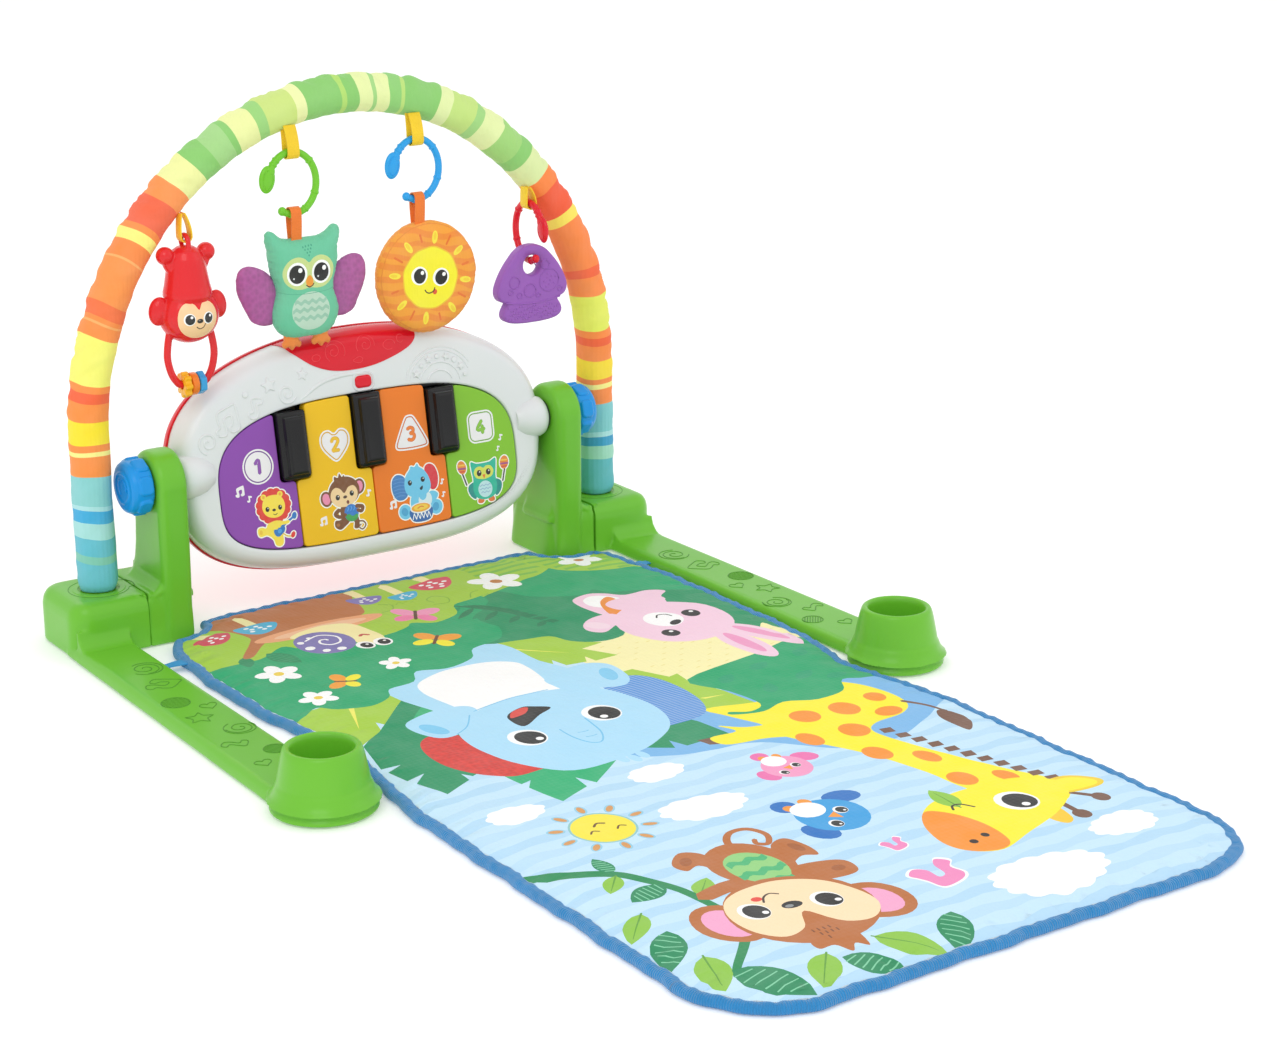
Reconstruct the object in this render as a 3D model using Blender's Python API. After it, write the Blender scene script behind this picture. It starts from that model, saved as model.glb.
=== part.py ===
"""Activity play gym for a baby: two side frames with cups, a tilting toy piano, a sleeved arch
with four hanging toys, and a padded mat. Metres, +Z up, +X to the right seen from the mat's foot."""

import math

import bmesh
import bpy
from mathutils import Matrix, Vector

# ---- driving dimensions ---------------------------------------------------------------------
ARCH_Y = 0.431  # the arch plane; every other Y below is counted from it, -Y towards the mat's foot
ARCH_HALF = 0.260  # centre of the gym to the centre of either arch leg
TOWER_TOP = 0.049  # top of the block that each leg stands in
LEG_TOP = 0.1796  # where the straight leg ends and the half ellipse starts
ARCH_RISE = 0.2785  # height of that half ellipse
TUBE_R, TUBE_BORE = 0.0120, 0.0100
SLEEVE_R, SLEEVE_BORE = 0.0176, 0.0127

GAP = 0.0004  # between neighbouring pieces
WALL = 0.003  # moulded wall
SOLE = 0.0012  # the moulded shells stop this far above the floor, on their rubber feet

SEAM_X = 0.2324  # between the outer and the inner moulding of a side frame
BLOCK_OUT_X, BLOCK_FRONT_Y, BLOCK_BACK_Y = 0.3008, -0.042, 0.047
FOOT_IN_X = 0.1835  # the inner moulding's edge on the floor
ARM_IN_X, ARM_OUT_REAR_X, ARM_OUT_FRONT_X, ARM_TOP = 0.2492, 0.3012, 0.3072, 0.0120
CUP_X, CUP_Y, CUP_RIM, CUP_BASE_R, CUP_BORE_R = 0.2750, -0.4405, 0.0511, 0.0385, 0.0242
SOCKET_R, SOCKET_FLOOR = 0.0234, 0.0100
POST_IN_X, POST_OUT_X, POST_TOP_R = 0.1898, 0.2175, 0.030

AXIS_Y, AXIS_Z = -0.016, 0.140  # the piano's tilt axis, along X
TILT = math.radians(9.5)  # how far the piano leans back at rest
PANEL_Y, PANEL_Z = -0.0085, 0.0100  # from the tilt axis to the centre of the panel's front face
PANEL_HALF, PANEL_UP, PANEL_DOWN = 0.1865, 0.098, 0.112
SPLIT = 0.0265  # depth of the joint between the white and the red housing
PANEL_DEPTH = 0.0475
KEYS_HALF, KEYS_UP, KEYS_DOWN, KEYS_Z = 0.153, 0.075, 0.057, -0.035
KEY_W = 0.077
KEY_GAP = 0.0008
BLACK_HALF, BLACK_LOW, BLACK_PROUD = 0.014, -0.028, 0.010

KNOB_R, KNOB_IN_X, KNOB_OUT_X = 0.0255, 0.2181, 0.2400
KNOB_GRIP = 0.0011  # half the depth of the flats round its rim
BOLT_R = 0.0030

MAT_LEFT, MAT_RIGHT, MAT_BACK, MAT_FRONT = -0.2365, 0.2475, -0.0135, -0.9090
MAT_FRONT_CORNER, MAT_BACK_CORNER = 0.075, 0.100
FOOT_CORNER = 0.020  # the inner moulding's rounded front corner, which the mat passes
MAT_ROOM = 0.0065
MAT_STRAP_Y = -0.1060  # where a strap runs from each side of the mat to a slot in the side frame

TOY_Y = -0.015  # the toys hang a little in front of the arch plane
STRAP_W, STRAP_T, STRAP_SLACK = 0.0115, 0.0012, 0.0019
STRAP_HALF = 0.0058  # half the loop's depth where it goes round a tube
STRAP_PINCH = 0.0026  # and where its two ends are sewn together under the sleeve
LINK_R, LINK_HALF_W, LINK_HALF_H = 0.0033, 0.0232, 0.0272

# ---- materials ------------------------------------------------------------------------------
COLOURS = {
    "green_plastic": ((0.19, 0.53, 0.055), 0.35, 0.0),
    "blue_plastic": ((0.012, 0.33, 0.79), 0.30, 0.0),
    "white_plastic": ((0.82, 0.83, 0.84), 0.28, 0.0),
    "red_plastic": ((0.70, 0.012, 0.03), 0.25, 0.0),
    "purple_plastic": ((0.28, 0.08, 0.42), 0.35, 0.0),
    "yellow_plastic": ((0.85, 0.55, 0.02), 0.35, 0.0),
    "orange_plastic": ((0.85, 0.22, 0.02), 0.35, 0.0),
    "lime_plastic": ((0.27, 0.60, 0.04), 0.35, 0.0),
    "black_plastic": ((0.01, 0.01, 0.011), 0.12, 0.0),
    "tube_plastic": ((0.60, 0.62, 0.60), 0.40, 0.0),
    "violet_rubber": ((0.26, 0.10, 0.45), 0.55, 0.0),
    "foot_rubber": ((0.05, 0.05, 0.05), 0.80, 0.0),
    "board": ((0.02, 0.20, 0.06), 0.50, 0.0),
    "steel": ((0.55, 0.56, 0.58), 0.30, 1.0),
    "sleeve_fabric": ((0.75, 0.32, 0.06), 0.85, 0.0),
    "mat_fabric": ((0.05, 0.45, 0.20), 0.85, 0.0),
    "strap_fabric": ((0.85, 0.50, 0.03), 0.80, 0.0),
    "owl_fabric": ((0.12, 0.52, 0.34), 0.85, 0.0),
    "wing_fabric": ((0.33, 0.08, 0.33), 0.85, 0.0),
    "sun_fabric": ((0.85, 0.33, 0.04), 0.85, 0.0),
}


def material(slot):
    """The Principled material of a slot, made on its first use."""
    found = bpy.data.materials.get(slot)
    if found:
        return found
    colour, roughness, metallic = COLOURS[slot]
    made = bpy.data.materials.new(slot)
    made.use_nodes = True
    shader = made.node_tree.nodes["Principled BSDF"]
    shader.inputs["Base Color"].default_value = (*colour, 1.0)
    shader.inputs["Roughness"].default_value = roughness
    shader.inputs["Metallic"].default_value = metallic
    made.diffuse_color = (*colour, 1.0)
    return made


# ---- outlines, all counter-clockwise lists of (u, v) ----------------------------------------
def polar(u, v, radius, angle):
    return (u + radius * math.cos(angle), v + radius * math.sin(angle))


def arc(centre, radius, start, end, steps):
    """Points on a circle from start to end, in degrees."""
    angles = [math.radians(start + (end - start) * i / steps) for i in range(steps + 1)]
    return [polar(*centre, radius, a) for a in angles]


def rounded_rect(u0, u1, v0, v1, radii, steps=4):
    """radii: of the corners (u0, v0), (u1, v0), (u1, v1) and (u0, v1)."""
    corners = ((u0, v0, 180), (u1, v0, 270), (u1, v1, 0), (u0, v1, 90))
    points = []
    for (u, v, start), radius in zip(corners, radii):
        centre = (u + radius if u == u0 else u - radius, v + radius if v == v0 else v - radius)
        points += arc(centre, radius, start, start + 90, steps)
    return points


def oval(half, up, down, power_up, power_down, centre_v, steps):
    """A superellipse whose upper and lower halves differ."""
    points = []
    for i in range(steps):
        angle = 2 * math.pi * i / steps
        c, s = math.cos(angle), math.sin(angle)
        height, power = (up, power_up) if s >= 0 else (down, power_down)
        u = half * math.copysign(abs(c) ** (2 / power), c)
        v = height * math.copysign(abs(s) ** (2 / power), s)
        points.append((u, centre_v + v))
    return points


def even(points, steps):
    """The closed outline walked again in equal steps."""
    closed = points + points[:1]
    lengths = [math.dist(a, b) for a, b in zip(closed, closed[1:])]
    total, out, at, used = sum(lengths), [], 0, 0.0
    for i in range(steps):
        want = total * i / steps
        while used + lengths[at] < want:
            used += lengths[at]
            at += 1
        share = (want - used) / lengths[at]
        a, b = closed[at], closed[at + 1]
        out.append((a[0] + (b[0] - a[0]) * share, a[1] + (b[1] - a[1]) * share))
    return out


def grown(outline, by):
    """The outline moved outwards along its corners' normals."""
    count, out = len(outline), []
    for i, (u, v) in enumerate(outline):
        before, after = outline[i - 1], outline[(i + 1) % count]
        du, dv = after[0] - before[0], after[1] - before[1]
        size = math.hypot(du, dv)
        out.append((u + by * dv / size, v - by * du / size))
    return out


def clipped(outline, index, limit, above):
    """The part of the outline whose coordinate is above, or below, the limit."""
    out, count = [], len(outline)
    for i in range(count):
        a, b = outline[i], outline[(i + 1) % count]
        inside = [(p[index] >= limit) == above for p in (a, b)]
        if inside[0]:
            out.append(a)
        if inside[0] != inside[1]:
            share = (limit - a[index]) / (b[index] - a[index])
            out.append(tuple(p + (q - p) * share for p, q in zip(a, b)))
    return out


# ---- solids ---------------------------------------------------------------------------------
def faced_out(bm):
    """The closed mesh with all its faces pointing outwards."""
    bmesh.ops.recalc_face_normals(bm, faces=bm.faces)
    if bm.calc_volume(signed=True) < 0:
        bmesh.ops.reverse_faces(bm, faces=bm.faces)
    return bm


def flat(u, v, h):
    return Vector((u, v, h))


def upright(u, v, h):
    """Outline in XZ, height along +Y, away from the viewer."""
    return Vector((u, h, v))


def sideways(u, v, h):
    """Outline in YZ, height along +X."""
    return Vector((h, u, v))


def loft(rings, closed=False):
    """Quads from ring to ring, with both ends capped, or the last ring joined to the first."""
    bm = bmesh.new()
    rows = [[bm.verts.new(point) for point in ring] for ring in rings]
    pairs = list(zip(rows, rows[1:])) + ([(rows[-1], rows[0])] if closed else [])
    for low, high in pairs:
        for i in range(len(low)):
            j = (i + 1) % len(low)
            bm.faces.new((low[i], low[j], high[j], high[i]))
    if not closed:
        bm.faces.new(rows[0])
        bm.faces.new(rows[-1])
    return faced_out(bm)


def levelled(outline, levels, place=flat):
    """A solid whose outline grows or shrinks from level to level: (growth, height) pairs."""
    return loft([[place(u, v, height) for u, v in grown(outline, by)] for by, height in levels])


def turned(profile, centre, place=flat, steps=24, closed=False):
    """A profile of (radius, height) turned about an axis through centre."""
    rings = []
    for radius, height in profile:
        circle = arc(centre, radius, 0, 360 - 360 / steps, steps - 1)
        rings.append([place(u, v, height) for u, v in circle])
    return loft(rings, closed)


def swept_rings(path, radius, side, sides):
    """Circles along a path; side is a direction that the path never runs along."""
    rings = []
    for i, point in enumerate(path):
        ahead, behind = path[min(i + 1, len(path) - 1)], path[max(i - 1, 0)]
        along = (ahead - behind).normalized()
        u = along.cross(side).normalized()
        v = along.cross(u)
        angles = [2 * math.pi * k / sides for k in range(sides)]
        rings.append([point + radius * (math.cos(a) * u + math.sin(a) * v) for a in angles])
    return rings


def ball(centre, radii, rotation=None, rings=8, segments=14):
    bm = bmesh.new()
    bmesh.ops.create_uvsphere(bm, u_segments=segments, v_segments=rings, radius=1.0)
    turn = rotation or Matrix.Identity(4)
    bm.transform(Matrix.Translation(centre) @ turn @ Matrix.Diagonal((*radii, 1.0)))
    return bm


def block(low, high):
    bm = bmesh.new()
    bmesh.ops.create_cube(bm, size=1.0)
    low, high = Vector(low), Vector(high)
    bm.transform(Matrix.Translation((low + high) / 2) @ Matrix.Diagonal((*(high - low), 1.0)))
    return bm


# ---- objects --------------------------------------------------------------------------------
def empty(name, parent=None, location=(0, 0, 0), rotation_x=0.0):
    made = bpy.data.objects.new(name, None)
    bpy.context.scene.collection.objects.link(made)
    made.parent = parent
    made.location = location
    made.rotation_euler = (rotation_x, 0, 0)
    return made


def solid(name, bm, slot, parent, location=(0, 0, 0), mirror_x=False):
    """The mesh as a named node; location is also where its origin goes."""
    if mirror_x:
        bm.transform(Matrix.Diagonal((-1, 1, 1, 1)))
        faced_out(bm)
    bm.transform(Matrix.Translation(-Vector(location)))
    mesh = bpy.data.meshes.new(name)
    bm.to_mesh(mesh)
    bm.free()
    mesh.materials.append(material(slot))
    mesh.shade_smooth()
    mesh.set_sharp_from_angle(angle=math.radians(35))
    made = bpy.data.objects.new(name, mesh)
    bpy.context.scene.collection.objects.link(made)
    made.parent = parent
    made.location = location
    return made


def with_boolean(target, helper, operation):
    """Apply the helper to the target as a Boolean, and keep the helper out of the model."""
    helper.hide_render = True
    helper.display_type = "WIRE"
    step = target.modifiers.new(helper.name, "BOOLEAN")
    step.operation = operation
    if target.name.startswith("side_base"):
        step.solver = "MANIFOLD"  # EXACT loses the tower where the cup's foot and the arm share a face
    step.object = helper


def cut(target, tools, operation="DIFFERENCE", mirror_x=False):
    """Boolean each tool mesh into the target."""
    for bm in tools:
        name = f"{target.name}_tool_{len(target.modifiers)}"
        with_boolean(target, solid(name, bm, "steel", target.parent, mirror_x=mirror_x), operation)
    return target


def joined(target, tools, mirror_x=False):
    return cut(target, tools, "UNION", mirror_x)


# ---- side frames ----------------------------------------------------------------------------
def cup_shell():
    """The cup: outer wall, rolled rim, inner wall and floor, hollow underneath."""
    under = ((0.0010, 0.0095), (0.0205, 0.0095), (0.0226, 0.0430), (0.0262, 0.0470))
    inside = ((0.0292, 0.0430), (0.0352, 0.0050), (0.0375, SOLE))
    outside = ((0.0415, SOLE), (0.0415, 0.0030), (CUP_BASE_R, 0.0045), (0.0368, 0.0130))
    rim = ((0.0312, 0.0430), (0.0300, 0.0485), (0.0280, CUP_RIM), (0.0260, CUP_RIM))
    bowl = ((CUP_BORE_R, 0.0485), (0.0236, 0.0440), (0.0215, 0.0145), (0.0010, 0.0125))
    return turned(under + inside + outside + rim + bowl, (CUP_X, CUP_Y), steps=20)


def arm_outline(inset, end_radius):
    """The flat arm from the tower to the arc where it meets the cup's wall."""
    inner, outer = ARM_IN_X + inset, ARM_OUT_REAR_X - inset
    end_inner = 90 + math.degrees(math.asin((CUP_X - inner) / end_radius))
    outer_front = ARM_OUT_FRONT_X - inset
    end_outer = 90 - math.degrees(math.asin((outer_front - CUP_X) / end_radius))
    rear = BLOCK_FRONT_Y + 0.020
    end = arc((CUP_X, CUP_Y), end_radius, end_inner, end_outer, 6)
    return [(outer, rear), (inner, rear)] + end


def arm_solid():
    body = arm_outline(0.0, 0.0362)
    return levelled(body, ((0, SOLE), (0, 0.0040), (-0.0012, 0.0085), (-0.0050, ARM_TOP)))


def arm_hollow():
    body = arm_outline(WALL, 0.0400)
    return levelled(body, ((0, -0.001), (-0.0020, ARM_TOP - WALL)))


def block_outline(grow):
    radii = (0.016, 0.016, 0.022, 0.016)
    box = (0.205, BLOCK_OUT_X, BLOCK_FRONT_Y, BLOCK_BACK_Y)
    return grown(rounded_rect(*box, radii, steps=5), grow)


def side_base(name, parent, mirror_x):
    """Outer moulding: tower block, arm and cup in one shell, open underneath."""
    round_top = ((0, SOLE), (0, 0.0380), (-0.0016, 0.0440), (-0.0052, 0.0476), (-0.0105, TOWER_TOP))
    tower = solid(name, levelled(block_outline(0), round_top), "green_plastic", parent, mirror_x=mirror_x)
    joined(tower, [arm_solid(), cup_shell()], mirror_x)
    hollow = levelled(block_outline(-WALL), ((0, -0.001), (0, 0.0400), (-0.004, TOWER_TOP - WALL)))
    inner_side = block((0.20, -0.10, -0.01), (SEAM_X, 0.10, 0.08))
    pocket = solid(f"{name}_pocket", hollow, "steel", parent, mirror_x=mirror_x)
    boss_r = SOCKET_R + WALL
    boss = turned(((boss_r, SOCKET_FLOOR - 0.0020), (boss_r, 0.060)), (ARCH_HALF, 0), steps=24)
    seam_wall = block((0.20, -0.10, -0.01), (SEAM_X + WALL, 0.10, 0.08))
    cut(pocket, [boss, seam_wall], mirror_x=mirror_x)
    with_boolean(tower, pocket, "DIFFERENCE")
    bore_r = SOCKET_R + GAP
    socket_bore = turned(((bore_r, SOCKET_FLOOR), (bore_r, 0.060)), (ARCH_HALF, 0), steps=24)
    slot_y = (MAT_STRAP_Y - 0.0075, MAT_STRAP_Y + 0.0075)
    slot = block((ARM_IN_X - 0.002, slot_y[0], 0.0030), (ARM_IN_X + 0.0036, slot_y[1], 0.0078))
    return cut(tower, [arm_hollow(), inner_side, socket_bore, slot], mirror_x=mirror_x)


def post_profile(inset):
    """The post seen from the side, as (y, z): round head, straight front, rear swept into the base."""
    radius = POST_TOP_R - inset
    head = arc((AXIS_Y, AXIS_Z), radius, -8, 188, 8)
    front = [(-0.0455 + inset, 0.060), (-0.0430 + inset, SOLE)]
    rear = [(0.0440 - inset, SOLE), (0.0430 - inset, 0.0440), (0.0290 - inset, 0.0520)]
    rear += [(0.0210 - inset, 0.0700), (0.0165 - inset, 0.0950)]
    return rear + head + front


def post(name, parent, mirror_x):
    """Inner moulding: the upright that carries the piano, with the inboard half of the tower."""
    thickness = ((-0.0045, POST_IN_X), (-0.0010, POST_IN_X + 0.0030), (0, POST_IN_X + 0.0060))
    thickness += ((0, POST_OUT_X - 0.0060), (-0.0010, POST_OUT_X - 0.0030), (-0.0045, POST_OUT_X))
    fin = levelled(post_profile(0), thickness, sideways)
    upright_post = solid(name, fin, "green_plastic", parent, mirror_x=mirror_x)
    corners = (FOOT_CORNER, 0.016, 0.016, 0.016)
    foot_outline = rounded_rect(FOOT_IN_X, 0.260, BLOCK_FRONT_Y, BLOCK_BACK_Y, corners, steps=4)
    foot_levels = ((0, SOLE), (-0.0012, 0.006), (-0.0040, 0.0400), (-0.0070, 0.0462))
    foot_levels += ((-0.0120, TOWER_TOP),)
    joined(upright_post, [levelled(foot_outline, foot_levels)], mirror_x)
    outer_side = block((SEAM_X - GAP, -0.10, -0.01), (0.27, 0.10, 0.08))
    seam_wall = block((SEAM_X - WALL, -0.10, -0.02), (0.27, 0.10, 0.08))
    hollow_levels = ((-WALL, -0.01), (-WALL, 0.006), (-0.0070, 0.0400), (-0.012, TOWER_TOP - WALL))
    base_hollow = levelled(foot_outline, hollow_levels)
    fin_hollow = levelled(
        [(y, z - 0.012 if z < 0.01 else z) for y, z in post_profile(WALL)],
        ((-0.004, POST_IN_X + WALL), (0, 0.1960), (0, 0.2115), (-0.004, POST_OUT_X - WALL)),
        sideways,
    )
    pocket = solid(f"{name}_pocket", fin_hollow, "steel", parent, mirror_x=mirror_x)
    boss = turned(((0.0100, 0.18), (0.0100, 0.23)), (AXIS_Y, AXIS_Z), sideways, steps=16)
    joined(pocket, [base_hollow], mirror_x)
    cut(pocket, [boss, seam_wall], mirror_x=mirror_x)
    with_boolean(upright_post, pocket, "DIFFERENCE")
    bolt_hole = turned(((0.0036, 0.18), (0.0036, 0.23)), (AXIS_Y, AXIS_Z), sideways, steps=16)
    return cut(upright_post, [outer_side, bolt_hole], mirror_x=mirror_x)


def bottom_cover(name, parent, mirror_x):
    x0, x1 = SEAM_X + WALL + GAP, BLOCK_OUT_X - WALL - GAP
    y0, y1 = BLOCK_FRONT_Y + WALL + GAP, BLOCK_BACK_Y - WALL - GAP
    outline = rounded_rect(x0, x1, y0, y1, (0.002, 0.013, 0.019, 0.002))
    plate = levelled(outline, ((0, 0.0050), (0, 0.0074)))
    return solid(name, plate, "green_plastic", parent, mirror_x=mirror_x)


def foot(name, parent, x, y, radius, height, mirror_x):
    profile = ((radius - 0.001, 0.0), (radius, 0.0010), (radius - 0.0005, height))
    return solid(name, turned(profile, (x, y), steps=12), "foot_rubber", parent, mirror_x=mirror_x)


def arch_socket(name, parent, mirror_x):
    """Collar pressed into the tower, which the arch's leg drops into."""
    low, high = SOCKET_FLOOR + GAP, TOWER_TOP + GAP
    profile = ((SLEEVE_BORE, low), (SOCKET_R, low), (SOCKET_R, high - 0.0006), (SOCKET_R - 0.0006, high))
    ring = turned(profile + ((SLEEVE_BORE, high),), (ARCH_HALF, 0), steps=18, closed=True)
    return solid(name, ring, "green_plastic", parent, mirror_x=mirror_x)


def side_frame(side, parent):
    mirror_x = side == "left"
    side_base(f"side_base_{side}", parent, mirror_x)
    post(f"post_{side}", parent, mirror_x)
    bottom_cover(f"bottom_cover_{side}", parent, mirror_x)
    arch_socket(f"arch_socket_{side}", parent, mirror_x)
    foot(f"foot_front_{side}", parent, CUP_X, CUP_Y, 0.012, 0.0091, mirror_x)
    foot(f"foot_rear_{side}", parent, 0.266, 0.028, 0.010, 0.0046, mirror_x)
    foot(f"foot_middle_{side}", parent, 0.266, -0.026, 0.010, 0.0046, mirror_x)


# ---- knobs and their clamp bolts ------------------------------------------------------------
def knob(side, parent):
    mirror_x = side == "left"
    rings = []
    profile = ((-0.0030, KNOB_IN_X), (0, KNOB_IN_X + 0.0030), (0, 0.2330), (-0.0022, 0.2375))
    for growth, x in profile + ((-0.0065, KNOB_OUT_X),):
        ring = []
        for i in range(36):
            angle = 2 * math.pi * i / 36
            grip = KNOB_GRIP * (math.tanh(3 * math.cos(6 * angle)) - 1)
            radius = KNOB_R + grip + growth
            ring.append(sideways(*polar(AXIS_Y, AXIS_Z, radius, angle), x))
        rings.append(ring)
    origin = (-0.229 if mirror_x else 0.229, AXIS_Y, AXIS_Z)
    body = solid(f"knob_{side}", loft(rings), "blue_plastic", parent, origin, mirror_x)
    bore = turned(((0.0034, 0.20), (0.0034, 0.2364)), (AXIS_Y, AXIS_Z), sideways, steps=16)
    cut(body, [bore], mirror_x=mirror_x)
    shaft = turned(((BOLT_R, 0.1740), (BOLT_R, 0.2360)), (AXIS_Y, AXIS_Z), sideways, steps=12)
    solid(f"clamp_bolt_{side}", shaft, "steel", parent, origin, mirror_x)
    washer = ((0.0045, 0.1879), (0.0150, 0.1879), (0.0150, 0.1894), (0.0045, 0.1894))
    ring = turned(washer, (AXIS_Y, AXIS_Z), sideways, steps=14, closed=True)
    solid(f"friction_washer_{side}", ring, "foot_rubber", parent, mirror_x=mirror_x)


# ---- arch -----------------------------------------------------------------------------------
def arch_path(start_z, steps=20):
    """Centre line of the hoop from the left foot to the right one."""
    legs = [Vector((-ARCH_HALF, 0, z)) for z in (start_z, 0.090, 0.135)]
    curve = []
    for i in range(steps + 1):
        angle = math.pi * (1 - i / steps)
        curve.append(Vector((ARCH_HALF * math.cos(angle), 0, LEG_TOP + ARCH_RISE * math.sin(angle))))
    return legs + curve + [Vector((-p.x, p.y, p.z)) for p in reversed(legs)]


def hollow_sweep(path, outer, inner, sides):
    side = Vector((0, 1, 0))
    out_rings = swept_rings(path, outer, side, sides)
    in_rings = swept_rings(path, inner, side, sides)
    return loft(out_rings + in_rings[::-1], closed=True)


def arch(parent):
    solid("arch_tube", hollow_sweep(arch_path(0.0125), TUBE_R, TUBE_BORE, 8), "tube_plastic", parent)
    solid("arch_sleeve", hollow_sweep(arch_path(0.0500), SLEEVE_R, SLEEVE_BORE, 8), "sleeve_fabric", parent)


def sleeve_underside(x):
    """Height of the sleeve's lowest line above x."""
    lowest = LEG_TOP + ARCH_RISE
    for i in range(181):
        angle = math.radians(i)
        c, s = math.cos(angle), math.sin(angle)
        size = math.hypot(c / ARCH_HALF, s / ARCH_RISE)
        at_x = ARCH_HALF * c - SLEEVE_R * c / ARCH_HALF / size
        if abs(at_x - x) < 0.003:
            lowest = min(lowest, LEG_TOP + ARCH_RISE * s - SLEEVE_R * s / ARCH_RISE / size)
    return lowest


# ---- mat ------------------------------------------------------------------------------------
def bump(value, centre, width):
    return math.exp(-(((value - centre) / width) ** 2))


def filled_in(outline, longest):
    """The outline with points added wherever an edge is longer than that."""
    out = []
    for a, b in zip(outline, outline[1:] + outline[:1]):
        count = max(1, math.ceil(math.dist(a, b) / longest))
        out += [(a[0] + (b[0] - a[0]) * i / count, a[1] + (b[1] - a[1]) * i / count) for i in range(count)]
    return out


def clear_of_post(x, y):
    """The nearest place to (x, y) that leaves room for a post's rounded front corner."""
    centre = (FOOT_IN_X + FOOT_CORNER, BLOCK_FRONT_Y + FOOT_CORNER)
    away = Vector((min(abs(x) - centre[0], 0.0), min(y - centre[1], 0.0)))
    room = FOOT_CORNER + MAT_ROOM
    if away.length >= room:
        return (x, y)
    beside = max(abs(x) - centre[0], 0.0)
    moved = away.normalized() * room
    return (math.copysign(centre[0] + beside + moved.x, x), centre[1] + moved.y)


def mat_outline():
    """Rounded rectangle whose sides pull in beside the cups and at the strap corners."""
    box = (MAT_LEFT, MAT_RIGHT, MAT_FRONT, MAT_BACK)
    radii = (MAT_FRONT_CORNER, MAT_FRONT_CORNER, MAT_BACK_CORNER, MAT_BACK_CORNER)
    middle = (MAT_LEFT + MAT_RIGHT) / 2
    out = []
    for x, y in filled_in(rounded_rect(*box, radii, steps=12), 0.060):
        if x < middle:
            pull = 0.016 * bump(y, -0.370, 0.085) + 0.003 * bump(y, MAT_STRAP_Y, 0.03)
        else:
            pull = -0.0155 * bump(y, -0.440, 0.060) - 0.007 * bump(y, MAT_STRAP_Y, 0.03)
        out.append(clear_of_post(x + pull * abs(x - middle) / (MAT_RIGHT - middle), y))
    return out


def play_mat(parent):
    levels = ((-0.0045, 0.0), (0, 0.0030), (0, 0.0060), (-0.0080, 0.0115), (-0.045, 0.0150))
    solid("play_mat", levelled(mat_outline(), levels), "mat_fabric", parent)
    for side, x0, x1 in (("left", -0.2520, -0.2345), ("right", 0.2420, 0.2520)):
        strap = block((x0, MAT_STRAP_Y - 0.0050, 0.0042), (x1, MAT_STRAP_Y + 0.0050, 0.0060))
        solid(f"mat_strap_{side}", strap, "mat_fabric", parent)


# ---- piano ----------------------------------------------------------------------------------
def panel_outline(steps=46):
    plain = oval(PANEL_HALF, PANEL_UP, PANEL_DOWN, 2.15, 3.2, 0.0, 400)
    return even(plain, steps)


def keys_outline(steps=46):
    plain = oval(KEYS_HALF, KEYS_UP, KEYS_DOWN, 3.0, 3.6, KEYS_Z, 400)
    return even(plain, steps)


def front_shell():
    """White front: rolled edge, flat face with the keys' opening, hollow behind."""
    outer, opening = panel_outline(), keys_outline()
    sections = [
        (outer, -WALL, SPLIT),
        (outer, 0.0, SPLIT),
        (outer, 0.0, 0.0200),
        (outer, -0.0025, 0.0120),
        (outer, -0.0080, 0.0050),
        (outer, -0.0140, 0.0),
        (opening, 0.0016, 0.0),
        (opening, 0.0, 0.0014),
        (opening, 0.0, 0.0095),
        (opening, 0.0016, 0.0095),
        (outer, -0.0130, 0.0030),
        (outer, -0.0070, 0.0100),
        (outer, -WALL - 0.0004, 0.0200),
    ]
    return loft([[upright(u, v, y) for u, v in grown(base, by)] for base, by, y in sections], closed=True)


def panel_solid(growth):
    """The outside of the white front as a full solid, for cutting its neighbours."""
    levels = ((0, SPLIT - 0.004), (0, 0.0200), (-0.0025, 0.0120), (-0.0080, 0.0050), (-0.0140, 0.0))
    return levelled(panel_outline(), [(by + growth, y - growth) for by, y in levels], upright)


def light_outline(growth):
    """The red panel: a bowl shape hung from the top edge."""
    lower = arc((-0.006, 0.128), 0.0665 + growth, 205, 335, 14)
    return [(u, v) for u, v in lower] + [(0.0545 + growth, 0.130), (-0.0665 - growth, 0.130)]


def trunnion(mirror_x):
    """White drum on the piano's shoulder, on the tilt axis."""
    y, z = -PANEL_Y, -PANEL_Z
    profile = ((0.0150, 0.1700), (0.0185, 0.1760), (0.0182, 0.1850), (0.0165, 0.1875))
    bm = turned(profile, (y, z), sideways, steps=18)
    if mirror_x:
        bm.transform(Matrix.Diagonal((-1, 1, 1, 1)))
        faced_out(bm)
    return bm


def bolt_bore():
    profile = ((0.0034, -0.20), (0.0034, 0.20))
    return turned(profile, (-PANEL_Y, -PANEL_Z), sideways, steps=16)


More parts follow.
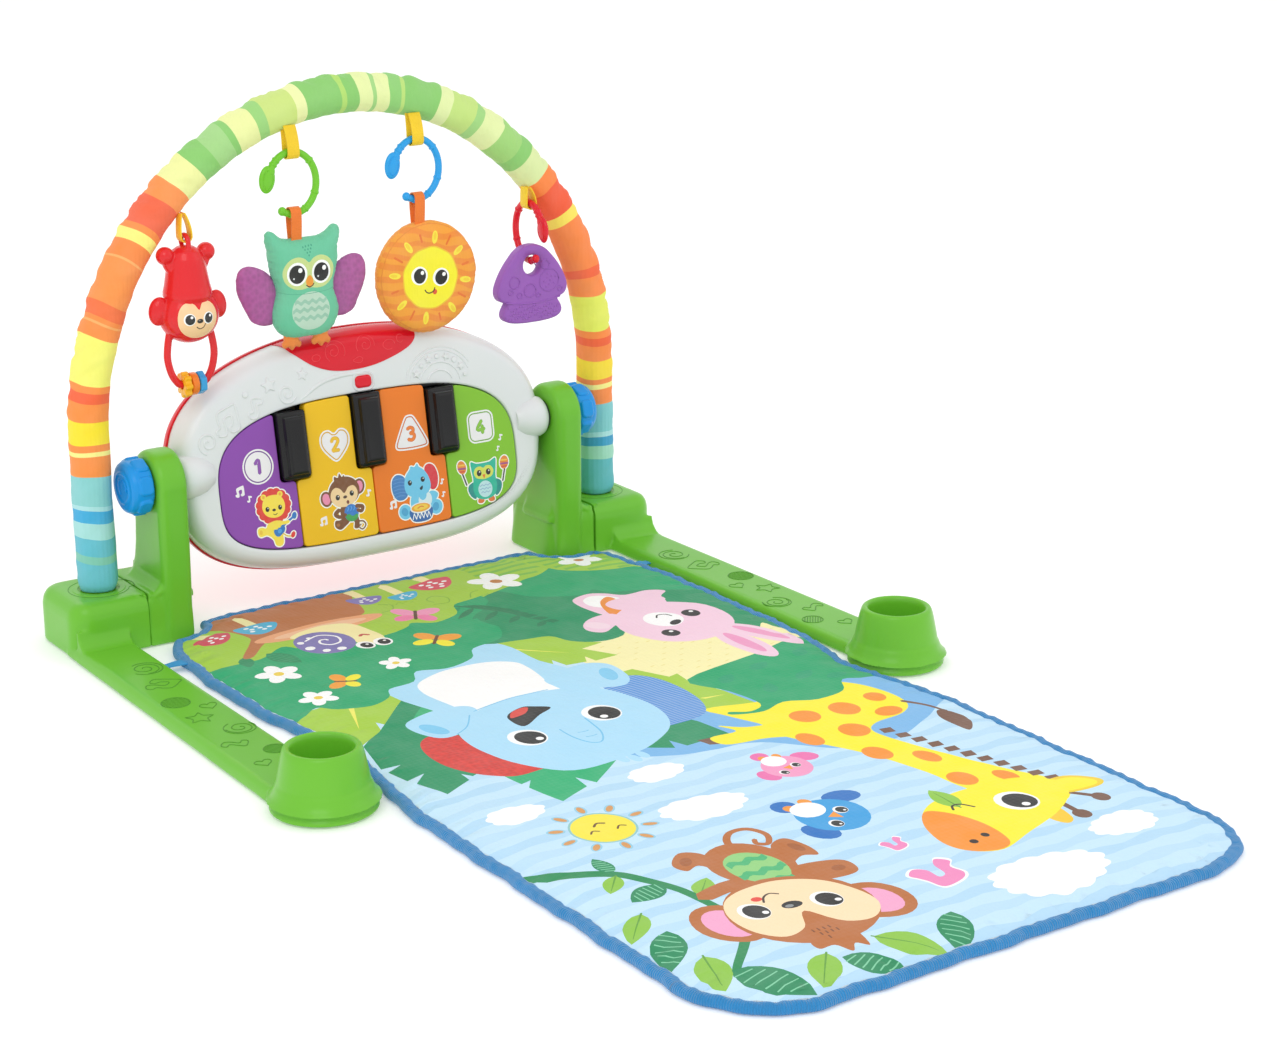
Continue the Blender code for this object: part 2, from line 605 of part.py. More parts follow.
def piano_housings(parent):
    front = solid("front_housing", front_shell(), "white_plastic", parent)
    light_cut = levelled(light_outline(GAP), ((0, -0.02), (0, 0.0225)), upright)
    button_cut = levelled(button_outline(GAP), ((0, -0.02), (0, 0.0145)), upright)
    joined(front, [trunnion(False), trunnion(True)])
    cut(front, [bolt_bore(), light_cut, button_cut])

    panel = solid("light_panel", panel_solid(0.0006), "red_plastic", parent)
    bowl = levelled(light_outline(0), ((0, -0.02), (0, 0.0220)), upright)
    back_levels = ((-0.0140, 0.0032), (-0.0075, 0.0100), (-0.0035, 0.0300))
    step_back = levelled(panel_outline(), back_levels, upright)
    cut(panel, [bowl], "INTERSECT")
    cut(panel, [step_back])

    back_levels = ((0.0010, SPLIT + GAP), (0.0010, 0.0330), (-0.0060, 0.0430), (-0.0180, PANEL_DEPTH))
    back = solid("back_housing", levelled(panel_outline(), back_levels, upright), "red_plastic", parent)
    hollow = ((-0.0025, SPLIT - 0.002), (-0.0025, 0.0330), (-0.0090, 0.0405), (-0.0200, 0.0445))
    door_hole = levelled(door_outline(GAP), ((0, 0.040), (0, 0.060)), upright)
    switch_hole = block((0.075, 0.040, 0.016), (0.097, 0.060, 0.026))
    cut(back, [levelled(panel_outline(), hollow, upright), door_hole, switch_hole])


def button_outline(growth):
    return grown(rounded_rect(-0.0085, 0.0085, 0.0435, 0.0550, (0.005,) * 4), growth)


def door_outline(growth):
    return grown(rounded_rect(-0.0350, 0.0350, -0.0760, -0.0160, (0.004,) * 4), growth)


def music_button(parent):
    levels = ((0, 0.0120), (0, 0.0), (-0.0015, -0.0020))
    solid("music_button", levelled(button_outline(0), levels, upright), "red_plastic", parent)


def key_prism(outline, face, back, round_by=0.0016):
    levels = ((0, back), (0, face + round_by), (-round_by * 0.35, face + round_by * 0.3), (-round_by, face))
    return levelled(outline, levels, upright)


def black_outline(index):
    """Footprint of a black key, hanging from the opening's upper edge."""
    centre = (index - 2) * KEY_W
    room = grown(keys_outline(), -0.0012)
    strip = clipped(clipped(room, 0, centre - BLACK_HALF, True), 0, centre + BLACK_HALF, False)
    strip = clipped(strip, 1, BLACK_LOW, True)
    tops = [v for u, v in strip if v > BLACK_LOW + 0.01]
    box = (centre - BLACK_HALF, centre + BLACK_HALF)
    return rounded_rect(*box, BLACK_LOW, min(tops), (0.004,) * 4, steps=3)


def coloured_key(number, slot, parent):
    """A key's plate: its share of the opening, with notches for the black keys beside it."""
    left = (number - 3) * KEY_W + (KEY_GAP / 2 if number > 1 else -0.1)
    right = (number - 2) * KEY_W - (KEY_GAP / 2 if number < 4 else -0.1)
    room = grown(keys_outline(), -KEY_GAP)
    strip = clipped(clipped(room, 0, left, True), 0, right, False)
    outline = even(strip, 31)
    hinge = (0, 0.0110, 0.0400)
    key = solid(f"key_{number}", key_prism(outline, 0.0010, 0.0105), slot, parent, hinge)
    notches = [n for n in (number - 1, number) if 1 <= n <= 3]
    cut(key, [levelled(notch_outline(n), ((0, -0.02), (0, 0.03)), upright) for n in notches])


def notch_outline(index):
    centre = (index - 2) * KEY_W
    side = BLACK_HALF + 0.0008
    radii = (0.004, 0.004, 0.001, 0.001)
    return rounded_rect(centre - side, centre + side, BLACK_LOW - 0.0008, 0.060, radii, steps=3)


def black_key(index, parent):
    outline = black_outline(index)
    levels = ((0, 0.0085), (0, 0.004 - BLACK_PROUD), (-0.0010, 0.0012 - BLACK_PROUD))
    levels += ((-0.0030, -BLACK_PROUD),)
    centre = ((index - 2) * KEY_W, 0, 0)
    solid(f"black_key_{index}", levelled(outline, levels, upright), "black_plastic", parent, centre)


def piano_insides(parent):
    board = rounded_rect(-0.115, 0.115, -0.085, 0.030, (0.004,) * 4, steps=2)
    solid("circuit_board", levelled(board, ((0, 0.0165), (0, 0.0181)), upright), "board", parent)
    cone = ((0.0160, 0.0090), (0.0160, 0.0115), (0.0090, 0.0150), (0.0090, 0.0220))
    solid("speaker", turned(cone, (0.079, 0.0600), upright, steps=20), "black_plastic", parent)
    for index in range(3):
        u = -0.0170 + 0.0170 * index
        cell = ((0.0028, -0.0195), (0.0069, -0.0205), (0.0069, -0.0700), (0.0060, -0.0705))
        rings = []
        for radius, v in cell:
            circle = arc((u, 0.0350), radius, 0, 330, 11)
            rings.append([Vector((a, b, v)) for a, b in circle])
        solid(f"battery_{index + 1}", loft(rings), "steel", parent)
    door = levelled(door_outline(0), ((0, 0.0452), (0, PANEL_DEPTH)), upright)
    solid("battery_door", door, "red_plastic", parent, (0, PANEL_DEPTH, -0.046))
    lever = levelled(
        rounded_rect(0.0795, 0.0885, 0.0170, 0.0250, (0.001,) * 4, steps=2),
        ((0, 0.0400), (0, 0.0495), (-0.0008, 0.0505)),
        upright,
    )
    solid("mode_switch", lever, "black_plastic", parent, (0.084, 0.0450, 0.021))


def piano(parent):
    piano_housings(parent)
    music_button(parent)
    for number, colour in enumerate(("purple", "yellow", "orange", "lime"), 1):
        coloured_key(number, f"{colour}_plastic", parent)
    for index in (1, 2, 3):
        black_key(index, parent)
    piano_insides(parent)


# ---- toys -----------------------------------------------------------------------------------
def band(x, y, top, bottom, across_y, width, top_half=0.0046):
    """A folded strap: a flat ring that stands upright, round a tube at its lower end."""
    half = STRAP_HALF
    loop = arc((0, bottom + half), half, 180, 360, 6) + [(top_half, top), (-top_half, top)]
    inner = grown(loop, -STRAP_T)
    rings = []
    for outline, at in ((loop, -width / 2), (loop, width / 2), (inner, width / 2), (inner, -width / 2)):
        if across_y:
            rings.append([Vector((x + at, y + u, v)) for u, v in outline])
        else:
            rings.append([Vector((x + u, y + at, v)) for u, v in outline])
    return loft(rings, closed=True)


def link_path(start, end, steps=15):
    """An ellipse from start to end, in degrees clockwise from the top."""
    points = []
    for i in range(steps + 1):
        angle = math.radians(start + (end - start) * i / steps)
        points.append((LINK_HALF_W * math.sin(angle), LINK_HALF_H * math.cos(angle)))
    return points


def ring_link(name, centre, in_xz, slot, parent):
    """An open C-shaped link with a flat thumb pad at one end of the gap."""
    x, z = centre
    path = link_path(-62, 208)
    if in_xz:
        points = [Vector((x + u, TOY_Y, z + v)) for u, v in path]
        side, pad_radii = Vector((0, 1, 0)), (0.0075, 0.0034, 0.0120)
    else:
        points = [Vector((x, TOY_Y + u, z + v)) for u, v in path]
        side, pad_radii = Vector((1, 0, 0)), (0.0034, 0.0075, 0.0120)
    hinge = (x, TOY_Y, z + LINK_HALF_H)
    link = solid(name, loft(swept_rings(points, LINK_R, side, 6)), slot, parent, hinge)
    pad_centre = points[0] + (points[0] - points[1]).normalized() * 0.0085
    joined(link, [ball(pad_centre, pad_radii, rings=6, segments=8)])


MONKEY_X, MONKEY_HEAD_Z = -0.1675, 0.2840
MONKEY_BAR_Z, MONKEY_BAR_HALF = 0.2225, 0.0155
TAIL_Z = 0.3530
HOOK_HALF, HOOK_R = 0.0072, 0.0022
HOOK_DROP = 0.0012  # how far the hook's tube falls away across half the strap's width


def monkey_handle():
    """The arms: down from the chin to a straight bar that carries the beads."""
    half = 0.0205
    shape = [(-half + 0.0030, 0.275), (-half, 0.262), (-half - 0.0015, 0.248), (-half + 0.0010, 0.236)]
    shape += [(-MONKEY_BAR_HALF, 0.2265), (-MONKEY_BAR_HALF + 0.004, MONKEY_BAR_Z)]
    shape += [(-u, v) for u, v in reversed(shape)]
    path = [Vector((MONKEY_X + u, TOY_Y, v)) for u, v in shape]
    return loft(swept_rings(path, 0.0032, Vector((0, 1, 0)), 7))


def monkey_tail():
    """The tail's open hook, which hangs in the strap."""
    path = [Vector((MONKEY_X, TOY_Y - HOOK_HALF, 0.3345))]
    for u, v in arc((0, TAIL_Z - 0.0060), 1.0, 180, -25, 9):
        depth, rise = u * HOOK_HALF, (v - TAIL_Z + 0.0060) * 0.0060
        path.append(Vector((MONKEY_X, TOY_Y + depth, TAIL_Z - 0.0060 + rise)))
    return loft(swept_rings(path, HOOK_R, Vector((1, 0, 0)), 7))


def monkey(parent):
    hinge = (MONKEY_X, TOY_Y, TAIL_Z)
    trunk = ((0.0080, 0.3400), (0.0135, 0.3350), (0.0165, 0.3210), (0.0200, 0.3060))
    trunk += ((0.0215, 0.2980), (0.0120, 0.2900))
    rings = []
    for radius, z in trunk:
        rings.append([Vector((u, v, z)) for u, v in arc((MONKEY_X, TOY_Y), radius, 0, 336, 14)])
    body = solid("monkey_rattle", loft(rings), "red_plastic", parent, hinge)
    parts = [ball((MONKEY_X, TOY_Y, MONKEY_HEAD_Z), (0.0265, 0.0225, 0.0245), segments=14, rings=8)]
    for sign in (-1, 1):
        ear, ball_foot = (MONKEY_X + sign * 0.0275, TOY_Y, 0.2900), (MONKEY_X + sign * 0.0195, TOY_Y, 0.3370)
        parts.append(ball(ear, (0.0110, 0.0070, 0.0120), rings=6, segments=10))
        parts.append(ball(ball_foot, (0.0082, 0.0082, 0.0080), rings=6, segments=10))
        leg = [Vector((MONKEY_X + sign * 0.008, TOY_Y, 0.326)), Vector(ball_foot)]
        parts.append(loft(swept_rings(leg, 0.0042, Vector((0, 1, 0)), 6)))
    joined(body, parts + [monkey_handle(), monkey_tail()])
    for index, (kind, colour) in enumerate((("gear", "yellow"), ("round", "orange"), ("hex", "blue"))):
        bead(f"bead_{kind}", MONKEY_X + (index - 1) * 0.0072, f"{colour}_plastic", parent)


def bead(name, x, slot, parent):
    """A bead on the handle's bar: toothed, round or six-sided outside, round inside."""
    count, rings = 24, []
    for x_at, outside in ((-0.0030, True), (0.0030, True), (0.0030, False), (-0.0030, False)):
        ring = []
        for i in range(count):
            angle = 2 * math.pi * i / count
            if not outside:
                radius = 0.0039
            elif name == "bead_gear":
                radius = 0.0098 + 0.0010 * math.cos(8 * angle)
            elif name == "bead_hex":
                radius = 0.0092 / math.cos((angle + math.pi / 6) % (math.pi / 3) - math.pi / 6)
            else:
                radius = 0.0098
            ring.append(sideways(*polar(TOY_Y, MONKEY_BAR_Z, radius, angle), x + x_at))
        rings.append(ring)
    solid(name, loft(rings, closed=True), slot, parent, (x, TOY_Y, MONKEY_BAR_Z))


OWL_X, OWL_Z = -0.0560, 0.2960


def owl_outline():
    """Half of the owl from the feet up to the crown, mirrored: belly, waist, cheek and ear tuft."""
    half = [(0.006, -0.0465), (0.020, -0.0445), (0.0290, -0.0360), (0.0320, -0.0230), (0.0290, -0.0110)]
    half += [(0.0265, -0.0030), (0.0300, 0.0060), (0.0335, 0.0190), (0.0335, 0.0300), (0.0350, 0.0400)]
    half += [(0.0340, 0.0490), (0.0280, 0.0500), (0.0200, 0.0430), (0.0080, 0.0420)]
    shape = half + [(-u, v) for u, v in reversed(half)]
    return [(OWL_X + u, OWL_Z + v) for u, v in even(shape, 40)]


def pillow(outline, thickness=1.0):
    """A stuffed shape, 22 mm thick in the middle at full thickness."""
    half = ((-0.0090, -0.0110), (-0.0035, -0.0080), (-0.0004, -0.0030))
    levels = half + tuple((by, -y) for by, y in reversed(half))
    return levelled(outline, [(by, TOY_Y + y * thickness) for by, y in levels], upright)


def owl(parent):
    hinge = (OWL_X, TOY_Y, LINK_Z - LINK_HALF_H)
    body = solid("owl_body", pillow(owl_outline()), "owl_fabric", parent, hinge)
    feet = []
    for sign in (-1, 1):
        centre = (OWL_X + sign * 0.0150, TOY_Y, OWL_Z - 0.0480)
        feet.append(ball(centre, (0.0075, 0.0055, 0.0085), rings=6, segments=8))
    joined(body, feet + [sewn_strap(GREEN_X, LINK_Z - LINK_HALF_H, OWL_Z + 0.0370)])
    for sign, side in ((-1, "left"), (1, "right")):
        lean = math.radians(20) * sign
        shape = oval(0.0150, 0.0200, 0.0260, 2.0, 2.0, 0.0, 18)
        c, s = math.cos(lean), math.sin(lean)
        centre_u, centre_v = OWL_X + sign * 0.0480, OWL_Z - 0.0060
        outline = [(centre_u + u * c - v * s, centre_v + u * s + v * c) for u, v in shape]
        wing = solid(f"owl_wing_{side}", pillow(outline, 0.45), "wing_fabric", parent)
        cut(wing, [pillow([(u, v) for u, v in grown(owl_outline(), 0.0010)], 2.0)])


def sun(parent):
    x, z = 0.0675, 0.2885
    outline = arc((x, z), 0.0515, 0, 348, 29)
    half = ((-0.0200, -0.0085), (-0.0080, -0.0065), (-0.0010, -0.0022))
    levels = half + tuple((by, -y) for by, y in reversed(half))
    shape = levelled(outline, [(by, TOY_Y + y) for by, y in levels], upright)
    pad = solid("sun_pad", shape, "sun_fabric", parent, (x, TOY_Y, LINK_Z - LINK_HALF_H))
    joined(pad, [sewn_strap(BLUE_X, LINK_Z - LINK_HALF_H, z + 0.0450)])


def teether(parent):
    """A flat mushroom with a hole at the top for its link."""
    x, z = TEETHER_X, 0.2680
    cap = arc((x, z + 0.006), 0.0310, 35, 145, 10) + arc((x - 0.0320, z - 0.0080), 0.0060, 150, 270, 4)
    cap += [(x - 0.0260, z - 0.0150)] + arc((x - 0.0220, z - 0.0270), 0.0080, 140, 250, 4)
    cap += arc((x + 0.0220, z - 0.0270), 0.0080, 290, 400, 4) + [(x + 0.0260, z - 0.0150)]
    cap += arc((x + 0.0320, z - 0.0080), 0.0060, 270, 390, 4)
    levels = ((-0.0020, -0.0055), (0, -0.0035), (0, 0.0035), (-0.0020, 0.0055))
    body = levelled(even(cap, 40), [(by, TOY_Y + y) for by, y in levels], upright)
    hole_outline = arc((x, z + 0.0180), 0.0090, 0, 340, 17)
    hole = levelled(hole_outline, ((0, TOY_Y - 0.02), (0, TOY_Y + 0.02)), upright)
    cut(solid("teether", body, "violet_rubber", parent, (x, TOY_Y, RED_LINK_Z - LINK_HALF_H)), [hole])


GREEN_X, BLUE_X, TEETHER_X = -0.0630, 0.0610, 0.1790
LINK_Z, RED_LINK_Z = 0.3870, 0.3170


def hoop_strap(name, x, hung_z, tube_r, across_y, width, parent):
    """A strap sewn under the hoop's sleeve, down round the tube that hangs in it."""
    reach = STRAP_W / 2 + 0.001 if across_y else STRAP_PINCH + 0.0004
    top = min(sleeve_underside(x - reach), sleeve_underside(x + reach)) - GAP
    bottom = hung_z - tube_r - STRAP_T - STRAP_SLACK
    top_half = 0.8 * STRAP_HALF if across_y else STRAP_PINCH
    solid(name, band(x, TOY_Y, top, bottom, across_y, width, top_half), "strap_fabric", parent)


def sewn_strap(x, tube_z, sewn_z):
    """The strap sewn into a toy's top edge, up round the bottom of its link."""
    top = tube_z + LINK_R + STRAP_T + STRAP_SLACK
    upside_down = band(x, TOY_Y, -sewn_z, -top, True, 0.0090)
    upside_down.transform(Matrix.Diagonal((1, 1, -1, 1)))
    return faced_out(upside_down)


def toys(parent):
    hoop_strap("strap_green_link", GREEN_X, LINK_Z + LINK_HALF_H, LINK_R, True, STRAP_W, parent)
    hoop_strap("strap_blue_link", BLUE_X, LINK_Z + LINK_HALF_H, LINK_R, True, STRAP_W, parent)
    hoop_strap("strap_red_link", TEETHER_X, RED_LINK_Z + LINK_HALF_H, LINK_R, False, STRAP_W, parent)
    hoop_strap("strap_monkey", MONKEY_X, TAIL_Z - HOOK_DROP, HOOK_R, False, 0.0092, parent)
    ring_link("link_green", (GREEN_X, LINK_Z), True, "lime_plastic", parent)
    ring_link("link_blue", (BLUE_X, LINK_Z), True, "blue_plastic", parent)
    ring_link("link_red", (TEETHER_X, RED_LINK_Z), False, "red_plastic", parent)
    monkey(parent)
    owl(parent)
    sun(parent)
    teether(parent)


def main():
    for old in list(bpy.data.objects):
        bpy.data.objects.remove(old)
    gym = empty("gym", location=(0, ARCH_Y, 0))
    for side in ("left", "right"):
        side_frame(side, gym)
        knob(side, gym)
    arch(gym)
    play_mat(gym)
    tilt_axis = empty("piano_tilt_axis", gym, (0, AXIS_Y, AXIS_Z), -TILT)
    piano(empty("piano_panel", tilt_axis, (0, PANEL_Y, PANEL_Z)))
    toys(gym)


main()
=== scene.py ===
"""Looks of the activity play gym: every visible piece of it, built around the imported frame.

Metres, +Z up. ARCH_Y is the plane of the arch; the mat's foot lies towards -Y. Colours are
written as sRGB hex and turned into linear values once, in `linear`.
"""

import math

import bmesh
import bpy
import numpy as np
from mathutils import Matrix, Vector, noise
from mathutils.geometry import delaunay_2d_cdt


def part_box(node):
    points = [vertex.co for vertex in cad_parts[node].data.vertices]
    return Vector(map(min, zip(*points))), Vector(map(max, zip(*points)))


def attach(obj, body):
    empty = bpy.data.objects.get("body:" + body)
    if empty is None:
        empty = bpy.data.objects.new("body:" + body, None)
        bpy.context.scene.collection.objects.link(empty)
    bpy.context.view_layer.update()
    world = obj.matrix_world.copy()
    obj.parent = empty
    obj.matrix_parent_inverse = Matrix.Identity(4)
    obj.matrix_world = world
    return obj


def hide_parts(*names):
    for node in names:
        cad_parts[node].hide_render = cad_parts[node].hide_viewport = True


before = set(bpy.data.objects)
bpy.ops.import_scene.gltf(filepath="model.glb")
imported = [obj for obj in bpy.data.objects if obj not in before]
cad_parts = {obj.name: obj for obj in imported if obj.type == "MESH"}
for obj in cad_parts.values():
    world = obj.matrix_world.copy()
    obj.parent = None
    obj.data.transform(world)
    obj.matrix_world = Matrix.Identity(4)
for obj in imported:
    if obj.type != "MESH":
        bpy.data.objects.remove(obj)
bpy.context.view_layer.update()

ARCH_Y = 0.431
MM = 0.001
CM = 0.01
SIDES = ((-1, "left"), (1, "right"))


# ---- camera, light and floor ----------------------------------------------------------------
def camera():
    """The photograph's view: 75 mm lens, from the front left and a little above."""
    data = bpy.data.cameras.new("view")
    data.sensor_width, data.lens = 36.0, 75.19
    data.clip_start, data.clip_end = 0.05, 30.0
    turn, rise, roll = math.radians(-34.4246), math.radians(17.2597), math.radians(-0.2349)
    back = Vector((math.sin(turn) * math.cos(rise), -math.cos(turn) * math.cos(rise), math.sin(rise)))
    right = Vector((math.cos(turn), math.sin(turn), 0.0))
    up = back.cross(right)
    across = right * math.cos(roll) + up * math.sin(roll)
    basis = Matrix((across, back.cross(across), back)).transposed().to_4x4()
    made = bpy.data.objects.new("view", data)
    made.matrix_world = Matrix.Translation((-1.1213, -1.6621, 0.7901)) @ basis
    bpy.context.scene.collection.objects.link(made)
    bpy.context.scene.camera = made


def area_light(name, place, target, size, power, tint=(1.0, 1.0, 1.0)):
    """A round area light aimed at a point."""
    data = bpy.data.lights.new(name, "AREA")
    data.shape, data.size, data.energy, data.color = "DISK", size, power, tint
    made = bpy.data.objects.new(name, data)
    made.location = place
    made.rotation_euler = (Vector(target) - Vector(place)).to_track_quat("-Z", "Y").to_euler()
    bpy.context.scene.collection.objects.link(made)


def studio():
    """A big soft key from the upper left, a fill from the right, a rim from behind, and a pale floor."""
    area_light("key", (-1.3, -1.2, 1.9), (0.0, 0.0, 0.15), 1.5, 10.0, (1.0, 0.99, 0.97))
    area_light("fill", (1.8, -1.3, 1.5), (0.0, 0.0, 0.15), 1.8, 3.0, (0.97, 0.985, 1.0))
    area_light("rim", (0.3, 2.0, 1.7), (0.0, 0.3, 0.2), 1.5, 4.0)
    world = bpy.data.worlds.new("studio")
    world.use_nodes = True
    sky = world.node_tree.nodes["Background"]
    sky.inputs["Color"].default_value = (1.0, 1.0, 1.0, 1.0)
    sky.inputs["Strength"].default_value = 0.93
    bpy.context.scene.world = world
    bpy.context.scene.view_settings.view_transform = "Standard"

    count, half = 48, 9.0
    rings = [[(r * math.cos(2 * math.pi * i / count), r * math.sin(2 * math.pi * i / count), 0.0)
              for i in range(count)] for r in (half, 3.0, 1.0)]
    verts, faces = lofted(rings, caps=(False, True))
    floor = mesh_object("floor", verts, faces)
    floor.data.materials.append(floor_material())


# ---- colours and materials ------------------------------------------------------------------
def linear(code):
    """'#rrggbb' as linear RGB."""
    values = [int(code[i:i + 2], 16) / 255 for i in (1, 3, 5)]
    return tuple(v / 12.92 if v <= 0.04045 else ((v + 0.055) / 1.055) ** 2.4 for v in values)


class Shader:
    """A material's node tree, with short ways to add nodes to it."""

    def __init__(self, name):
        self.made = bpy.data.materials.new(name)
        self.made.use_nodes = True
        self.tree = self.made.node_tree
        self.bsdf = self.tree.nodes["Principled BSDF"]
        self.place = self.node("ShaderNodeTexCoord").outputs["Object"]

    def node(self, kind, inputs=(), **settings):
        made = self.tree.nodes.new(kind)
        for key, value in settings.items():
            setattr(made, key, value)
        for key, value in dict(inputs).items():
            socket = made.inputs[key]
            if hasattr(value, "is_output"):
                self.tree.links.new(value, socket)
            else:
                socket.default_value = value
        return made

    def set(self, **values):
        for key, value in values.items():
            socket = self.bsdf.inputs[key.replace("_", " ")]
            if hasattr(value, "is_output"):
                self.tree.links.new(value, socket)
            else:
                socket.default_value = value

    def noise(self, scale, detail=2.0, place=None, rough=0.5):
        inputs = {"Vector": place or self.place, "Scale": scale, "Detail": detail, "Roughness": rough}
        return self.node("ShaderNodeTexNoise", inputs).outputs["Fac"]

    def stretched(self, factors):
        """The object's coordinates, each multiplied by a factor."""
        return self.node("ShaderNodeMapping", {"Vector": self.place, "Scale": factors}).outputs["Vector"]

    def ranged(self, value, low, high):
        return self.node("ShaderNodeMapRange", {"Value": value, "To Min": low,
                                                "To Max": high}).outputs["Result"]

    def math(self, operation, a, b=0.0):
        return self.node("ShaderNodeMath", {0: a, 1: b}, operation=operation).outputs[0]

    def mixed(self, share, a, b, blend="MIX"):
        made = self.node("ShaderNodeMix", data_type="RGBA", blend_type=blend)
        for index, value in ((0, share), (6, a), (7, b)):
            if hasattr(value, "is_output"):
                self.tree.links.new(value, made.inputs[index])
            elif index:
                made.inputs[index].default_value = (*value, 1.0)
            else:
                made.inputs[index].default_value = value
        return made.outputs[2]

    def bump(self, height, distance, strength=1.0, under=None):
        inputs = {"Height": height, "Distance": distance, "Strength": strength}
        if under is not None:
            inputs["Normal"] = under
        return self.node("ShaderNodeBump", inputs).outputs["Normal"]


def floor_material():
    """Matt pale studio paper."""
    paper = Shader("studio_paper")
    shade = paper.mixed(paper.noise(3.0), (0.89, 0.89, 0.89), (0.91, 0.91, 0.91))
    paper.set(Base_Color=shade, Roughness=0.95)
    paper.bsdf.inputs["Emission Color"].default_value = (1.0, 1.0, 1.0, 1.0)
    paper.bsdf.inputs["Emission Strength"].default_value = 0.22
    paper.bsdf.inputs["Specular IOR Level"].default_value = 0.1
    return paper.made


def toned(colour, by):
    return tuple(min(1.0, max(0.0, c * by)) for c in colour)


def plastic(name, code, rough=0.30, peel=0.00012, tone=0.05, coat=0.0, speckle=0.0):
    """Moulded plastic: a slightly uneven tone and gloss, and a fine moulded skin."""
    skin = Shader(name)
    colour = linear(code)
    cloudy = skin.noise(14.0, 2.0)
    shade = skin.mixed(cloudy, toned(colour, 1 - tone), toned(colour, 1 + tone))
    if speckle:
        shade = skin.mixed(skin.ranged(skin.noise(900.0, 1.0), 0.0, speckle), shade, toned(colour, 0.7))
    gloss = skin.ranged(skin.noise(55.0, 3.0), rough - 0.05, rough + 0.06)
    fine = skin.noise(1500.0, 2.0)
    broad = skin.noise(70.0, 1.0)
    surface = skin.bump(broad, peel * 2.5, 0.25)
    skin.set(Base_Color=shade, Roughness=gloss, Normal=skin.bump(fine, peel, 0.35, surface))
    skin.bsdf.inputs["Specular IOR Level"].default_value = 0.3
    if coat:
        skin.bsdf.inputs["Coat Weight"].default_value = 0.4 * coat
        skin.bsdf.inputs["Coat Roughness"].default_value = 0.08
    return skin.made


def attribute(shader, name):
    return shader.node("ShaderNodeAttribute", attribute_name=name)


def printed_fabric(name, weave=1400.0, rough=0.82, crinkle=0.0006, thread=0.00018, sheen=0.08, fade=0.04):
    """Woven cloth whose print is the mesh's 'paint' colours; the alpha of a colour picks its pattern:
    1 is plain, 0.8 small pale dots, 0.6 fine stripes across, 0.4 a pebbled weave."""
    cloth = Shader(name)
    paint = attribute(cloth, "paint")
    colour, kind = paint.outputs["Color"], paint.outputs["Alpha"]
    dots = cloth.node("ShaderNodeTexVoronoi", {"Vector": cloth.place, "Scale": 170.0, "Randomness": 0.35})
    spot = cloth.math("LESS_THAN", dots.outputs["Distance"], 0.27)
    stripe = cloth.node("ShaderNodeTexWave", {"Vector": cloth.place, "Scale": 95.0, "Distortion": 0.4},
                        bands_direction="Y").outputs["Fac"]
    pebble = cloth.node("ShaderNodeTexVoronoi", {"Vector": cloth.place, "Scale": 240.0}).outputs["Distance"]

    def where(value):
        return cloth.math("LESS_THAN", cloth.math("ABSOLUTE", cloth.math("SUBTRACT", kind, value)), 0.05)

    pale = cloth.mixed(0.45, colour, (1.0, 1.0, 1.0))
    deep = cloth.mixed(0.5, colour, (0.0, 0.0, 0.0), "MULTIPLY")
    dotted = cloth.math("MULTIPLY", where(0.8), spot)
    lined = cloth.math("MULTIPLY", where(0.6), cloth.ranged(stripe, -0.2, 0.75))
    pebbled = cloth.math("MULTIPLY", where(0.4), cloth.ranged(pebble, 0.55, -0.1))
    colour = cloth.mixed(dotted, colour, pale)
    colour = cloth.mixed(lined, colour, pale)
    colour = cloth.mixed(pebbled, colour, deep)
    faded = cloth.mixed(cloth.ranged(cloth.noise(40.0, 4.0), 0.0, fade * 2), colour, (1.0, 1.0, 1.0))
    warp = cloth.node("ShaderNodeTexWave", {"Vector": cloth.place, "Scale": weave / 20}).outputs["Fac"]
    weft = cloth.node("ShaderNodeTexWave", {"Vector": cloth.place, "Scale": weave / 20},
                      bands_direction="Y").outputs["Fac"]
    threads = cloth.math("ADD", warp, weft)
    folds = cloth.bump(cloth.noise(75.0, 4.0, rough=0.6), crinkle, 0.6)
    cloth.set(Base_Color=faded, Roughness=rough, Normal=cloth.bump(threads, thread, 0.5, folds))
    cloth.bsdf.inputs["Sheen Weight"].default_value = sheen
    cloth.bsdf.inputs["Sheen Roughness"].default_value = 0.5
    cloth.bsdf.inputs["Specular IOR Level"].default_value = 0.25
    return cloth.made


def printed_plastic(name, rough=0.30):
    """Ink on plastic: the mesh's 'paint' colours under a thin clear film."""
    ink = Shader(name)
    mottle = ink.ranged(ink.noise(300.0, 3.0), -0.02, 0.06)
    colour = ink.mixed(mottle, attribute(ink, "paint").outputs["Color"], (1.0, 1.0, 1.0))
    ink.set(Base_Color=colour, Roughness=rough, Normal=ink.bump(ink.noise(220.0, 2.0), 0.00006, 0.4))
    return ink.made


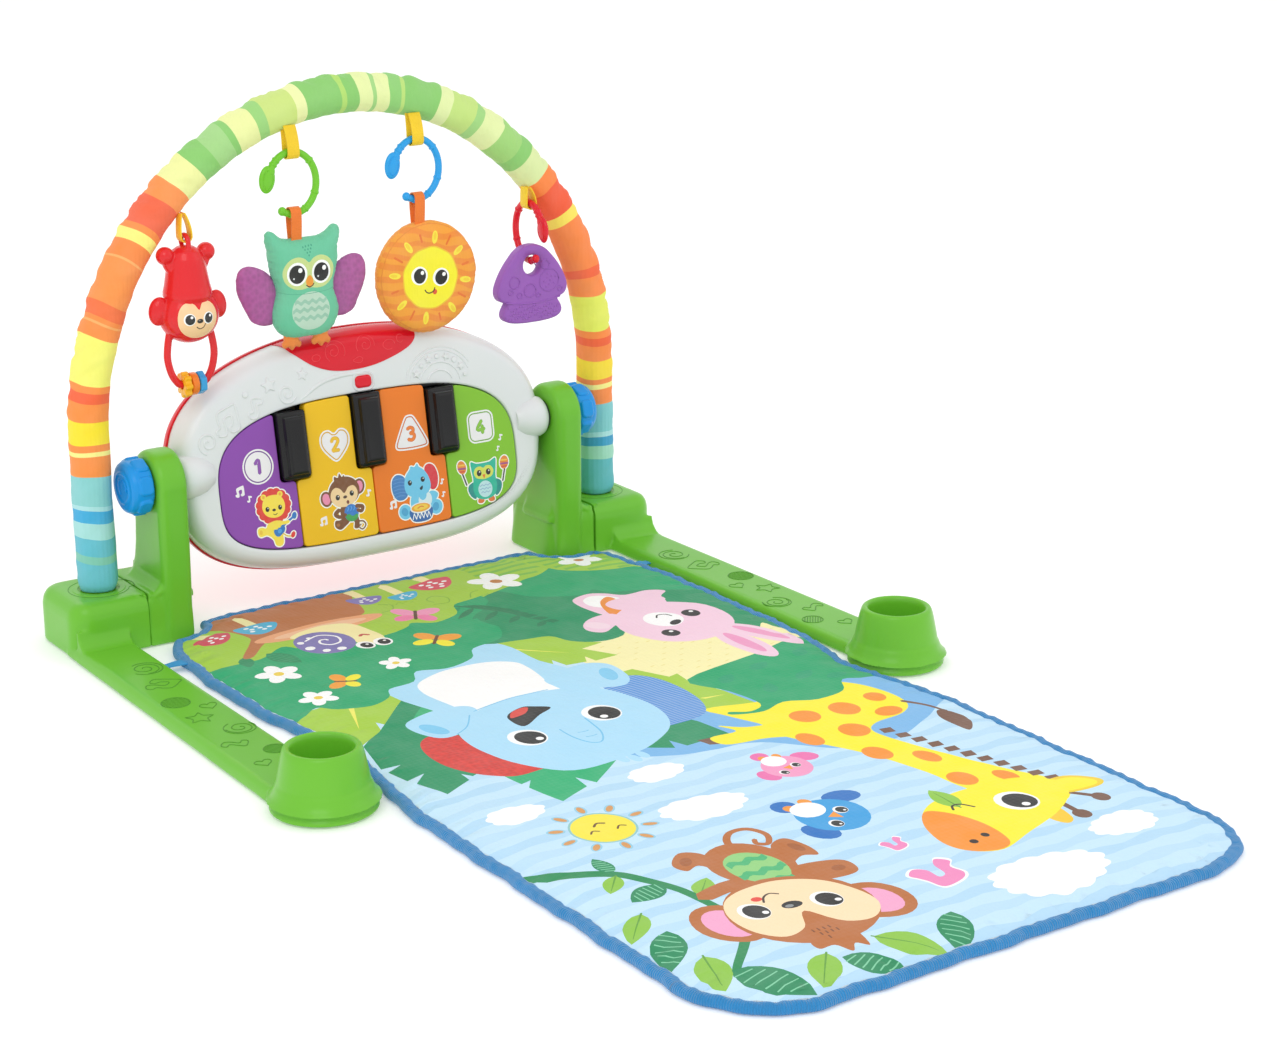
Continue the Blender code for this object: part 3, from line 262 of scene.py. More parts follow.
def woven(name, code, weave=1500.0, thread=0.00025, rough=0.8, along=None, ribs=None, sheen=0.1, depth=0.12):
    """Plain woven cloth. `ribs` is the pitch of a ribbed weave counted along the 'along' attribute."""
    cloth = Shader(name)
    colour = linear(code)
    patchy = cloth.noise(60.0, 4.0)
    shade = cloth.mixed(patchy, toned(colour, 1 - depth), toned(colour, 1 + depth))
    warp = cloth.node("ShaderNodeTexWave", {"Vector": cloth.place, "Scale": weave / 20}).outputs["Fac"]
    weft = cloth.node("ShaderNodeTexWave", {"Vector": cloth.place, "Scale": weave / 20},
                      bands_direction="Z").outputs["Fac"]
    threads = cloth.math("ADD", warp, weft)
    folds = cloth.bump(cloth.noise(120.0, 3.0), 0.0006, 0.5)
    if ribs:
        run = attribute(cloth, along or "along").outputs["Fac"]
        wave = cloth.math("SINE", cloth.math("MULTIPLY", run, 2 * math.pi / ribs))
        shade = cloth.mixed(cloth.ranged(wave, -0.1, 0.35), shade, toned(colour, 0.72))
        folds = cloth.bump(wave, 0.0005, 0.6, folds)
    cloth.set(Base_Color=shade, Roughness=rough, Normal=cloth.bump(threads, thread, 0.5, folds))
    cloth.bsdf.inputs["Sheen Weight"].default_value = sheen
    cloth.bsdf.inputs["Sheen Roughness"].default_value = 0.5
    return cloth.made


# ---- outlines: closed (n, 2) arrays, counter-clockwise ---------------------------------------
def arc(centre, radius, start, end, steps):
    """Points on a circle or an ellipse from start to end, in degrees."""
    angles = np.radians(np.linspace(start, end, steps + 1))
    radius = np.broadcast_to(radius, 2)
    return np.stack([centre[0] + radius[0] * np.cos(angles), centre[1] + radius[1] * np.sin(angles)], 1)


def rounded_rect(u0, u1, v0, v1, radii, steps=8):
    radii = np.broadcast_to(radii, 4)
    corners = ((u0, v0, 180), (u1, v0, 270), (u1, v1, 0), (u0, v1, 90))
    parts = []
    for (u, v, start), radius in zip(corners, radii):
        centre = (u + radius if u == u0 else u - radius, v + radius if v == v0 else v - radius)
        parts.append(arc(centre, radius, start, start + 90, steps))
    return np.concatenate(parts)


def even(outline, steps, closed=True):
    """The outline walked again in equal steps."""
    line = np.asarray(outline, float)
    if closed:
        line = np.concatenate([line, line[:1]])
    run = np.concatenate([[0.0], np.cumsum(np.linalg.norm(np.diff(line, axis=0), axis=1))])
    want = np.linspace(0.0, run[-1], steps + 1)[:-1] if closed else np.linspace(0.0, run[-1], steps)
    return np.stack([np.interp(want, run, line[:, k]) for k in range(line.shape[1])], 1)


def grown(outline, by):
    """The outline moved outwards along its corners' normals."""
    line = np.asarray(outline, float)
    along = np.roll(line, -1, 0) - np.roll(line, 1, 0)
    along /= np.linalg.norm(along, axis=1, keepdims=True) + 1e-12
    by = np.asarray(by)
    return line + (by[:, None] if by.ndim else by) * np.stack([along[:, 1], -along[:, 0]], 1)


def spline(points, per=6, closed=True):
    """A smooth curve through the points, in any dimension."""
    pts = np.asarray(points, float)
    count = len(pts)
    spans = count if closed else count - 1
    out = []
    for i in range(spans):
        if closed:
            p0, p1, p2, p3 = (pts[(i + k) % count] for k in (-1, 0, 1, 2))
        else:
            p0, p1, p2, p3 = (pts[min(max(i + k, 0), count - 1)] for k in (-1, 0, 1, 2))
        t = np.arange(per)[:, None] / per
        out.append(0.5 * (2 * p1 + (p2 - p0) * t + (2 * p0 - 5 * p1 + 4 * p2 - p3) * t ** 2
                          + (3 * p1 - p0 - 3 * p2 + p3) * t ** 3))
    if not closed:
        out.append(pts[-1:])
    return np.concatenate(out)


def inside(outline, points):
    """Which points lie in the closed outline."""
    a = np.asarray(outline, float)
    b = np.roll(a, -1, 0)
    low, high = a.min(0), a.max(0)
    near = np.all((points >= low) & (points <= high), axis=1)
    found = np.zeros(len(points), bool)
    x, y = points[near, 0][:, None], points[near, 1][:, None]
    crosses = (a[:, 1] > y) != (b[:, 1] > y)
    with np.errstate(divide="ignore", invalid="ignore"):
        at = (b[:, 0] - a[:, 0]) * (y - a[:, 1]) / (b[:, 1] - a[:, 1]) + a[:, 0]
    found[near] = (np.sum(crosses & (x < at), axis=1) % 2).astype(bool)
    return found


def edge_distance(outline, points):
    """Distance from each point to the closed outline, and how far along it the nearest place is."""
    a = np.asarray(outline, float)
    b = np.roll(a, -1, 0)
    side = b - a
    size = np.maximum((side ** 2).sum(1), 1e-18)
    run = np.concatenate([[0.0], np.cumsum(np.sqrt(size))[:-1]])
    best, where = np.full(len(points), 1e9), np.zeros(len(points))
    for i in range(len(a)):
        share = np.clip(((points - a[i]) @ side[i]) / size[i], 0.0, 1.0)
        away = np.linalg.norm(points - (a[i] + share[:, None] * side[i]), axis=1)
        closer = away < best
        best[closer] = away[closer]
        where[closer] = run[i] + share[closer] * math.sqrt(size[i])
    return best, where


# ---- meshes: (vertices, faces) pairs ----------------------------------------------------------
def flat(points, h):
    return np.column_stack([points[:, 0], points[:, 1], np.broadcast_to(h, len(points))])


def upright(points, h):
    """Outline in XZ, height along +Y."""
    return np.column_stack([points[:, 0], np.broadcast_to(h, len(points)), points[:, 1]])


def sideways(points, h):
    """Outline in YZ, height along +X."""
    return np.column_stack([np.broadcast_to(h, len(points)), points[:, 0], points[:, 1]])


def lofted(rings, closed=False, caps=(True, True), wrap=True):
    """Quads from ring to ring; the ends are capped, or the last ring joins the first."""
    rows, count = len(rings), len(rings[0])
    verts = np.concatenate([np.asarray(r, float) for r in rings])
    faces = []
    for row in range(rows if closed else rows - 1):
        low, high = row * count, ((row + 1) % rows) * count
        for i in range(count if wrap else count - 1):
            j = (i + 1) % count
            faces.append((low + i, low + j, high + j, high + i))
    if not closed:
        if caps[0]:
            faces.append(tuple(range(count))[::-1])
        if caps[1]:
            faces.append(tuple(range((rows - 1) * count, rows * count)))
    return verts, faces


def levelled(outline, levels, place=flat):
    """A solid whose outline grows or shrinks from level to level: (growth, height) pairs."""
    return lofted([place(grown(outline, by), height) for by, height in levels])


def turned(profile, centre, place=flat, steps=48, closed=False):
    """A profile of (radius, height) turned about an axis through centre."""
    return lofted([place(arc(centre, r, 0, 360 - 360 / steps, steps - 1), h) for r, h in profile], closed)


def tube(path, radius, sides=10, side=None, caps=(True, True)):
    """A round bar along a path of 3-D points; the radius may differ from point to point."""
    path = np.asarray(path, float)
    radius = np.broadcast_to(radius, len(path))
    along = np.gradient(path, axis=0)
    along /= np.linalg.norm(along, axis=1, keepdims=True)
    if side is None:
        spread = np.ptp(path, axis=0)
        side = np.eye(3)[int(np.argmin(spread))]
    rings, turns = [], 2 * np.pi * np.arange(sides) / sides
    for point, ahead, r in zip(path, along, radius):
        u = np.cross(ahead, side)
        u /= np.linalg.norm(u)
        v = np.cross(ahead, u)
        rings.append(point + r * (np.cos(turns)[:, None] * u + np.sin(turns)[:, None] * v))
    return lofted(rings, caps=caps)


def ball(centre, radii, turn=None, rings=14, segments=24):
    bm = bmesh.new()
    bmesh.ops.create_uvsphere(bm, u_segments=segments, v_segments=rings, radius=1.0)
    verts = np.array([v.co for v in bm.verts])
    faces = [tuple(v.index for v in f.verts) for f in bm.faces]
    bm.free()
    verts = verts * np.broadcast_to(radii, 3)
    if turn is not None:
        verts = verts @ np.array(turn.to_3x3()).T
    return verts + np.asarray(centre, float), faces


def merged(parts):
    """Several (vertices, faces) pairs as one."""
    verts, faces, start = [], [], 0
    for v, f in parts:
        verts.append(np.asarray(v, float))
        faces += [tuple(i + start for i in face) for face in f]
        start += len(v)
    return np.concatenate(verts), faces


def mirrored(part, sign):
    """The part, or its mirror image in X when sign is -1."""
    verts, faces = part
    if sign > 0:
        return part
    return np.asarray(verts) * (-1, 1, 1), [tuple(reversed(f)) for f in faces]


def moved(part, matrix):
    """A part carried by a matrix."""
    verts, faces = part
    m = np.array(matrix)
    return np.asarray(verts) @ m[:3, :3].T + m[:3, 3], faces


def mesh_object(name, verts, faces, smooth=True):
    """A new object from vertices and faces, large caps shaded flat."""
    mesh = bpy.data.meshes.new(name)
    mesh.from_pydata([tuple(v) for v in np.asarray(verts, float).tolist()], [], faces)
    mesh.update()
    if smooth:
        mesh.polygons.foreach_set("use_smooth", [len(f) < 9 for f in faces])
    made = bpy.data.objects.new(name, mesh)
    bpy.context.scene.collection.objects.link(made)
    return made


def shut(made, sharp=None):
    """Faces turned outwards, and edges sharper than the angle kept sharp."""
    bm = bmesh.new()
    bm.from_mesh(made.data)
    bmesh.ops.recalc_face_normals(bm, faces=bm.faces)
    bm.to_mesh(made.data)
    bm.free()
    if sharp:
        made.data.set_sharp_from_angle(angle=math.radians(sharp))
    return made


def bake_modifiers(made):
    """The object's modifiers applied to its mesh."""
    graph = bpy.context.evaluated_depsgraph_get()
    mesh = bpy.data.meshes.new_from_object(made.evaluated_get(graph))
    made.modifiers.clear()
    made.data = mesh
    return made


def fused(name, parts, voxel, rounds, again=0):
    """Overlapping solids as one moulded skin, its joints softened by some rounds of smoothing."""
    made = mesh_object(name, *merged(parts))
    shape = made.modifiers.new("skin", "REMESH")
    shape.mode, shape.voxel_size = "VOXEL", voxel
    soft = made.modifiers.new("soft", "SMOOTH")
    soft.factor, soft.iterations = 0.5, rounds
    if again:
        finer = made.modifiers.new("finer", "SUBSURF")
        finer.levels = finer.render_levels = again
    bake_modifiers(made)
    made.data.shade_smooth()
    return made


def piece(made, body, material, replaces=()):
    """Give a finished object its material, its body and the nodes it stands for."""
    if material is not None:
        made.data.materials.clear()
        made.data.materials.append(material)
    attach(made, body)
    if replaces:
        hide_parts(*replaces)
    return made


def solid_piece(name, part, body, material, replaces=(), sharp=40):
    return piece(shut(mesh_object(name, *part), sharp), body, material, replaces)


def bevelled(made, width, segments=2, angle=35):
    step = made.modifiers.new("edges", "BEVEL")
    step.width, step.segments, step.limit_method = width, segments, "ANGLE"
    step.angle_limit = math.radians(angle)
    return bake_modifiers(made)


# ---- shared materials -------------------------------------------------------------------------
GREEN = plastic("leaf_green", "#6fbe32", 0.30, tone=0.04, coat=0.25)
# The darker green of the arm and collar line work is painted shade: it stands in for the shade inside the
# engraved grooves, which are built as thin raised rods.
GROOVE_SHADE_GREEN = plastic("leaf_green_painted_groove_shade", "#4f9427", 0.45)
BLUE = plastic("bright_blue", "#0f93e2", 0.30, coat=0.2)
WHITE = plastic("gloss_white", "#e2e5e7", 0.22, tone=0.015, coat=0.35)
RED = plastic("gloss_red", "#e0142a", 0.20, tone=0.04, coat=0.4)
# A lighter red for raised lines and dots on red parts: a painted highlight, standing in for the light that
# catches the relief.
RED_RELIEF_HIGHLIGHT = plastic("gloss_red_painted_highlight", "#ef4650", 0.22, coat=0.3)
BLACK = plastic("gloss_black", "#141416", 0.13, tone=0.1, coat=0.5)
RUBBER = plastic("dark_rubber", "#3a3b3d", 0.75, peel=0.0003)
STEEL = plastic("zinc_steel", "#b9bcc0", 0.28)
STEEL.node_tree.nodes["Principled BSDF"].inputs["Metallic"].default_value = 1.0
GREY_TUBE = plastic("grey_tube", "#c9cbc8", 0.4)
BOARD = plastic("circuit_laminate", "#1e6b32", 0.45)

# ---- side frames -------------------------------------------------------------------------------
AT_ARCH = Matrix.Translation((0, ARCH_Y, 0))
SEAM_X = 0.2324
SEAM_GAP = 0.0003
TOWER_TOP = 0.0490
ARM_TOP = 0.0120
CUP = (0.2750, -0.4405)
LEG_X = 0.2600
AXIS = (-0.016, 0.140)  # the piano's tilt axis as (y, z), from the arch plane
SOLE = 0.0010


def hollow_corner(corner, radius, steps=8):
    """A solid fillet in the inner corner at (u, v), which opens towards +u and +v."""
    u, v = corner
    sweep = arc((u + radius, v + radius), radius, 270, 180, steps)
    return np.concatenate([[(u - 0.003, v - 0.003), (u + radius, v - 0.003)], sweep,
                           [(u - 0.003, v + radius)]])


def side_frame_parts():
    """The right-hand outer moulding: tower, arm, the sweep between them, and the cup."""
    tower = rounded_rect(SEAM_X - 0.006, 0.3008, -0.042, 0.047, (0.0005, 0.018, 0.022, 0.0005))
    tower_levels = ((-0.0012, SOLE), (0, 0.0025), (0, 0.0350), (-0.0012, 0.0410), (-0.0042, 0.0458),
                    (-0.0085, 0.0482), (-0.0130, TOWER_TOP))
    arm = np.concatenate([[(0.2492, -0.022), (0.2492, -0.4140)], arc(CUP, 0.0375, 186, 354, 16),
                          [(0.3072, -0.4140), (0.3016, -0.022)]])
    arm_levels = ((-0.0012, SOLE), (0.0006, 0.0022), (0.0006, 0.0040), (-0.0003, 0.0052), (-0.0010, 0.0082),
                  (-0.0030, 0.0107), (-0.0060, ARM_TOP))
    base = ((0.0385, SOLE), (0.0412, 0.0022), (0.0415, 0.0040), (0.0396, 0.0058), (0.0378, 0.0100))
    wall = ((0.0366, 0.0160), (0.0349, 0.0260), (0.0328, 0.0370), (0.0313, 0.0440), (0.0300, 0.0484))
    rim = ((0.0288, 0.0504), (0.0270, 0.0511), (0.0254, 0.0506), (0.0243, 0.0490))
    bowl = ((0.0236, 0.0460), (0.0228, 0.0300), (0.0217, 0.0170), (0.0190, 0.0140), (0.0005, 0.0135))
    foot_of_cup = ((0.0440, 0.0100), (0.0402, 0.0130), (0.0380, 0.0170), (0.0366, 0.0210), (0.0300, 0.0215))
    sweep = hollow_corner((0.0, ARM_TOP - 0.0006), 0.016)
    sweep = np.column_stack([-0.0415 - sweep[:, 0], sweep[:, 1]])
    ring = np.column_stack([sweep[:, 0], sweep[:, 1]])
    front_sweep = lofted([sideways(ring, 0.2520), sideways(ring, 0.2990)])
    return [levelled(tower, tower_levels), levelled(arm, arm_levels),
            turned(base + wall + rim + bowl, CUP, steps=96), turned(foot_of_cup, CUP, steps=64), front_sweep]


def post_parts():
    """The right-hand inner moulding: the fin that carries the piano, swept into its half of the tower."""
    head = arc(AXIS, 0.0300, -8, 188, 24)
    front = [(-0.0452, 0.0900), (-0.0448, 0.0600), (-0.0434, 0.0300), (-0.0425, SOLE)]
    rear = [(0.0440, SOLE), (0.0440, 0.0440), (0.0350, 0.0490), (0.0275, 0.0560), (0.0215, 0.0680),
            (0.0180, 0.0820), (0.0160, 0.1000), (0.0148, 0.1200)]
    profile = np.concatenate([rear, head, front])
    thickness = ((-0.0060, 0.1898), (-0.0022, 0.1912), (-0.0004, 0.1942), (0, 0.1975), (0, 0.2105),
                 (-0.0006, 0.2135), (-0.0026, 0.2162), (-0.0064, 0.2175))
    foot = rounded_rect(0.1835, SEAM_X - SEAM_GAP, -0.042, 0.047, (0.020, 0.0012, 0.0012, 0.018))
    foot_levels = ((-0.0010, SOLE), (0, 0.0025), (-0.0010, 0.0120), (-0.0030, 0.0300), (-0.0050, 0.0400),
                   (-0.0075, 0.0458), (-0.0110, TOWER_TOP - 0.0004))
    crown = rounded_rect(0.2000, SEAM_X - SEAM_GAP, -0.0405, 0.0452, (0.006, 0.0006, 0.0006, 0.012))
    crown_levels = ((0, 0.0100), (0, 0.0360), (-0.0004, 0.0420), (-0.0014, 0.0460), (-0.0040, TOWER_TOP))
    corner = hollow_corner((0.0, 0.0), 0.0135)
    outside = np.column_stack([0.2168 + corner[:, 0], TOWER_TOP - 0.0012 + corner[:, 1]])
    out_sweep = lofted([upright(grown(outside, by), y) for by, y in
                        ((-0.0030, -0.0405), (0, -0.0380), (0, 0.0200), (-0.0030, 0.0260))])
    inward = np.column_stack([0.1908 - corner[:, 0] * 0.42, TOWER_TOP - 0.0060 + corner[:, 1] * 2.2])
    in_sweep = lofted([upright(grown(inward[::-1], by), y) for by, y in
                       ((-0.0015, -0.0340), (0, -0.0310), (0, 0.0130), (-0.0015, 0.0170))])
    return [levelled(profile, thickness, sideways), levelled(foot, foot_levels),
            levelled(crown, crown_levels),
            out_sweep, in_sweep]


def swirl(centre, radius, turns=1.6, start=0.0, steps=40):
    """A snail-shell line whose outer end closes on its own rim."""
    t = np.linspace(0.0, 1.0, steps)
    angle = start + 2 * np.pi * turns * t
    size = radius * (0.16 + 0.84 * t ** 0.9)
    return np.stack([centre[0] + size * np.cos(angle), centre[1] + size * np.sin(angle)], 1)


def ring_line(line):
    return np.concatenate([line, line[:1]])


def note_outline(centre, size, lean=0.0, double=False):
    """A music note's outline; a double one has two heads."""
    if double:
        shape = [(-1.0, -0.9), (-0.45, -1.05), (-0.25, -0.6), (-0.30, 0.15), (0.35, 0.30), (0.30, -0.35),
                 (0.0, -0.55), (0.15, -0.95), (0.75, -0.85), (0.85, -0.3), (0.85, 0.95), (0.4, 1.0),
                 (-0.65, 0.75), (-0.80, 0.2), (-0.75, -0.35), (-1.1, -0.5)]
    else:
        shape = [(-0.8, -0.85), (-0.1, -1.0), (0.2, -0.5), (0.2, 0.3), (0.75, 0.25), (0.85, 0.75),
                 (0.1, 1.0), (-0.3, 0.9), (-0.3, -0.3), (-0.85, -0.35)]
    c, s = math.cos(lean), math.sin(lean)
    pts = spline(np.array(shape), 4) * size
    return np.stack([centre[0] + pts[:, 0] * c - pts[:, 1] * s, centre[1] + pts[:, 0] * s + pts[:, 1] * c],
                    1)


def star_outline(centre, radius, lean=0.0, points=5, waist=0.52, soft=3):
    angles = lean + np.pi * np.arange(2 * points) / points + np.pi / 2
    size = np.where(np.arange(2 * points) % 2, radius * waist, radius)
    shape = np.stack([centre[0] + size * np.cos(angles), centre[1] + size * np.sin(angles)], 1)
    return spline(shape, soft)


def heart_outline(centre, size, steps=28):
    t = np.linspace(0, 2 * np.pi, steps, endpoint=False)
    u = 16 * np.sin(t) ** 3
    v = 13 * np.cos(t) - 5 * np.cos(2 * t) - 2 * np.cos(3 * t) - np.cos(4 * t)
    return np.stack([centre[0] + u * size / 17, centre[1] + v * size / 17], 1)[::-1]


def striped_disc(centre, radius, count, lean=0.0):
    """Parallel chords of a circle."""
    lines = [ring_line(arc(centre, radius, 0, 340, 17))]
    for offset in np.linspace(-radius, radius, count + 2)[1:-1]:
        half = math.sqrt(max(radius ** 2 - offset ** 2, 0.0)) * 0.94
        c, s = math.cos(lean), math.sin(lean)
        lines.append(np.array([(centre[0] + a * c - offset * s, centre[1] + a * s + offset * c)
                               for a in np.linspace(-half, half, 5)]))
    return lines


def arm_drawing():
    """The shapes moulded into the right-hand arm's top, as lines (x, y)."""
    lines = [swirl((0.2720, -0.117), 0.0130, 1.7, 0.5), ring_line(arc((0.2712, -0.1172), 0.0142, 60, 330,
                                                                      20))[:-1],
             ring_line(note_outline((0.2745, -0.159), 0.0125, 2.2, True))]
    lines += striped_disc((0.2850, -0.205), 0.0118, 8)
    lines += [ring_line(heart_outline((0.2655, -0.226), 0.0078)),
              ring_line(star_outline((0.2835, -0.247), 0.0118, 0.3)),
              swirl((0.2665, -0.284), 0.0118, 1.7, 2.0), ring_line(arc((0.2668, -0.2842), 0.0129, 150, 430,
                                                                       20))[:-1],
              ring_line(note_outline((0.2850, -0.313), 0.0098, 2.4))]
    lines += striped_disc((0.2640, -0.340), 0.0092, 7, 0.9)
    lines.append(ring_line(heart_outline((0.2845, -0.361), 0.0075)))
    return lines


def raised_lines(lines, place, radius, sides=6):
    """Thin rods half sunk in a surface; `place` turns (u, v) rows into 3-D points."""
    return merged([tube(place(even(np.asarray(line), max(6, len(line)), closed=False)), radius, sides)
                   for line in lines])


def side_frames():
    """Both side frames: outer moulding, post, relief, leg collar."""
    for sign, side in SIDES:
        parts = [moved(mirrored(p, sign), AT_ARCH) for p in side_frame_parts()]
        outer = fused(f"side_frame_{side}", parts, 0.00125, 7)
        trim_inside(outer, sign)
        piece(outer, "base", GREEN, (f"side_base_{side}",))
        parts = [moved(mirrored(p, sign), AT_ARCH) for p in post_parts()]
        inner = fused(f"post_moulding_{side}", parts, 0.0012, 9)
        piece(inner, "base", GREEN, (f"post_{side}",))
        # The arm's line work is drawn in the darker green of painted groove shade.
        lines = raised_lines(arm_drawing(), lambda line: flat(line, ARM_TOP - 0.0001), 0.00055)
        solid_piece(f"arm_shapes_{side}", moved(mirrored(lines, sign), AT_ARCH), "base",
                    GROOVE_SHADE_GREEN)
        profile = ((0.0127, 0.0120), (0.0232, 0.0120), (0.0232, 0.0490), (0.0228, 0.0494), (0.0185, 0.0495),
                   (0.0180, 0.0490), (0.0127, 0.0490))
        collar = turned(profile, (LEG_X, 0), steps=72, closed=True)
        solid_piece(f"leg_collar_{side}", moved(mirrored(collar, sign), AT_ARCH), "base",
                    GREEN,
                    (f"arch_socket_{side}",))
        around = arc((LEG_X, 0), 0.0262, 205, 515, 60)
        notch = np.array([(LEG_X - 0.0238, 0.0112), (LEG_X - 0.0290, 0.0095), (LEG_X - 0.0312, 0.0030),
                          (LEG_X - 0.0312, -0.0030), (LEG_X - 0.0290, -0.0095), (LEG_X - 0.0238, -0.0112)])
        # The collar's lines take the same darker green of painted groove shade.
        lines = raised_lines([around, spline(notch, 6, closed=False)],
                             lambda line: flat(line, TOWER_TOP - 0.0001), 0.0004)
        solid_piece(f"collar_lines_{side}", moved(mirrored(lines, sign), AT_ARCH), "base",
                    GROOVE_SHADE_GREEN)


def trim_inside(made, sign):
    """Cut the outer moulding flat at the seam with the post's moulding."""
    bm = bmesh.new()
    bm.from_mesh(made.data)
    plane = Vector((sign * (SEAM_X + SEAM_GAP), 0, 0))
    cut = bmesh.ops.bisect_plane(bm, geom=bm.verts[:] + bm.edges[:] + bm.faces[:], plane_co=plane,
                                 plane_no=(-sign, 0, 0), clear_outer=True)
    rim = [e for e in cut["geom_cut"] if isinstance(e, bmesh.types.BMEdge)]
    bmesh.ops.holes_fill(bm, edges=rim)
    bm.to_mesh(made.data)
    bm.free()
    made.data.shade_smooth()
    made.data.set_sharp_from_angle(angle=math.radians(60))


# ---- knobs ---------------------------------------------------------------------------------------
def knob_parts():
    """A stubby wheel with seven rounded pads round its rim and a raised ring on its face."""
    wheel = ((0.0205, 0.2182), (0.0226, 0.2190), (0.0236, 0.2206), (0.0238, 0.2300), (0.0232, 0.2345),
             (0.0216, 0.2374), (0.0190, 0.2388), (0.0005, 0.2390))
    parts = [turned(wheel, AXIS, sideways, steps=96)]
    ring = ((0.0120, 0.2386), (0.0126, 0.2398), (0.0138, 0.2400), (0.0146, 0.2386))
    parts.append(turned(ring, AXIS, sideways, steps=72))
    for index in range(7):
        middle = 2 * math.pi * (index + 0.25) / 7
        pad = rounded_rect(-0.0088, 0.0088, -0.0062, 0.0062, 0.0035, 4)
        rings = []
        for by, height in ((0.0, 0.0215), (0.0, 0.0246), (-0.0008, 0.0254), (-0.0022, 0.02575)):
            shape = grown(pad, by)
            angle = middle + shape[:, 0] / 0.0255
            rings.append(np.column_stack([0.2262 + shape[:, 1], AXIS[0] + height * np.cos(angle),
                                          AXIS[1] + height * np.sin(angle)]))
        parts.append(lofted(rings))
    return parts


def knobs():
    """The two tilt knobs and the arrows on them."""
    for sign, side in SIDES:
        parts = [moved(mirrored(p, sign), AT_ARCH) for p in knob_parts()]
        wheel = fused(f"tilt_knob_{side}", parts, 0.0006, 3)
        piece(wheel, f"knob_{side}", BLUE, (f"knob_{side}",))
        arrow = arc(AXIS, 0.0075, -60, 190, 22)
        head = np.array([(-0.0104, 0.0005), (-0.0074, -0.0020), (-0.0046, 0.0008)]) + AXIS
        line = raised_lines([arrow, head], lambda u: sideways(u, 0.23895), 0.0007)
        solid_piece(f"knob_arrow_{side}", moved(mirrored(line, sign), AT_ARCH), f"knob_{side}",
                    BLUE)


side_frames()
knobs()


# ---- arch sleeve -----------------------------------------------------------------------------------
LEG_TOP, ARCH_RISE = 0.1796, 0.2785
SLEEVE_R = 0.0172
# colour bands from the left foot to the right one: (colour, end of the band along the sleeve in mm)
BANDS = (
    ("#62bfd0", 27), ("#7ec8b4", 34), ("#5fbdd0", 49), ("#a5dedc", 63), ("#35abdc", 74), ("#aadfe2", 78),
    ("#88cfcf", 104), ("#fb8f38", 122), ("#fdf08a", 126), ("#fb8f38", 132), ("#fee317", 152),
    ("#fb8f38", 168),
    ("#f4602c", 177), ("#fb8f38", 183), ("#f6f36f", 223), ("#fb8f3c", 234), ("#fdb062", 236),
    ("#fb8f3c", 240),
    ("#f47034", 252), ("#fb9444", 290), ("#fdb062", 292), ("#fb8a3a", 307), ("#fdf07c", 317),
    ("#fb8f3c", 323),
    ("#f2663f", 349), ("#fb944a", 366), ("#f0f3a0", 390), ("#88cb69", 408), ("#a3d685", 428),
    ("#88cb69", 434),
    ("#edf3a4", 456), ("#9ad378", 466), ("#cbe27c", 495), ("#edf3ac", 505), ("#88ca69", 540),
    ("#b2dc6c", 545),
    ("#88ca69", 558), ("#e7f2a8", 572), ("#a0d57e", 576), ("#e7f2a8", 590), ("#8dce70", 602),
    ("#b9de74", 606),
    ("#88ca69", 642), ("#e4f1aa", 656), ("#c3e17c", 681), ("#a0d57e", 690), ("#e4f1aa", 713),
    ("#9fd474", 737),
    ("#88ca69", 750), ("#dcebA6", 774), ("#fb8434", 789), ("#f35524", 818), ("#fbe352", 829),
    ("#f98436", 879),
    ("#f4602c", 888), ("#fb8a3a", 907), ("#e6ec58", 942), ("#fb8a3a", 949), ("#f4602c", 957),
    ("#fb8a3a", 972),
    ("#fbdb17", 990), ("#fb8a3a", 995), ("#fdf08a", 1000), ("#fb8a3a", 1015), ("#7cc9cd", 1043),
    ("#aadfe2", 1048), ("#2b9cc8", 1057), ("#9fdac4", 1070), ("#58b8c4", 1105))


def arch_line(start):
    """The hoop's centre line from the left foot to the right one, and the run to each point."""
    curve = np.linspace(math.pi, 0.0, 500)
    bow = np.stack([LEG_X * np.cos(curve), np.zeros(500), LEG_TOP + ARCH_RISE * np.sin(curve)], 1)
    legs = np.array([(-LEG_X, 0, start), (LEG_X, 0, start)], float)
    line = np.concatenate([legs[:1], bow, legs[1:]])
    run = np.concatenate([[0.0], np.cumsum(np.linalg.norm(np.diff(line, axis=0), axis=1))])
    return line, run


def band_colour(where):
    ends = np.array([end for _, end in BANDS])
    index = np.minimum(np.searchsorted(ends, where * 1000.0), len(BANDS) - 1)
    table = np.array([linear(code.lower()) for code, _ in BANDS])
    return table[index]


def paint_faces(made, colours, alphas=None):
    """Give each face its colour in the 'paint' attribute."""
    mesh = made.data
    layer = mesh.color_attributes.new("paint", "FLOAT_COLOR", "CORNER")
    counts = np.array([p.loop_total for p in mesh.polygons])
    alphas = np.ones(len(colours)) if alphas is None else np.asarray(alphas)
    values = np.repeat(np.column_stack([colours, alphas]), counts, axis=0)
    layer.data.foreach_set("color", values.astype(np.float32).ravel())


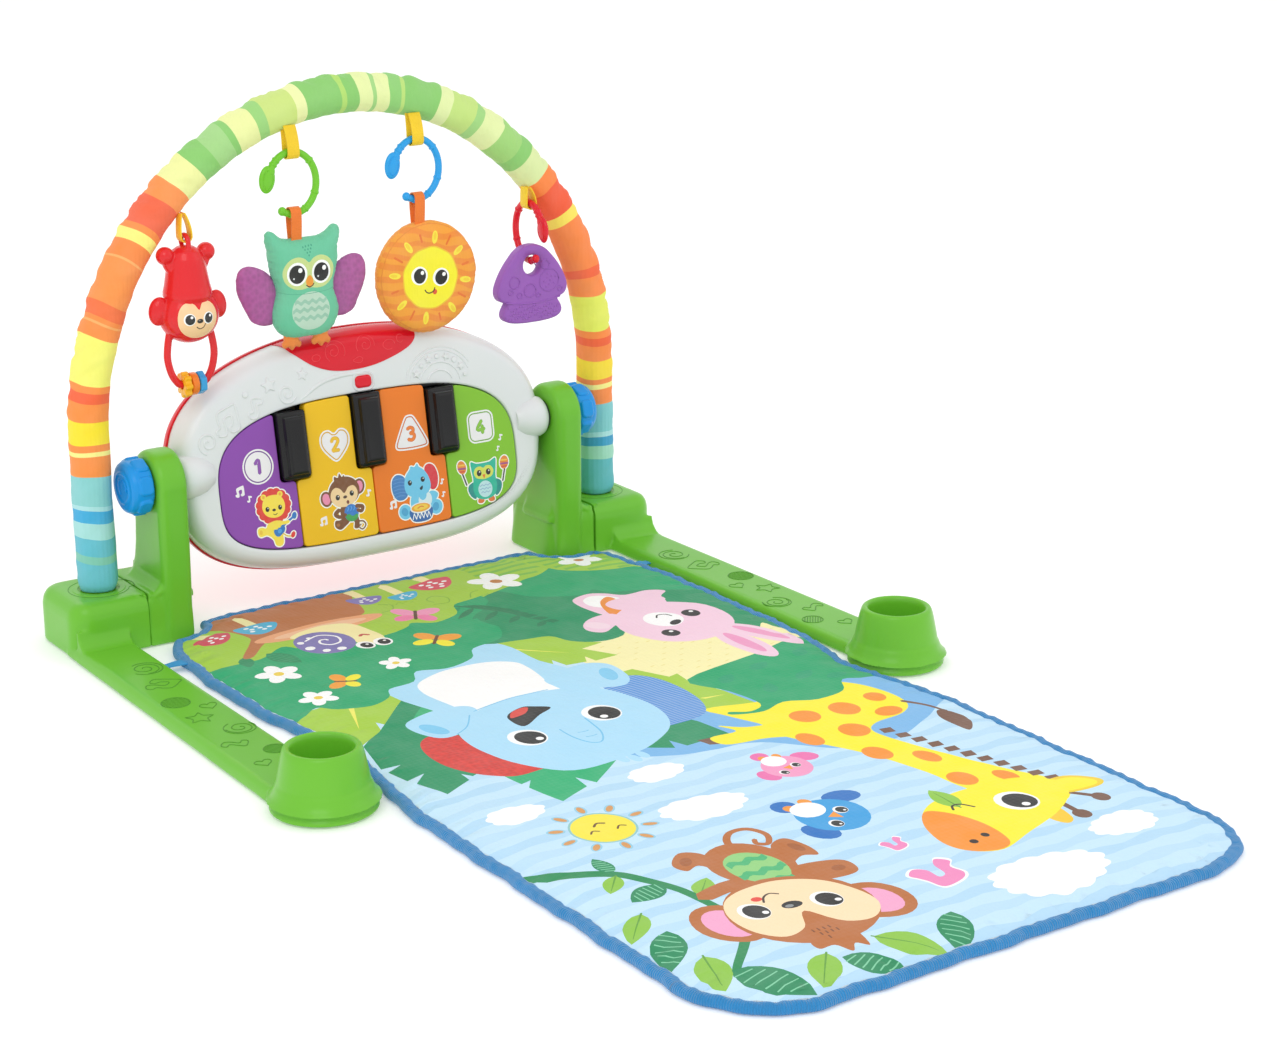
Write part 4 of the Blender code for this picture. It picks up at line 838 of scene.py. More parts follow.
def creases(run, turn):
    """How far the gathered cloth stands in or out: diagonal tucks on the inside of the bend."""
    inner = 0.5 + 0.5 * np.cos(turn)  # 1 where the sleeve faces the middle of the arch
    lean = run + 0.0085 * np.sin(turn) * np.sin(37.0 * run) + 0.006 * np.cos(turn)
    waves = (np.sin(lean * 2 * np.pi / 0.031 + 1.7 * np.sin(21.0 * run))
             + 0.7 * np.sin(lean * 2 * np.pi / 0.0173 + 2.3 * np.sin(34.0 * run) + 2.0 * turn)
             + 0.45 * np.sin(lean * 2 * np.pi / 0.0097 + 3.0 * turn + 4.0 * np.sin(55.0 * run)))
    tucks = np.abs(waves) ** 0.8 * np.sign(waves)
    soft = 0.22 + 0.78 * np.clip(inner * 1.25 - 0.15, 0.0, 1.0) ** 1.6
    bend = np.clip((run - 0.10) / 0.10, 0.25, 1.0) * np.clip((1.02 - run) / 0.10, 0.45, 1.0)
    return tucks * soft * bend * 0.00085


def arch_sleeve():
    """The striped gathered sleeve, with its lining."""
    line, run = arch_line(TOWER_TOP + 0.0006)
    total = run[-1]
    stops = [0.0] + [end * MM for _, end in BANDS[:-1]] + [total]
    marks = []
    for a, b in zip(stops, stops[1:]):
        marks += list(np.linspace(a, b, max(2, math.ceil((b - a) / 0.0020)) + 1)[:-1])
    marks = np.array(marks + [total])
    sides = 56
    turns = 2 * np.pi * np.arange(sides) / sides
    rings = []
    for s in marks:
        slant = 0.0011 * np.sin(turns + 9.0 * s) + 0.0009 * np.sin(2 * turns + 31.0 * s + 1.0)
        edge = min(1.0, s / 0.008, (total - s) / 0.008)
        at = np.clip(s + slant * edge, 0.0, total)
        middle = np.stack([np.interp(at, run, line[:, k]) for k in range(3)], 1)
        ahead = np.stack([np.interp(np.clip(at + 0.002, 0, total), run, line[:, k]) for k in range(3)], 1)
        behind = np.stack([np.interp(np.clip(at - 0.002, 0, total), run, line[:, k]) for k in range(3)], 1)
        along = ahead - behind
        along /= np.linalg.norm(along, axis=1, keepdims=True)
        inward = np.cross(along, (0.0, 1.0, 0.0))  # towards the middle of the arch
        radius = SLEEVE_R + creases(at, turns)
        lumpy = np.array([noise.noise(Vector((a * 24.0, 1.6 * math.cos(t), 1.6 * math.sin(t))))
                          for a, t in zip(at, turns)])
        radius = radius + 0.0009 * lumpy
        tuck = np.exp(-((s if s < total / 2 else total - s) / 0.004) ** 2)  # the end is turned in
        radius = radius - 0.0022 * tuck
        rings.append(middle + radius[:, None] * (np.cos(turns)[:, None] * inward
                                                 + np.sin(turns)[:, None] * np.array([0.0, 1.0, 0.0])))
    centres = [ring.mean(0) for ring in rings]
    lining = [c + (r - c) * (1 - 0.0007 / SLEEVE_R) for r, c in zip(rings, centres)]
    lining[0] = centres[0] + (rings[0] - centres[0]) * 0.80
    lining[-1] = centres[-1] + (rings[-1] - centres[-1]) * 0.80
    verts, faces = lofted(rings + lining[::-1], closed=True)
    made = mesh_object("arch_cloth", verts + (0, ARCH_Y, 0), faces)
    shut(made)
    middles = 0.5 * (marks[1:] + marks[:-1])
    rows = np.concatenate([middles, [total - 0.0005], middles[::-1], [0.0005]])
    paint_faces(made, np.repeat(band_colour(rows), sides, axis=0))
    cloth = printed_fabric("sleeve_cloth", weave=1500.0, crinkle=0.0010, thread=0.00022)
    piece(made, "arch", cloth, ("arch_sleeve",))


arch_sleeve()


# ---- printed artwork: flat shapes in painter's order ---------------------------------------------
DOTTED, STRIPED, PEBBLED = 0.8, 0.6, 0.4


class Artwork:
    """Shapes laid one over another; each is (colour, pattern, closed outline), in centimetres."""

    def __init__(self, scale=CM):
        self.shapes, self.scale = [], scale

    def add(self, code, outline, pattern=1.0):
        self.shapes.append((linear(code), pattern, np.asarray(outline, float) * self.scale))

    def blob(self, code, points, pattern=1.0, per=5):
        self.add(code, spline(points, per), pattern)

    def poly(self, code, points, pattern=1.0):
        self.add(code, np.array(points, float), pattern)

    def oval(self, code, centre, radii, lean=0.0, pattern=1.0, steps=22):
        line = arc((0, 0), radii, 0, 360 - 360 / steps, steps - 1)
        c, s = math.cos(math.radians(lean)), math.sin(math.radians(lean))
        self.add(code, np.stack([centre[0] + line[:, 0] * c - line[:, 1] * s,
                                 centre[1] + line[:, 0] * s + line[:, 1] * c], 1), pattern)

    def stroke(self, code, points, width, end=None, pattern=1.0, per=5):
        """A brush line with round ends; it narrows to `end`."""
        line = spline(points, per, closed=False) if len(points) > 2 else even(np.array(points, float), 4,
                                                                              False)
        along = np.gradient(line, axis=0)
        along /= np.linalg.norm(along, axis=1, keepdims=True) + 1e-12
        side = np.stack([-along[:, 1], along[:, 0]], 1)
        half = np.linspace(width, width if end is None else end, len(line))[:, None] / 2
        nose = line[-1] + along[-1] * half[-1] * 0.8
        tail = line[0] - along[0] * half[0] * 0.8
        self.add(code, np.concatenate([line - side * half, [nose], (line + side * half)[::-1], [tail]]),
                 pattern)

    def leaf(self, code, base, tip, width, vein=None, pattern=1.0, stripes=None):
        """A pointed leaf from its base to its tip, with a vein or pale cross stripes."""
        a, b = np.array(base, float), np.array(tip, float)
        along = b - a
        side = np.array([-along[1], along[0]]) / np.linalg.norm(along) * width / 2
        t = np.linspace(0.0, 1.0, 9)[:, None]
        bulge = np.sin(np.pi * t ** 0.85) ** 0.8
        self.add(code, np.concatenate([a + along * t - side * bulge,
                                       (a + along * t + side * bulge)[::-1][1:-1]]),
                 pattern)
        if stripes:
            for k in np.arange(0.14, 0.9, 0.13):
                reach = float(np.sin(np.pi * k ** 0.85) ** 0.8) * 0.74
                low, high = a + along * (k - 0.05) - side * reach, a + along * (k + 0.05) + side * reach
                self.stroke(stripes, [low, high], 0.11)
        if vein:
            self.stroke(vein, [a - along * 0.03, a + along * 0.85], 0.16, 0.05)

    def cloud(self, code, centre, half, high, bumps=9, pattern=1.0, seed=0):
        t = 2 * np.pi * (np.arange(bumps * 8) / (bumps * 8))
        wave = 1 + 0.12 * np.abs(np.sin(bumps / 2 * t + seed)) + 0.05 * np.sin(3 * t + seed)
        self.add(code, np.stack([centre[0] + half * wave * np.cos(t), centre[1] + high * wave * np.sin(t)],
                                1), pattern)

    def flower(self, centre, radius, lean=0.0, heart="#f3c51f", code="#ffffff", petals=5):
        for k in range(petals):
            angle = math.radians(lean) + 2 * math.pi * k / petals
            at = (centre[0] + radius * 0.58 * math.cos(angle), centre[1] + radius * 0.58 * math.sin(angle))
            self.oval(code, at, (radius * 0.50, radius * 0.36), math.degrees(angle), steps=14)
        self.oval(heart, centre, (radius * 0.24,) * 2, steps=12)

    def eye(self, centre, radius, glint=(0.35, -0.4), white=1.25, lean=0.0):
        if white:
            self.oval("#ffffff", (centre[0] - 0.14 * radius, centre[1] + 0.1 * radius),
                      (radius * white, radius * white * 1.12), lean)
        self.oval("#121212", centre, (radius, radius * 1.16), lean)
        self.oval("#ffffff", (centre[0] + radius * glint[0], centre[1] + radius * glint[1]),
                  (radius * 0.27,) * 2, steps=10)

    def mushroom(self, cap, centre, radius, stem_to, lean=0.0, dots=6):
        c, s = math.cos(math.radians(lean)), math.sin(math.radians(lean))
        turn = np.array([(c, s), (-s, c)])
        self.stroke("#fbefae", [stem_to, centre], 1.0)
        shape = np.array([(-1.0, 0.30), (-0.2, 0.42), (0.6, 0.45), (1.05, 0.25), (0.85, -0.30),
                          (0.45, -0.75),
                          (-0.1, -0.95), (-0.6, -0.72), (-0.95, -0.25)]) * radius
        self.blob(cap, shape @ turn + centre)
        for k in range(dots):
            angle = 2.4 * k + 0.6
            at = np.array([(math.cos(angle) * 0.24 * math.sqrt(k + 0.4),
                            math.sin(angle) * 0.17 * math.sqrt(k + 0.4) - 0.18)])
            self.oval("#ffffff", (at * radius @ turn + centre)[0], (radius * 0.13, radius * 0.10), steps=9)

    def butterfly(self, centre, size, lean, upper, lower, body="#6b3d1c"):
        c, s = math.cos(math.radians(lean)), math.sin(math.radians(lean))
        for sign in (-1, 1):
            for code, u, v, wide, high, tilt in ((upper, 0.55, 0.42, 0.62, 0.42, 35),
                                                 (lower, 0.50, -0.42, 0.52, 0.36, -40)):
                u, v, tilt = u * sign, v, tilt * sign
                at = (centre[0] + size * (u * c - v * s), centre[1] + size * (u * s + v * c))
                self.oval(code, at, (size * wide, size * high), lean + tilt, steps=16)
        self.stroke(body, [(centre[0] + size * 0.6 * s, centre[1] - size * 0.6 * c),
                           (centre[0] - size * 0.6 * s, centre[1] + size * 0.6 * c)], size * 0.16)


def meshed_artwork(art, border, spacing):
    """The print cut into triangles whose edges follow every shape: (points, triangles, colours, patterns)."""
    low, high = border.min(0), border.max(0)
    us = np.arange(low[0], high[0] + spacing, spacing)
    vs = np.arange(low[1], high[1] + spacing, spacing)
    grid = np.stack(np.meshgrid(us, vs), -1).reshape(-1, 2)
    grid[:, 0] += (np.round((grid[:, 1] - low[1]) / spacing) % 2) * spacing * 0.5
    grid = grid[inside(border, grid)]
    away, _ = edge_distance(border[::3], grid)
    grid = grid[away > spacing * 0.45]
    points, edges = [border], [[(i, (i + 1) % len(border)) for i in range(len(border))]]
    count = len(border)
    for _, _, outline in art.shapes:
        points.append(outline)
        edges.append([(count + i, count + (i + 1) % len(outline)) for i in range(len(outline))])
        count += len(outline)
    points.append(grid)
    every = np.concatenate(points)
    flat_edges = [e for group in edges for e in group]
    found = delaunay_2d_cdt([Vector(p) for p in every], flat_edges, [], 0, 1e-6)
    verts = np.array([tuple(v) for v in found[0]])
    tris = np.array([f for f in found[2] if len(f) == 3])
    middle = verts[tris].mean(1)
    keep = inside(border, middle)
    tris, middle = tris[keep], middle[keep]
    colours = np.zeros((len(tris), 3))
    patterns = np.ones(len(tris))
    for colour, pattern, outline in art.shapes:
        hit = inside(outline, middle)
        colours[hit], patterns[hit] = colour, pattern
    used, again = np.unique(tris, return_inverse=True)
    tris = again.reshape(tris.shape)
    verts = verts[used]
    a, b, c = (verts[tris[:, k]] for k in range(3))
    turned_over = (b[:, 0] - a[:, 0]) * (c[:, 1] - a[:, 1]) - (b[:, 1] - a[:, 1]) * (c[:, 0] - a[:, 0]) < 0
    tris[turned_over] = tris[turned_over][:, ::-1]
    return verts, tris, colours, patterns


def rim_of(tris):
    """Edges used by one triangle only, in the triangle's direction."""
    directed = np.concatenate([tris[:, [0, 1]], tris[:, [1, 2]], tris[:, [2, 0]]])
    ordered = np.sort(directed, axis=1)
    _, index, counts = np.unique(ordered, axis=0, return_index=True, return_counts=True)
    return directed[index[counts == 1]]


# ---- the mat's print -----------------------------------------------------------------------------
def mat_artwork():
    """All of the mat's print, in centimetres. Its figures follow the original print closely."""
    art = Artwork()
    art.poly("#c6e7fb", [(-30, 0), (30, 0), (30, -95), (-30, -95)][::-1])
    for row in range(19):  # soft wavy bands of sky
        v = -47.5 - 2.45 * row
        u = np.arange(-27, 27.1, 1.0)
        top = v + 0.22 * np.sin(u * 1.15 + row * 2.1)
        under = v - 0.95 - 0.25 * np.abs(np.sin(u * 0.9 + row))
        art.add("#b5dcf6" if row % 2 else "#bce0f8",
                np.concatenate([np.stack([u, under], 1), np.stack([u, top], 1)[::-1]]))
    art.blob("#7ab8ea", [(-5, -50), (-2.5, -52.6), (1, -53.8), (4.5, -54.2), (7.5, -57), (10, -59.3),
                         (14, -60),
                         (18.5, -58.3), (21.5, -56.4), (24.5, -53.6), (26, -46), (15, -43), (3, -45)])
    sky_things(art)
    jungle_floor(art)
    giraffe(art)
    elephant(art)
    bushes(art)
    log_and_snail(art)
    rabbit(art)
    vine_and_monkey(art)
    return art


def sky_things(art):
    for centre, half, high, bumps, kind in (
            ((-17.9, -55.6), 2.2, 1.35, 9, 1.0), ((-4.9, -54.8), 2.2, 1.35, 9, 1.0),
            ((-5.8, -62.3), 3.4, 2.0, 11, DOTTED), ((7.2, -85.3), 4.5, 2.7, 13, DOTTED),
            ((17.3, -82.0), 2.7, 1.6, 11, 1.0)):
        art.cloud("#ffffff", centre, half, high, bumps, kind, seed=centre[0])
    middle = (-14.0, -61.2)  # sun
    for k in range(10):
        angle = 2 * math.pi * (k + 0.35) / 10
        at = (middle[0] + 3.45 * math.cos(angle), middle[1] + 3.45 * math.sin(angle))
        art.oval("#93cfe6", at, (0.72, 0.42), math.degrees(angle), steps=14)
        art.oval("#d99a58", at, (0.56, 0.27), math.degrees(angle), steps=14)
    art.oval("#8fc9c9", middle, (2.5, 2.7), steps=30)
    art.oval("#fbe83a", middle, (2.32, 2.52), steps=30)
    art.stroke("#6b4a1d", [(-15.3, -61.6), (-14.9, -61.2), (-14.5, -61.5)], 0.16)
    art.stroke("#6b4a1d", [(-13.2, -61.9), (-12.8, -61.5), (-12.4, -61.8)], 0.16)
    art.stroke("#6b4a1d", [(-14.4, -60.6), (-13.9, -60.2), (-13.4, -60.5)], 0.2)
    small_bird(art, (3.9, -59.6), 2.2, -8, "#f59cc6", "#ee6fb0")
    small_bird(art, (0.9, -68.9), 3.0, 12, "#2a9fe0", "#0d6fc2")
    for code, centre, size in (("#f28ac0", (1.3, -75.4), 1.0), ("#f28ac0", (0.6, -80.9), 2.0)):
        art.blob("#ffffff", [(centre[0] + 1.12 * size * u, centre[1] + 1.12 * size * v) for u,
                             v in NOTE_BLOB])
        art.blob(code, [(centre[0] + size * u, centre[1] + size * v) for u, v in NOTE_BLOB])


NOTE_BLOB = [(-0.95, 0.35), (-0.55, 0.65), (-0.15, 0.35), (-0.10, -0.25), (0.25, -0.15), (0.35, 0.55),
             (0.70, 0.95),
             (1.05, 0.55), (0.75, 0.15), (0.85, -0.45), (0.45, -0.85), (-0.45, -1.0), (-0.65, -0.35),
             (-0.80, 0.0)][::-1]


def small_bird(art, centre, size, lean, body, wing):
    """A round bird, upside down like everything that faces the arch."""
    c, s = math.cos(math.radians(lean)), math.sin(math.radians(lean))

    def at(u, v):
        return centre[0] + size * (u * c - v * s), centre[1] + size * (u * s + v * c)

    for u, v, wide, high, tilt, code in ((-0.95, -0.45, 0.36, 0.52, 15, wing),
                                         (1.0, 0.55, 0.52, 0.36, -25, wing),
                                         (-0.45, 1.15, 0.34, 0.36, 0, wing)):
        art.oval(code, at(u, v), (size * wide, size * high), lean + tilt, steps=16)
    art.oval(body, centre, (size * 0.90, size * 0.98), lean, steps=26)
    for u in (-0.42, 0.12):
        art.oval("#f59a2c", at(u, 0.98), (size * 0.17, size * 0.20), lean, steps=12)
    art.oval("#ffffff", at(-0.18, 0.62), (size * 0.46, size * 0.44), lean, steps=18)
    art.poly("#f59a2c", [at(-0.17, -0.02), at(0.08, -0.30), at(0.17, 0.10)])
    art.eye(at(0.38, 0.02), size * 0.15)
    art.eye(at(-0.30, -0.42), size * 0.15)


def jungle_floor(art):
    """The pale path, the big leaves and the leafy bush's ground."""
    art.poly("#fbf3b3", [(3, -27), (25.5, -27), (25.5, -36.6), (17, -38.2), (8.6, -40.2), (5.5, -40),
                         (4, -33)][::-1])
    for k in range(70):
        u, v = 7.2 + (k * 7.13) % 17.4, -29.3 - (k * 3.37) % 9.0
        art.oval("#efe18c", (u, v), (0.30, 0.07), 12, steps=6)
    art.poly("#a6d038", [(-23.5, -29), (-21, -28.2), (-12.5, -27.5), (-12.2, -30.9), (-13.3, -32.9),
                         (-14.2, -31.4),
                         (-14.6, -34.2), (-16.4, -35.2), (-17.2, -33.4), (-17.8, -35.6), (-20.4, -36.9),
                         (-24, -38.5)][::-1])
    art.poly("#f4ef62", [(-17.1, -29.6), (-17.6, -29.6), (-19.0, -34.0)])
    art.poly("#00925f", [(-12.2, -29.4), (-18, -35.4), (-20.3, -37), (-21.3, -41.6), (-19.9, -42.2),
                         (-21.3, -42.7),
                         (-21.1, -45.3), (-19.4, -44.9), (-20.8, -46.2), (-20.0, -49.4), (-17.4, -48.2),
                         (-17.3, -46.8),
                         (-16.8, -47.7), (-13.6, -46), (-11, -36)][::-1])
    art.poly("#1bb173", [(-11.4, -31.5), (-13.6, -33.6), (-15.2, -35.4), (-15.0, -37), (-10, -38)][::-1])
    art.poly("#1bb173", [(-15, -47.8), (-14.6, -51.1), (-13.6, -50.8), (-14.5, -52), (-13.8, -55.6),
                         (-10.7, -54.1),
                         (-10.5, -52.2), (-9.7, -53.9), (-5.7, -50.9), (-8, -46)][::-1])
    art.poly("#00925f", [(-4, -49.5), (-2.6, -50.6), (-1.0, -51.8), (-0.6, -50.4), (0.0, -52.0),
                         (4.3, -51.9),
                         (3.6, -48.2), (2.6, -45.5), (-1, -46)][::-1])
    art.poly("#a6d038", [(3.8, -35.5), (6.2, -35.3), (7.7, -38.6), (8.7, -38.3), (8.5, -40.4), (9.6, -43.6),
                         (10.3, -48.3), (7.4, -47.9), (5.2, -46.6), (6.8, -42)][::-1])
    art.poly("#f4ef62", [(7.0, -43.9), (9.2, -44.4), (7.3, -44.3)][::-1])
    art.poly("#a6d038", [(-1.5, -21.5), (4.8, -21.5), (6.1, -26.8), (7.9, -28.3), (5.6, -28.6), (7.2, -31.7),
                         (4.9, -31.8), (4.7, -30.4), (4.1, -31.6), (2.2, -31.4), (1.9, -29.6), (0.9, -31.6),
                         (-0.3, -31.5)][::-1])
    art.poly("#f4ef62", [(0.0, -25.0), (0.6, -25.2), (4.3, -28.9)][::-1])


def giraffe(art):
    yellow, spot, mark, outline = "#fff019", "#f79420", "#77523f", "#f3d21c"
    art.poly("#77523f", [(1.2, -51.6), (3.0, -51.7), (3.0, -53.4), (1.5, -52.9)][::-1])
    art.blob(yellow, [(4.4, -50.0), (6.2, -51.4), (8.6, -52.5), (8.6, -55.2), (5.6, -54.1), (2.6, -53.5),
                      (2.4, -51.7), (5.0, -51.6)][::-1])
    art.blob(yellow, [(5.6, -46.5), (9, -47), (13, -47.5), (17, -46.5), (19.3, -48.5), (20.3, -52),
                      (20.0, -54.6),
                      (18.2, -56.0), (15.2, -56.5), (13.9, -57.6), (14.2, -60), (15.4, -64), (17.0, -68.6),
                      (18.9, -74.2), (15.5, -77), (12.6, -72), (11.9, -66.5), (10.7, -61.5), (9.0, -57.8),
                      (7.2, -54.3), (7.4, -51.3)][::-1])
    for k in range(11):  # mane
        u, v = 14.5 + 0.405 * k, -58.2 - 1.46 * k
        turn = math.radians(-14)
        corners = [(-0.48, 0.42), (0.55, 0.50), (0.62, -0.42), (-0.42, -0.50)]
        art.poly(mark, [(u + a * math.cos(turn) - b * math.sin(turn) + 0.35,
                         v + a * math.sin(turn) + b * math.cos(turn))
                        for a, b in corners][::-1])
    for u, v, wide, high in ((11.3, -52.3, 1.25, 1.35), (15.0, -52.7, 1.28, 1.38), (18.7, -52.0, 0.9, 1.0),
                             (17.7, -55.0, 1.3, 0.95), (12.8, -56.7, 1.25, 1.35), (8.7, -56.3, 0.95, 1.35),
                             (11.3, -61.4, 1.05, 1.4), (14.0, -64.1, 0.85, 1.35), (13.3, -69.0, 1.05, 1.35),
                             (16.4, -70.4, 0.75, 1.25)):
        art.oval(spot, (u, v), (wide, high), 8)
    art.stroke(mark, [(20.0, -53.9), (21.1, -55.6), (21.5, -57.6)], 0.42, 0.34)
    art.blob(mark, [(21.2, -57.1), (22.0, -58.8), (21.6, -60.6), (20.2, -61.9), (20.0, -59.6),
                    (20.3, -58.0)][::-1])
    for a, b in (((15.9, -76.2), (15.9, -78.6)), ((17.5, -75.4), (18.9, -77.2))):
        art.stroke(mark, [a, b], 0.55)
        art.oval(mark, (b[0] + (b[0] - a[0]) * 0.25, b[1] + (b[1] - a[1]) * 0.25), (0.72, 0.78), steps=16)
    art.blob("#fbcb1e", [(14.2, -76.2), (15.2, -77.2), (14.8, -79.4), (13.8, -79.9), (13.3, -78.4)][::-1])
    art.blob(outline, [(17.4, -73.3), (19.8, -73.0), (21.8, -74.9), (20.6, -76.0), (17.4, -75.6)][::-1])
    art.blob(yellow, [(17.2, -73.6), (19.7, -73.4), (21.2, -74.9), (20.3, -75.7), (17.2, -75.2)][::-1])
    art.blob(yellow, [(18.9, -73.6), (17.4, -76.2), (14.2, -78.2), (10.6, -79.4), (7.2, -80.5),
                      (5.0, -79.5), (4.3, -77.2),
                      (5.0, -74.4), (6.8, -72.2), (9.4, -71.0), (13, -70.7), (16.6, -71.2)])
    art.blob(spot, [(6.7, -72.4), (5.0, -74.4), (4.3, -77.2), (5.0, -79.5), (7.0, -80.4), (8.5, -79.6),
                    (8.9, -76.4),
                    (8.1, -73.6)])
    for u, v in ((6.2, -78.4), (7.6, -78.0)):
        art.oval("#2a1c12", (u, v), (0.32, 0.36), steps=12)
    art.leaf("#8fc93f", (9.5, -73.1), (9.7, -69.3), 1.9, vein="#5f9c2c")
    art.stroke("#33261a", [(8.7, -73.3), (9.2, -72.6), (9.9, -72.7), (10.4, -73.7)], 0.20)
    art.eye((13.8, -74.8), 1.25, (-0.05, -0.62), 1.30)


def elephant(art):
    skin, shade, ear = "#aee0fb", "#79c6ee", "#7fccf2"
    art.blob(skin, [(-13.0, -25), (-13.2, -30), (-12.2, -34), (-11, -38), (0.5, -38), (2.2, -34),
                    (1.0, -29), (0.6, -24),
                    (-2, -20.5), (-7, -21)])
    art.blob("#ffffff", [(-10.8, -30.0), (-10.0, -27.8), (-6.8, -26.6), (-3.4, -26.7), (-1.0, -27.9),
                         (-0.6, -30),
                         (-1.3, -34), (-2.0, -37.4), (-9.4, -37.4), (-10.4, -34)][::-1])
    art.blob("#e2352b", [(-13.4, -39.0), (-15.2, -38.3), (-16.8, -39.8), (-17.5, -43.2), (-16.7, -46.7),
                         (-14.8, -49.1),
                         (-12.6, -49.5), (-10.2, -48.4), (-12, -44)], PEBBLED)
    art.blob("#2488d8", [(1.8, -37.2), (4.6, -36.3), (6.4, -37.7), (7.1, -41.2), (6.7, -44.6), (5.2, -47.1),
                         (2.6, -47.8),
                         (0.6, -47.0), (2.4, -42.5)][::-1], STRIPED)
    art.blob(skin, [(-9.8, -51.0), (-12.5, -47.6), (-13.5, -43.4), (-13.2, -39.8), (-11.6, -37.2),
                    (-8.5, -35.7),
                    (-4.8, -35.2), (-0.8, -35.9), (1.7, -37.8), (2.8, -41.0), (2.8, -44.5), (1.4, -47.7),
                    (-1.4, -49.9),
                    (-5.3, -51.1)])
    for a in ((-5.6, -51.3), (-4.7, -51.7), (-3.8, -51.4)):
        art.oval(skin, a, (0.42, 0.75), 10, steps=12)
    for points, pad, lean in (
            ([(-15.7, -36.4), (-15.2, -34.9), (-12.6, -34.0), (-9.9, -34.3), (-9.2, -35.7), (-10.6, -37.8),
              (-13, -39.3),
              (-14.7, -39.1)], (-14.1, -37.3), 22),
            ([(-1.3, -33.4), (0.8, -32.3), (4.0, -32.0), (5.3, -33.6), (5.0, -36.6), (3.7, -38.0),
              (1.9, -37.6),
              (-0.8, -35.9)], (3.9, -35.2), -16)):
        art.blob(skin, points[::-1])
        art.oval(ear, pad, (0.72, 1.45), lean)
    art.stroke(shade, [(-9.6, -35.9), (-7.4, -35.4), (-5, -35.15), (-2.2, -35.35)], 0.13)
    art.stroke(shade, [(-13.1, -39.2), (-11.6, -38.2), (-10.3, -36.4)], 0.13)
    art.blob("#151515", [(-8.2, -39.0), (-7.6, -38.0), (-6.0, -37.3), (-5.1, -37.6), (-4.0, -38.6),
                         (-5.6, -39.5),
                         (-7.9, -40.9)])
    art.blob("#e0453a", [(-7.9, -38.7), (-7.2, -37.8), (-6.0, -37.4), (-5.6, -37.7), (-6.4, -38.6),
                         (-7.6, -38.9)])
    art.stroke(shade, [(-6.1, -43.2), (-6.15, -45.4), (-5.6, -47.0), (-4.7, -47.2), (-3.6, -45.2),
                       (-3.1, -42.2)], 0.15)
    for v in (-44.6, -45.8):
        art.stroke(shade, [(-5.3, v), (-4.8, v - 0.08), (-4.3, v)], 0.12)
    art.eye((-8.9, -43.3), 1.22, (0.42, -0.48), 1.28)
    art.eye((-1.2, -42.2), 1.26, (-0.36, -0.52), 1.26)


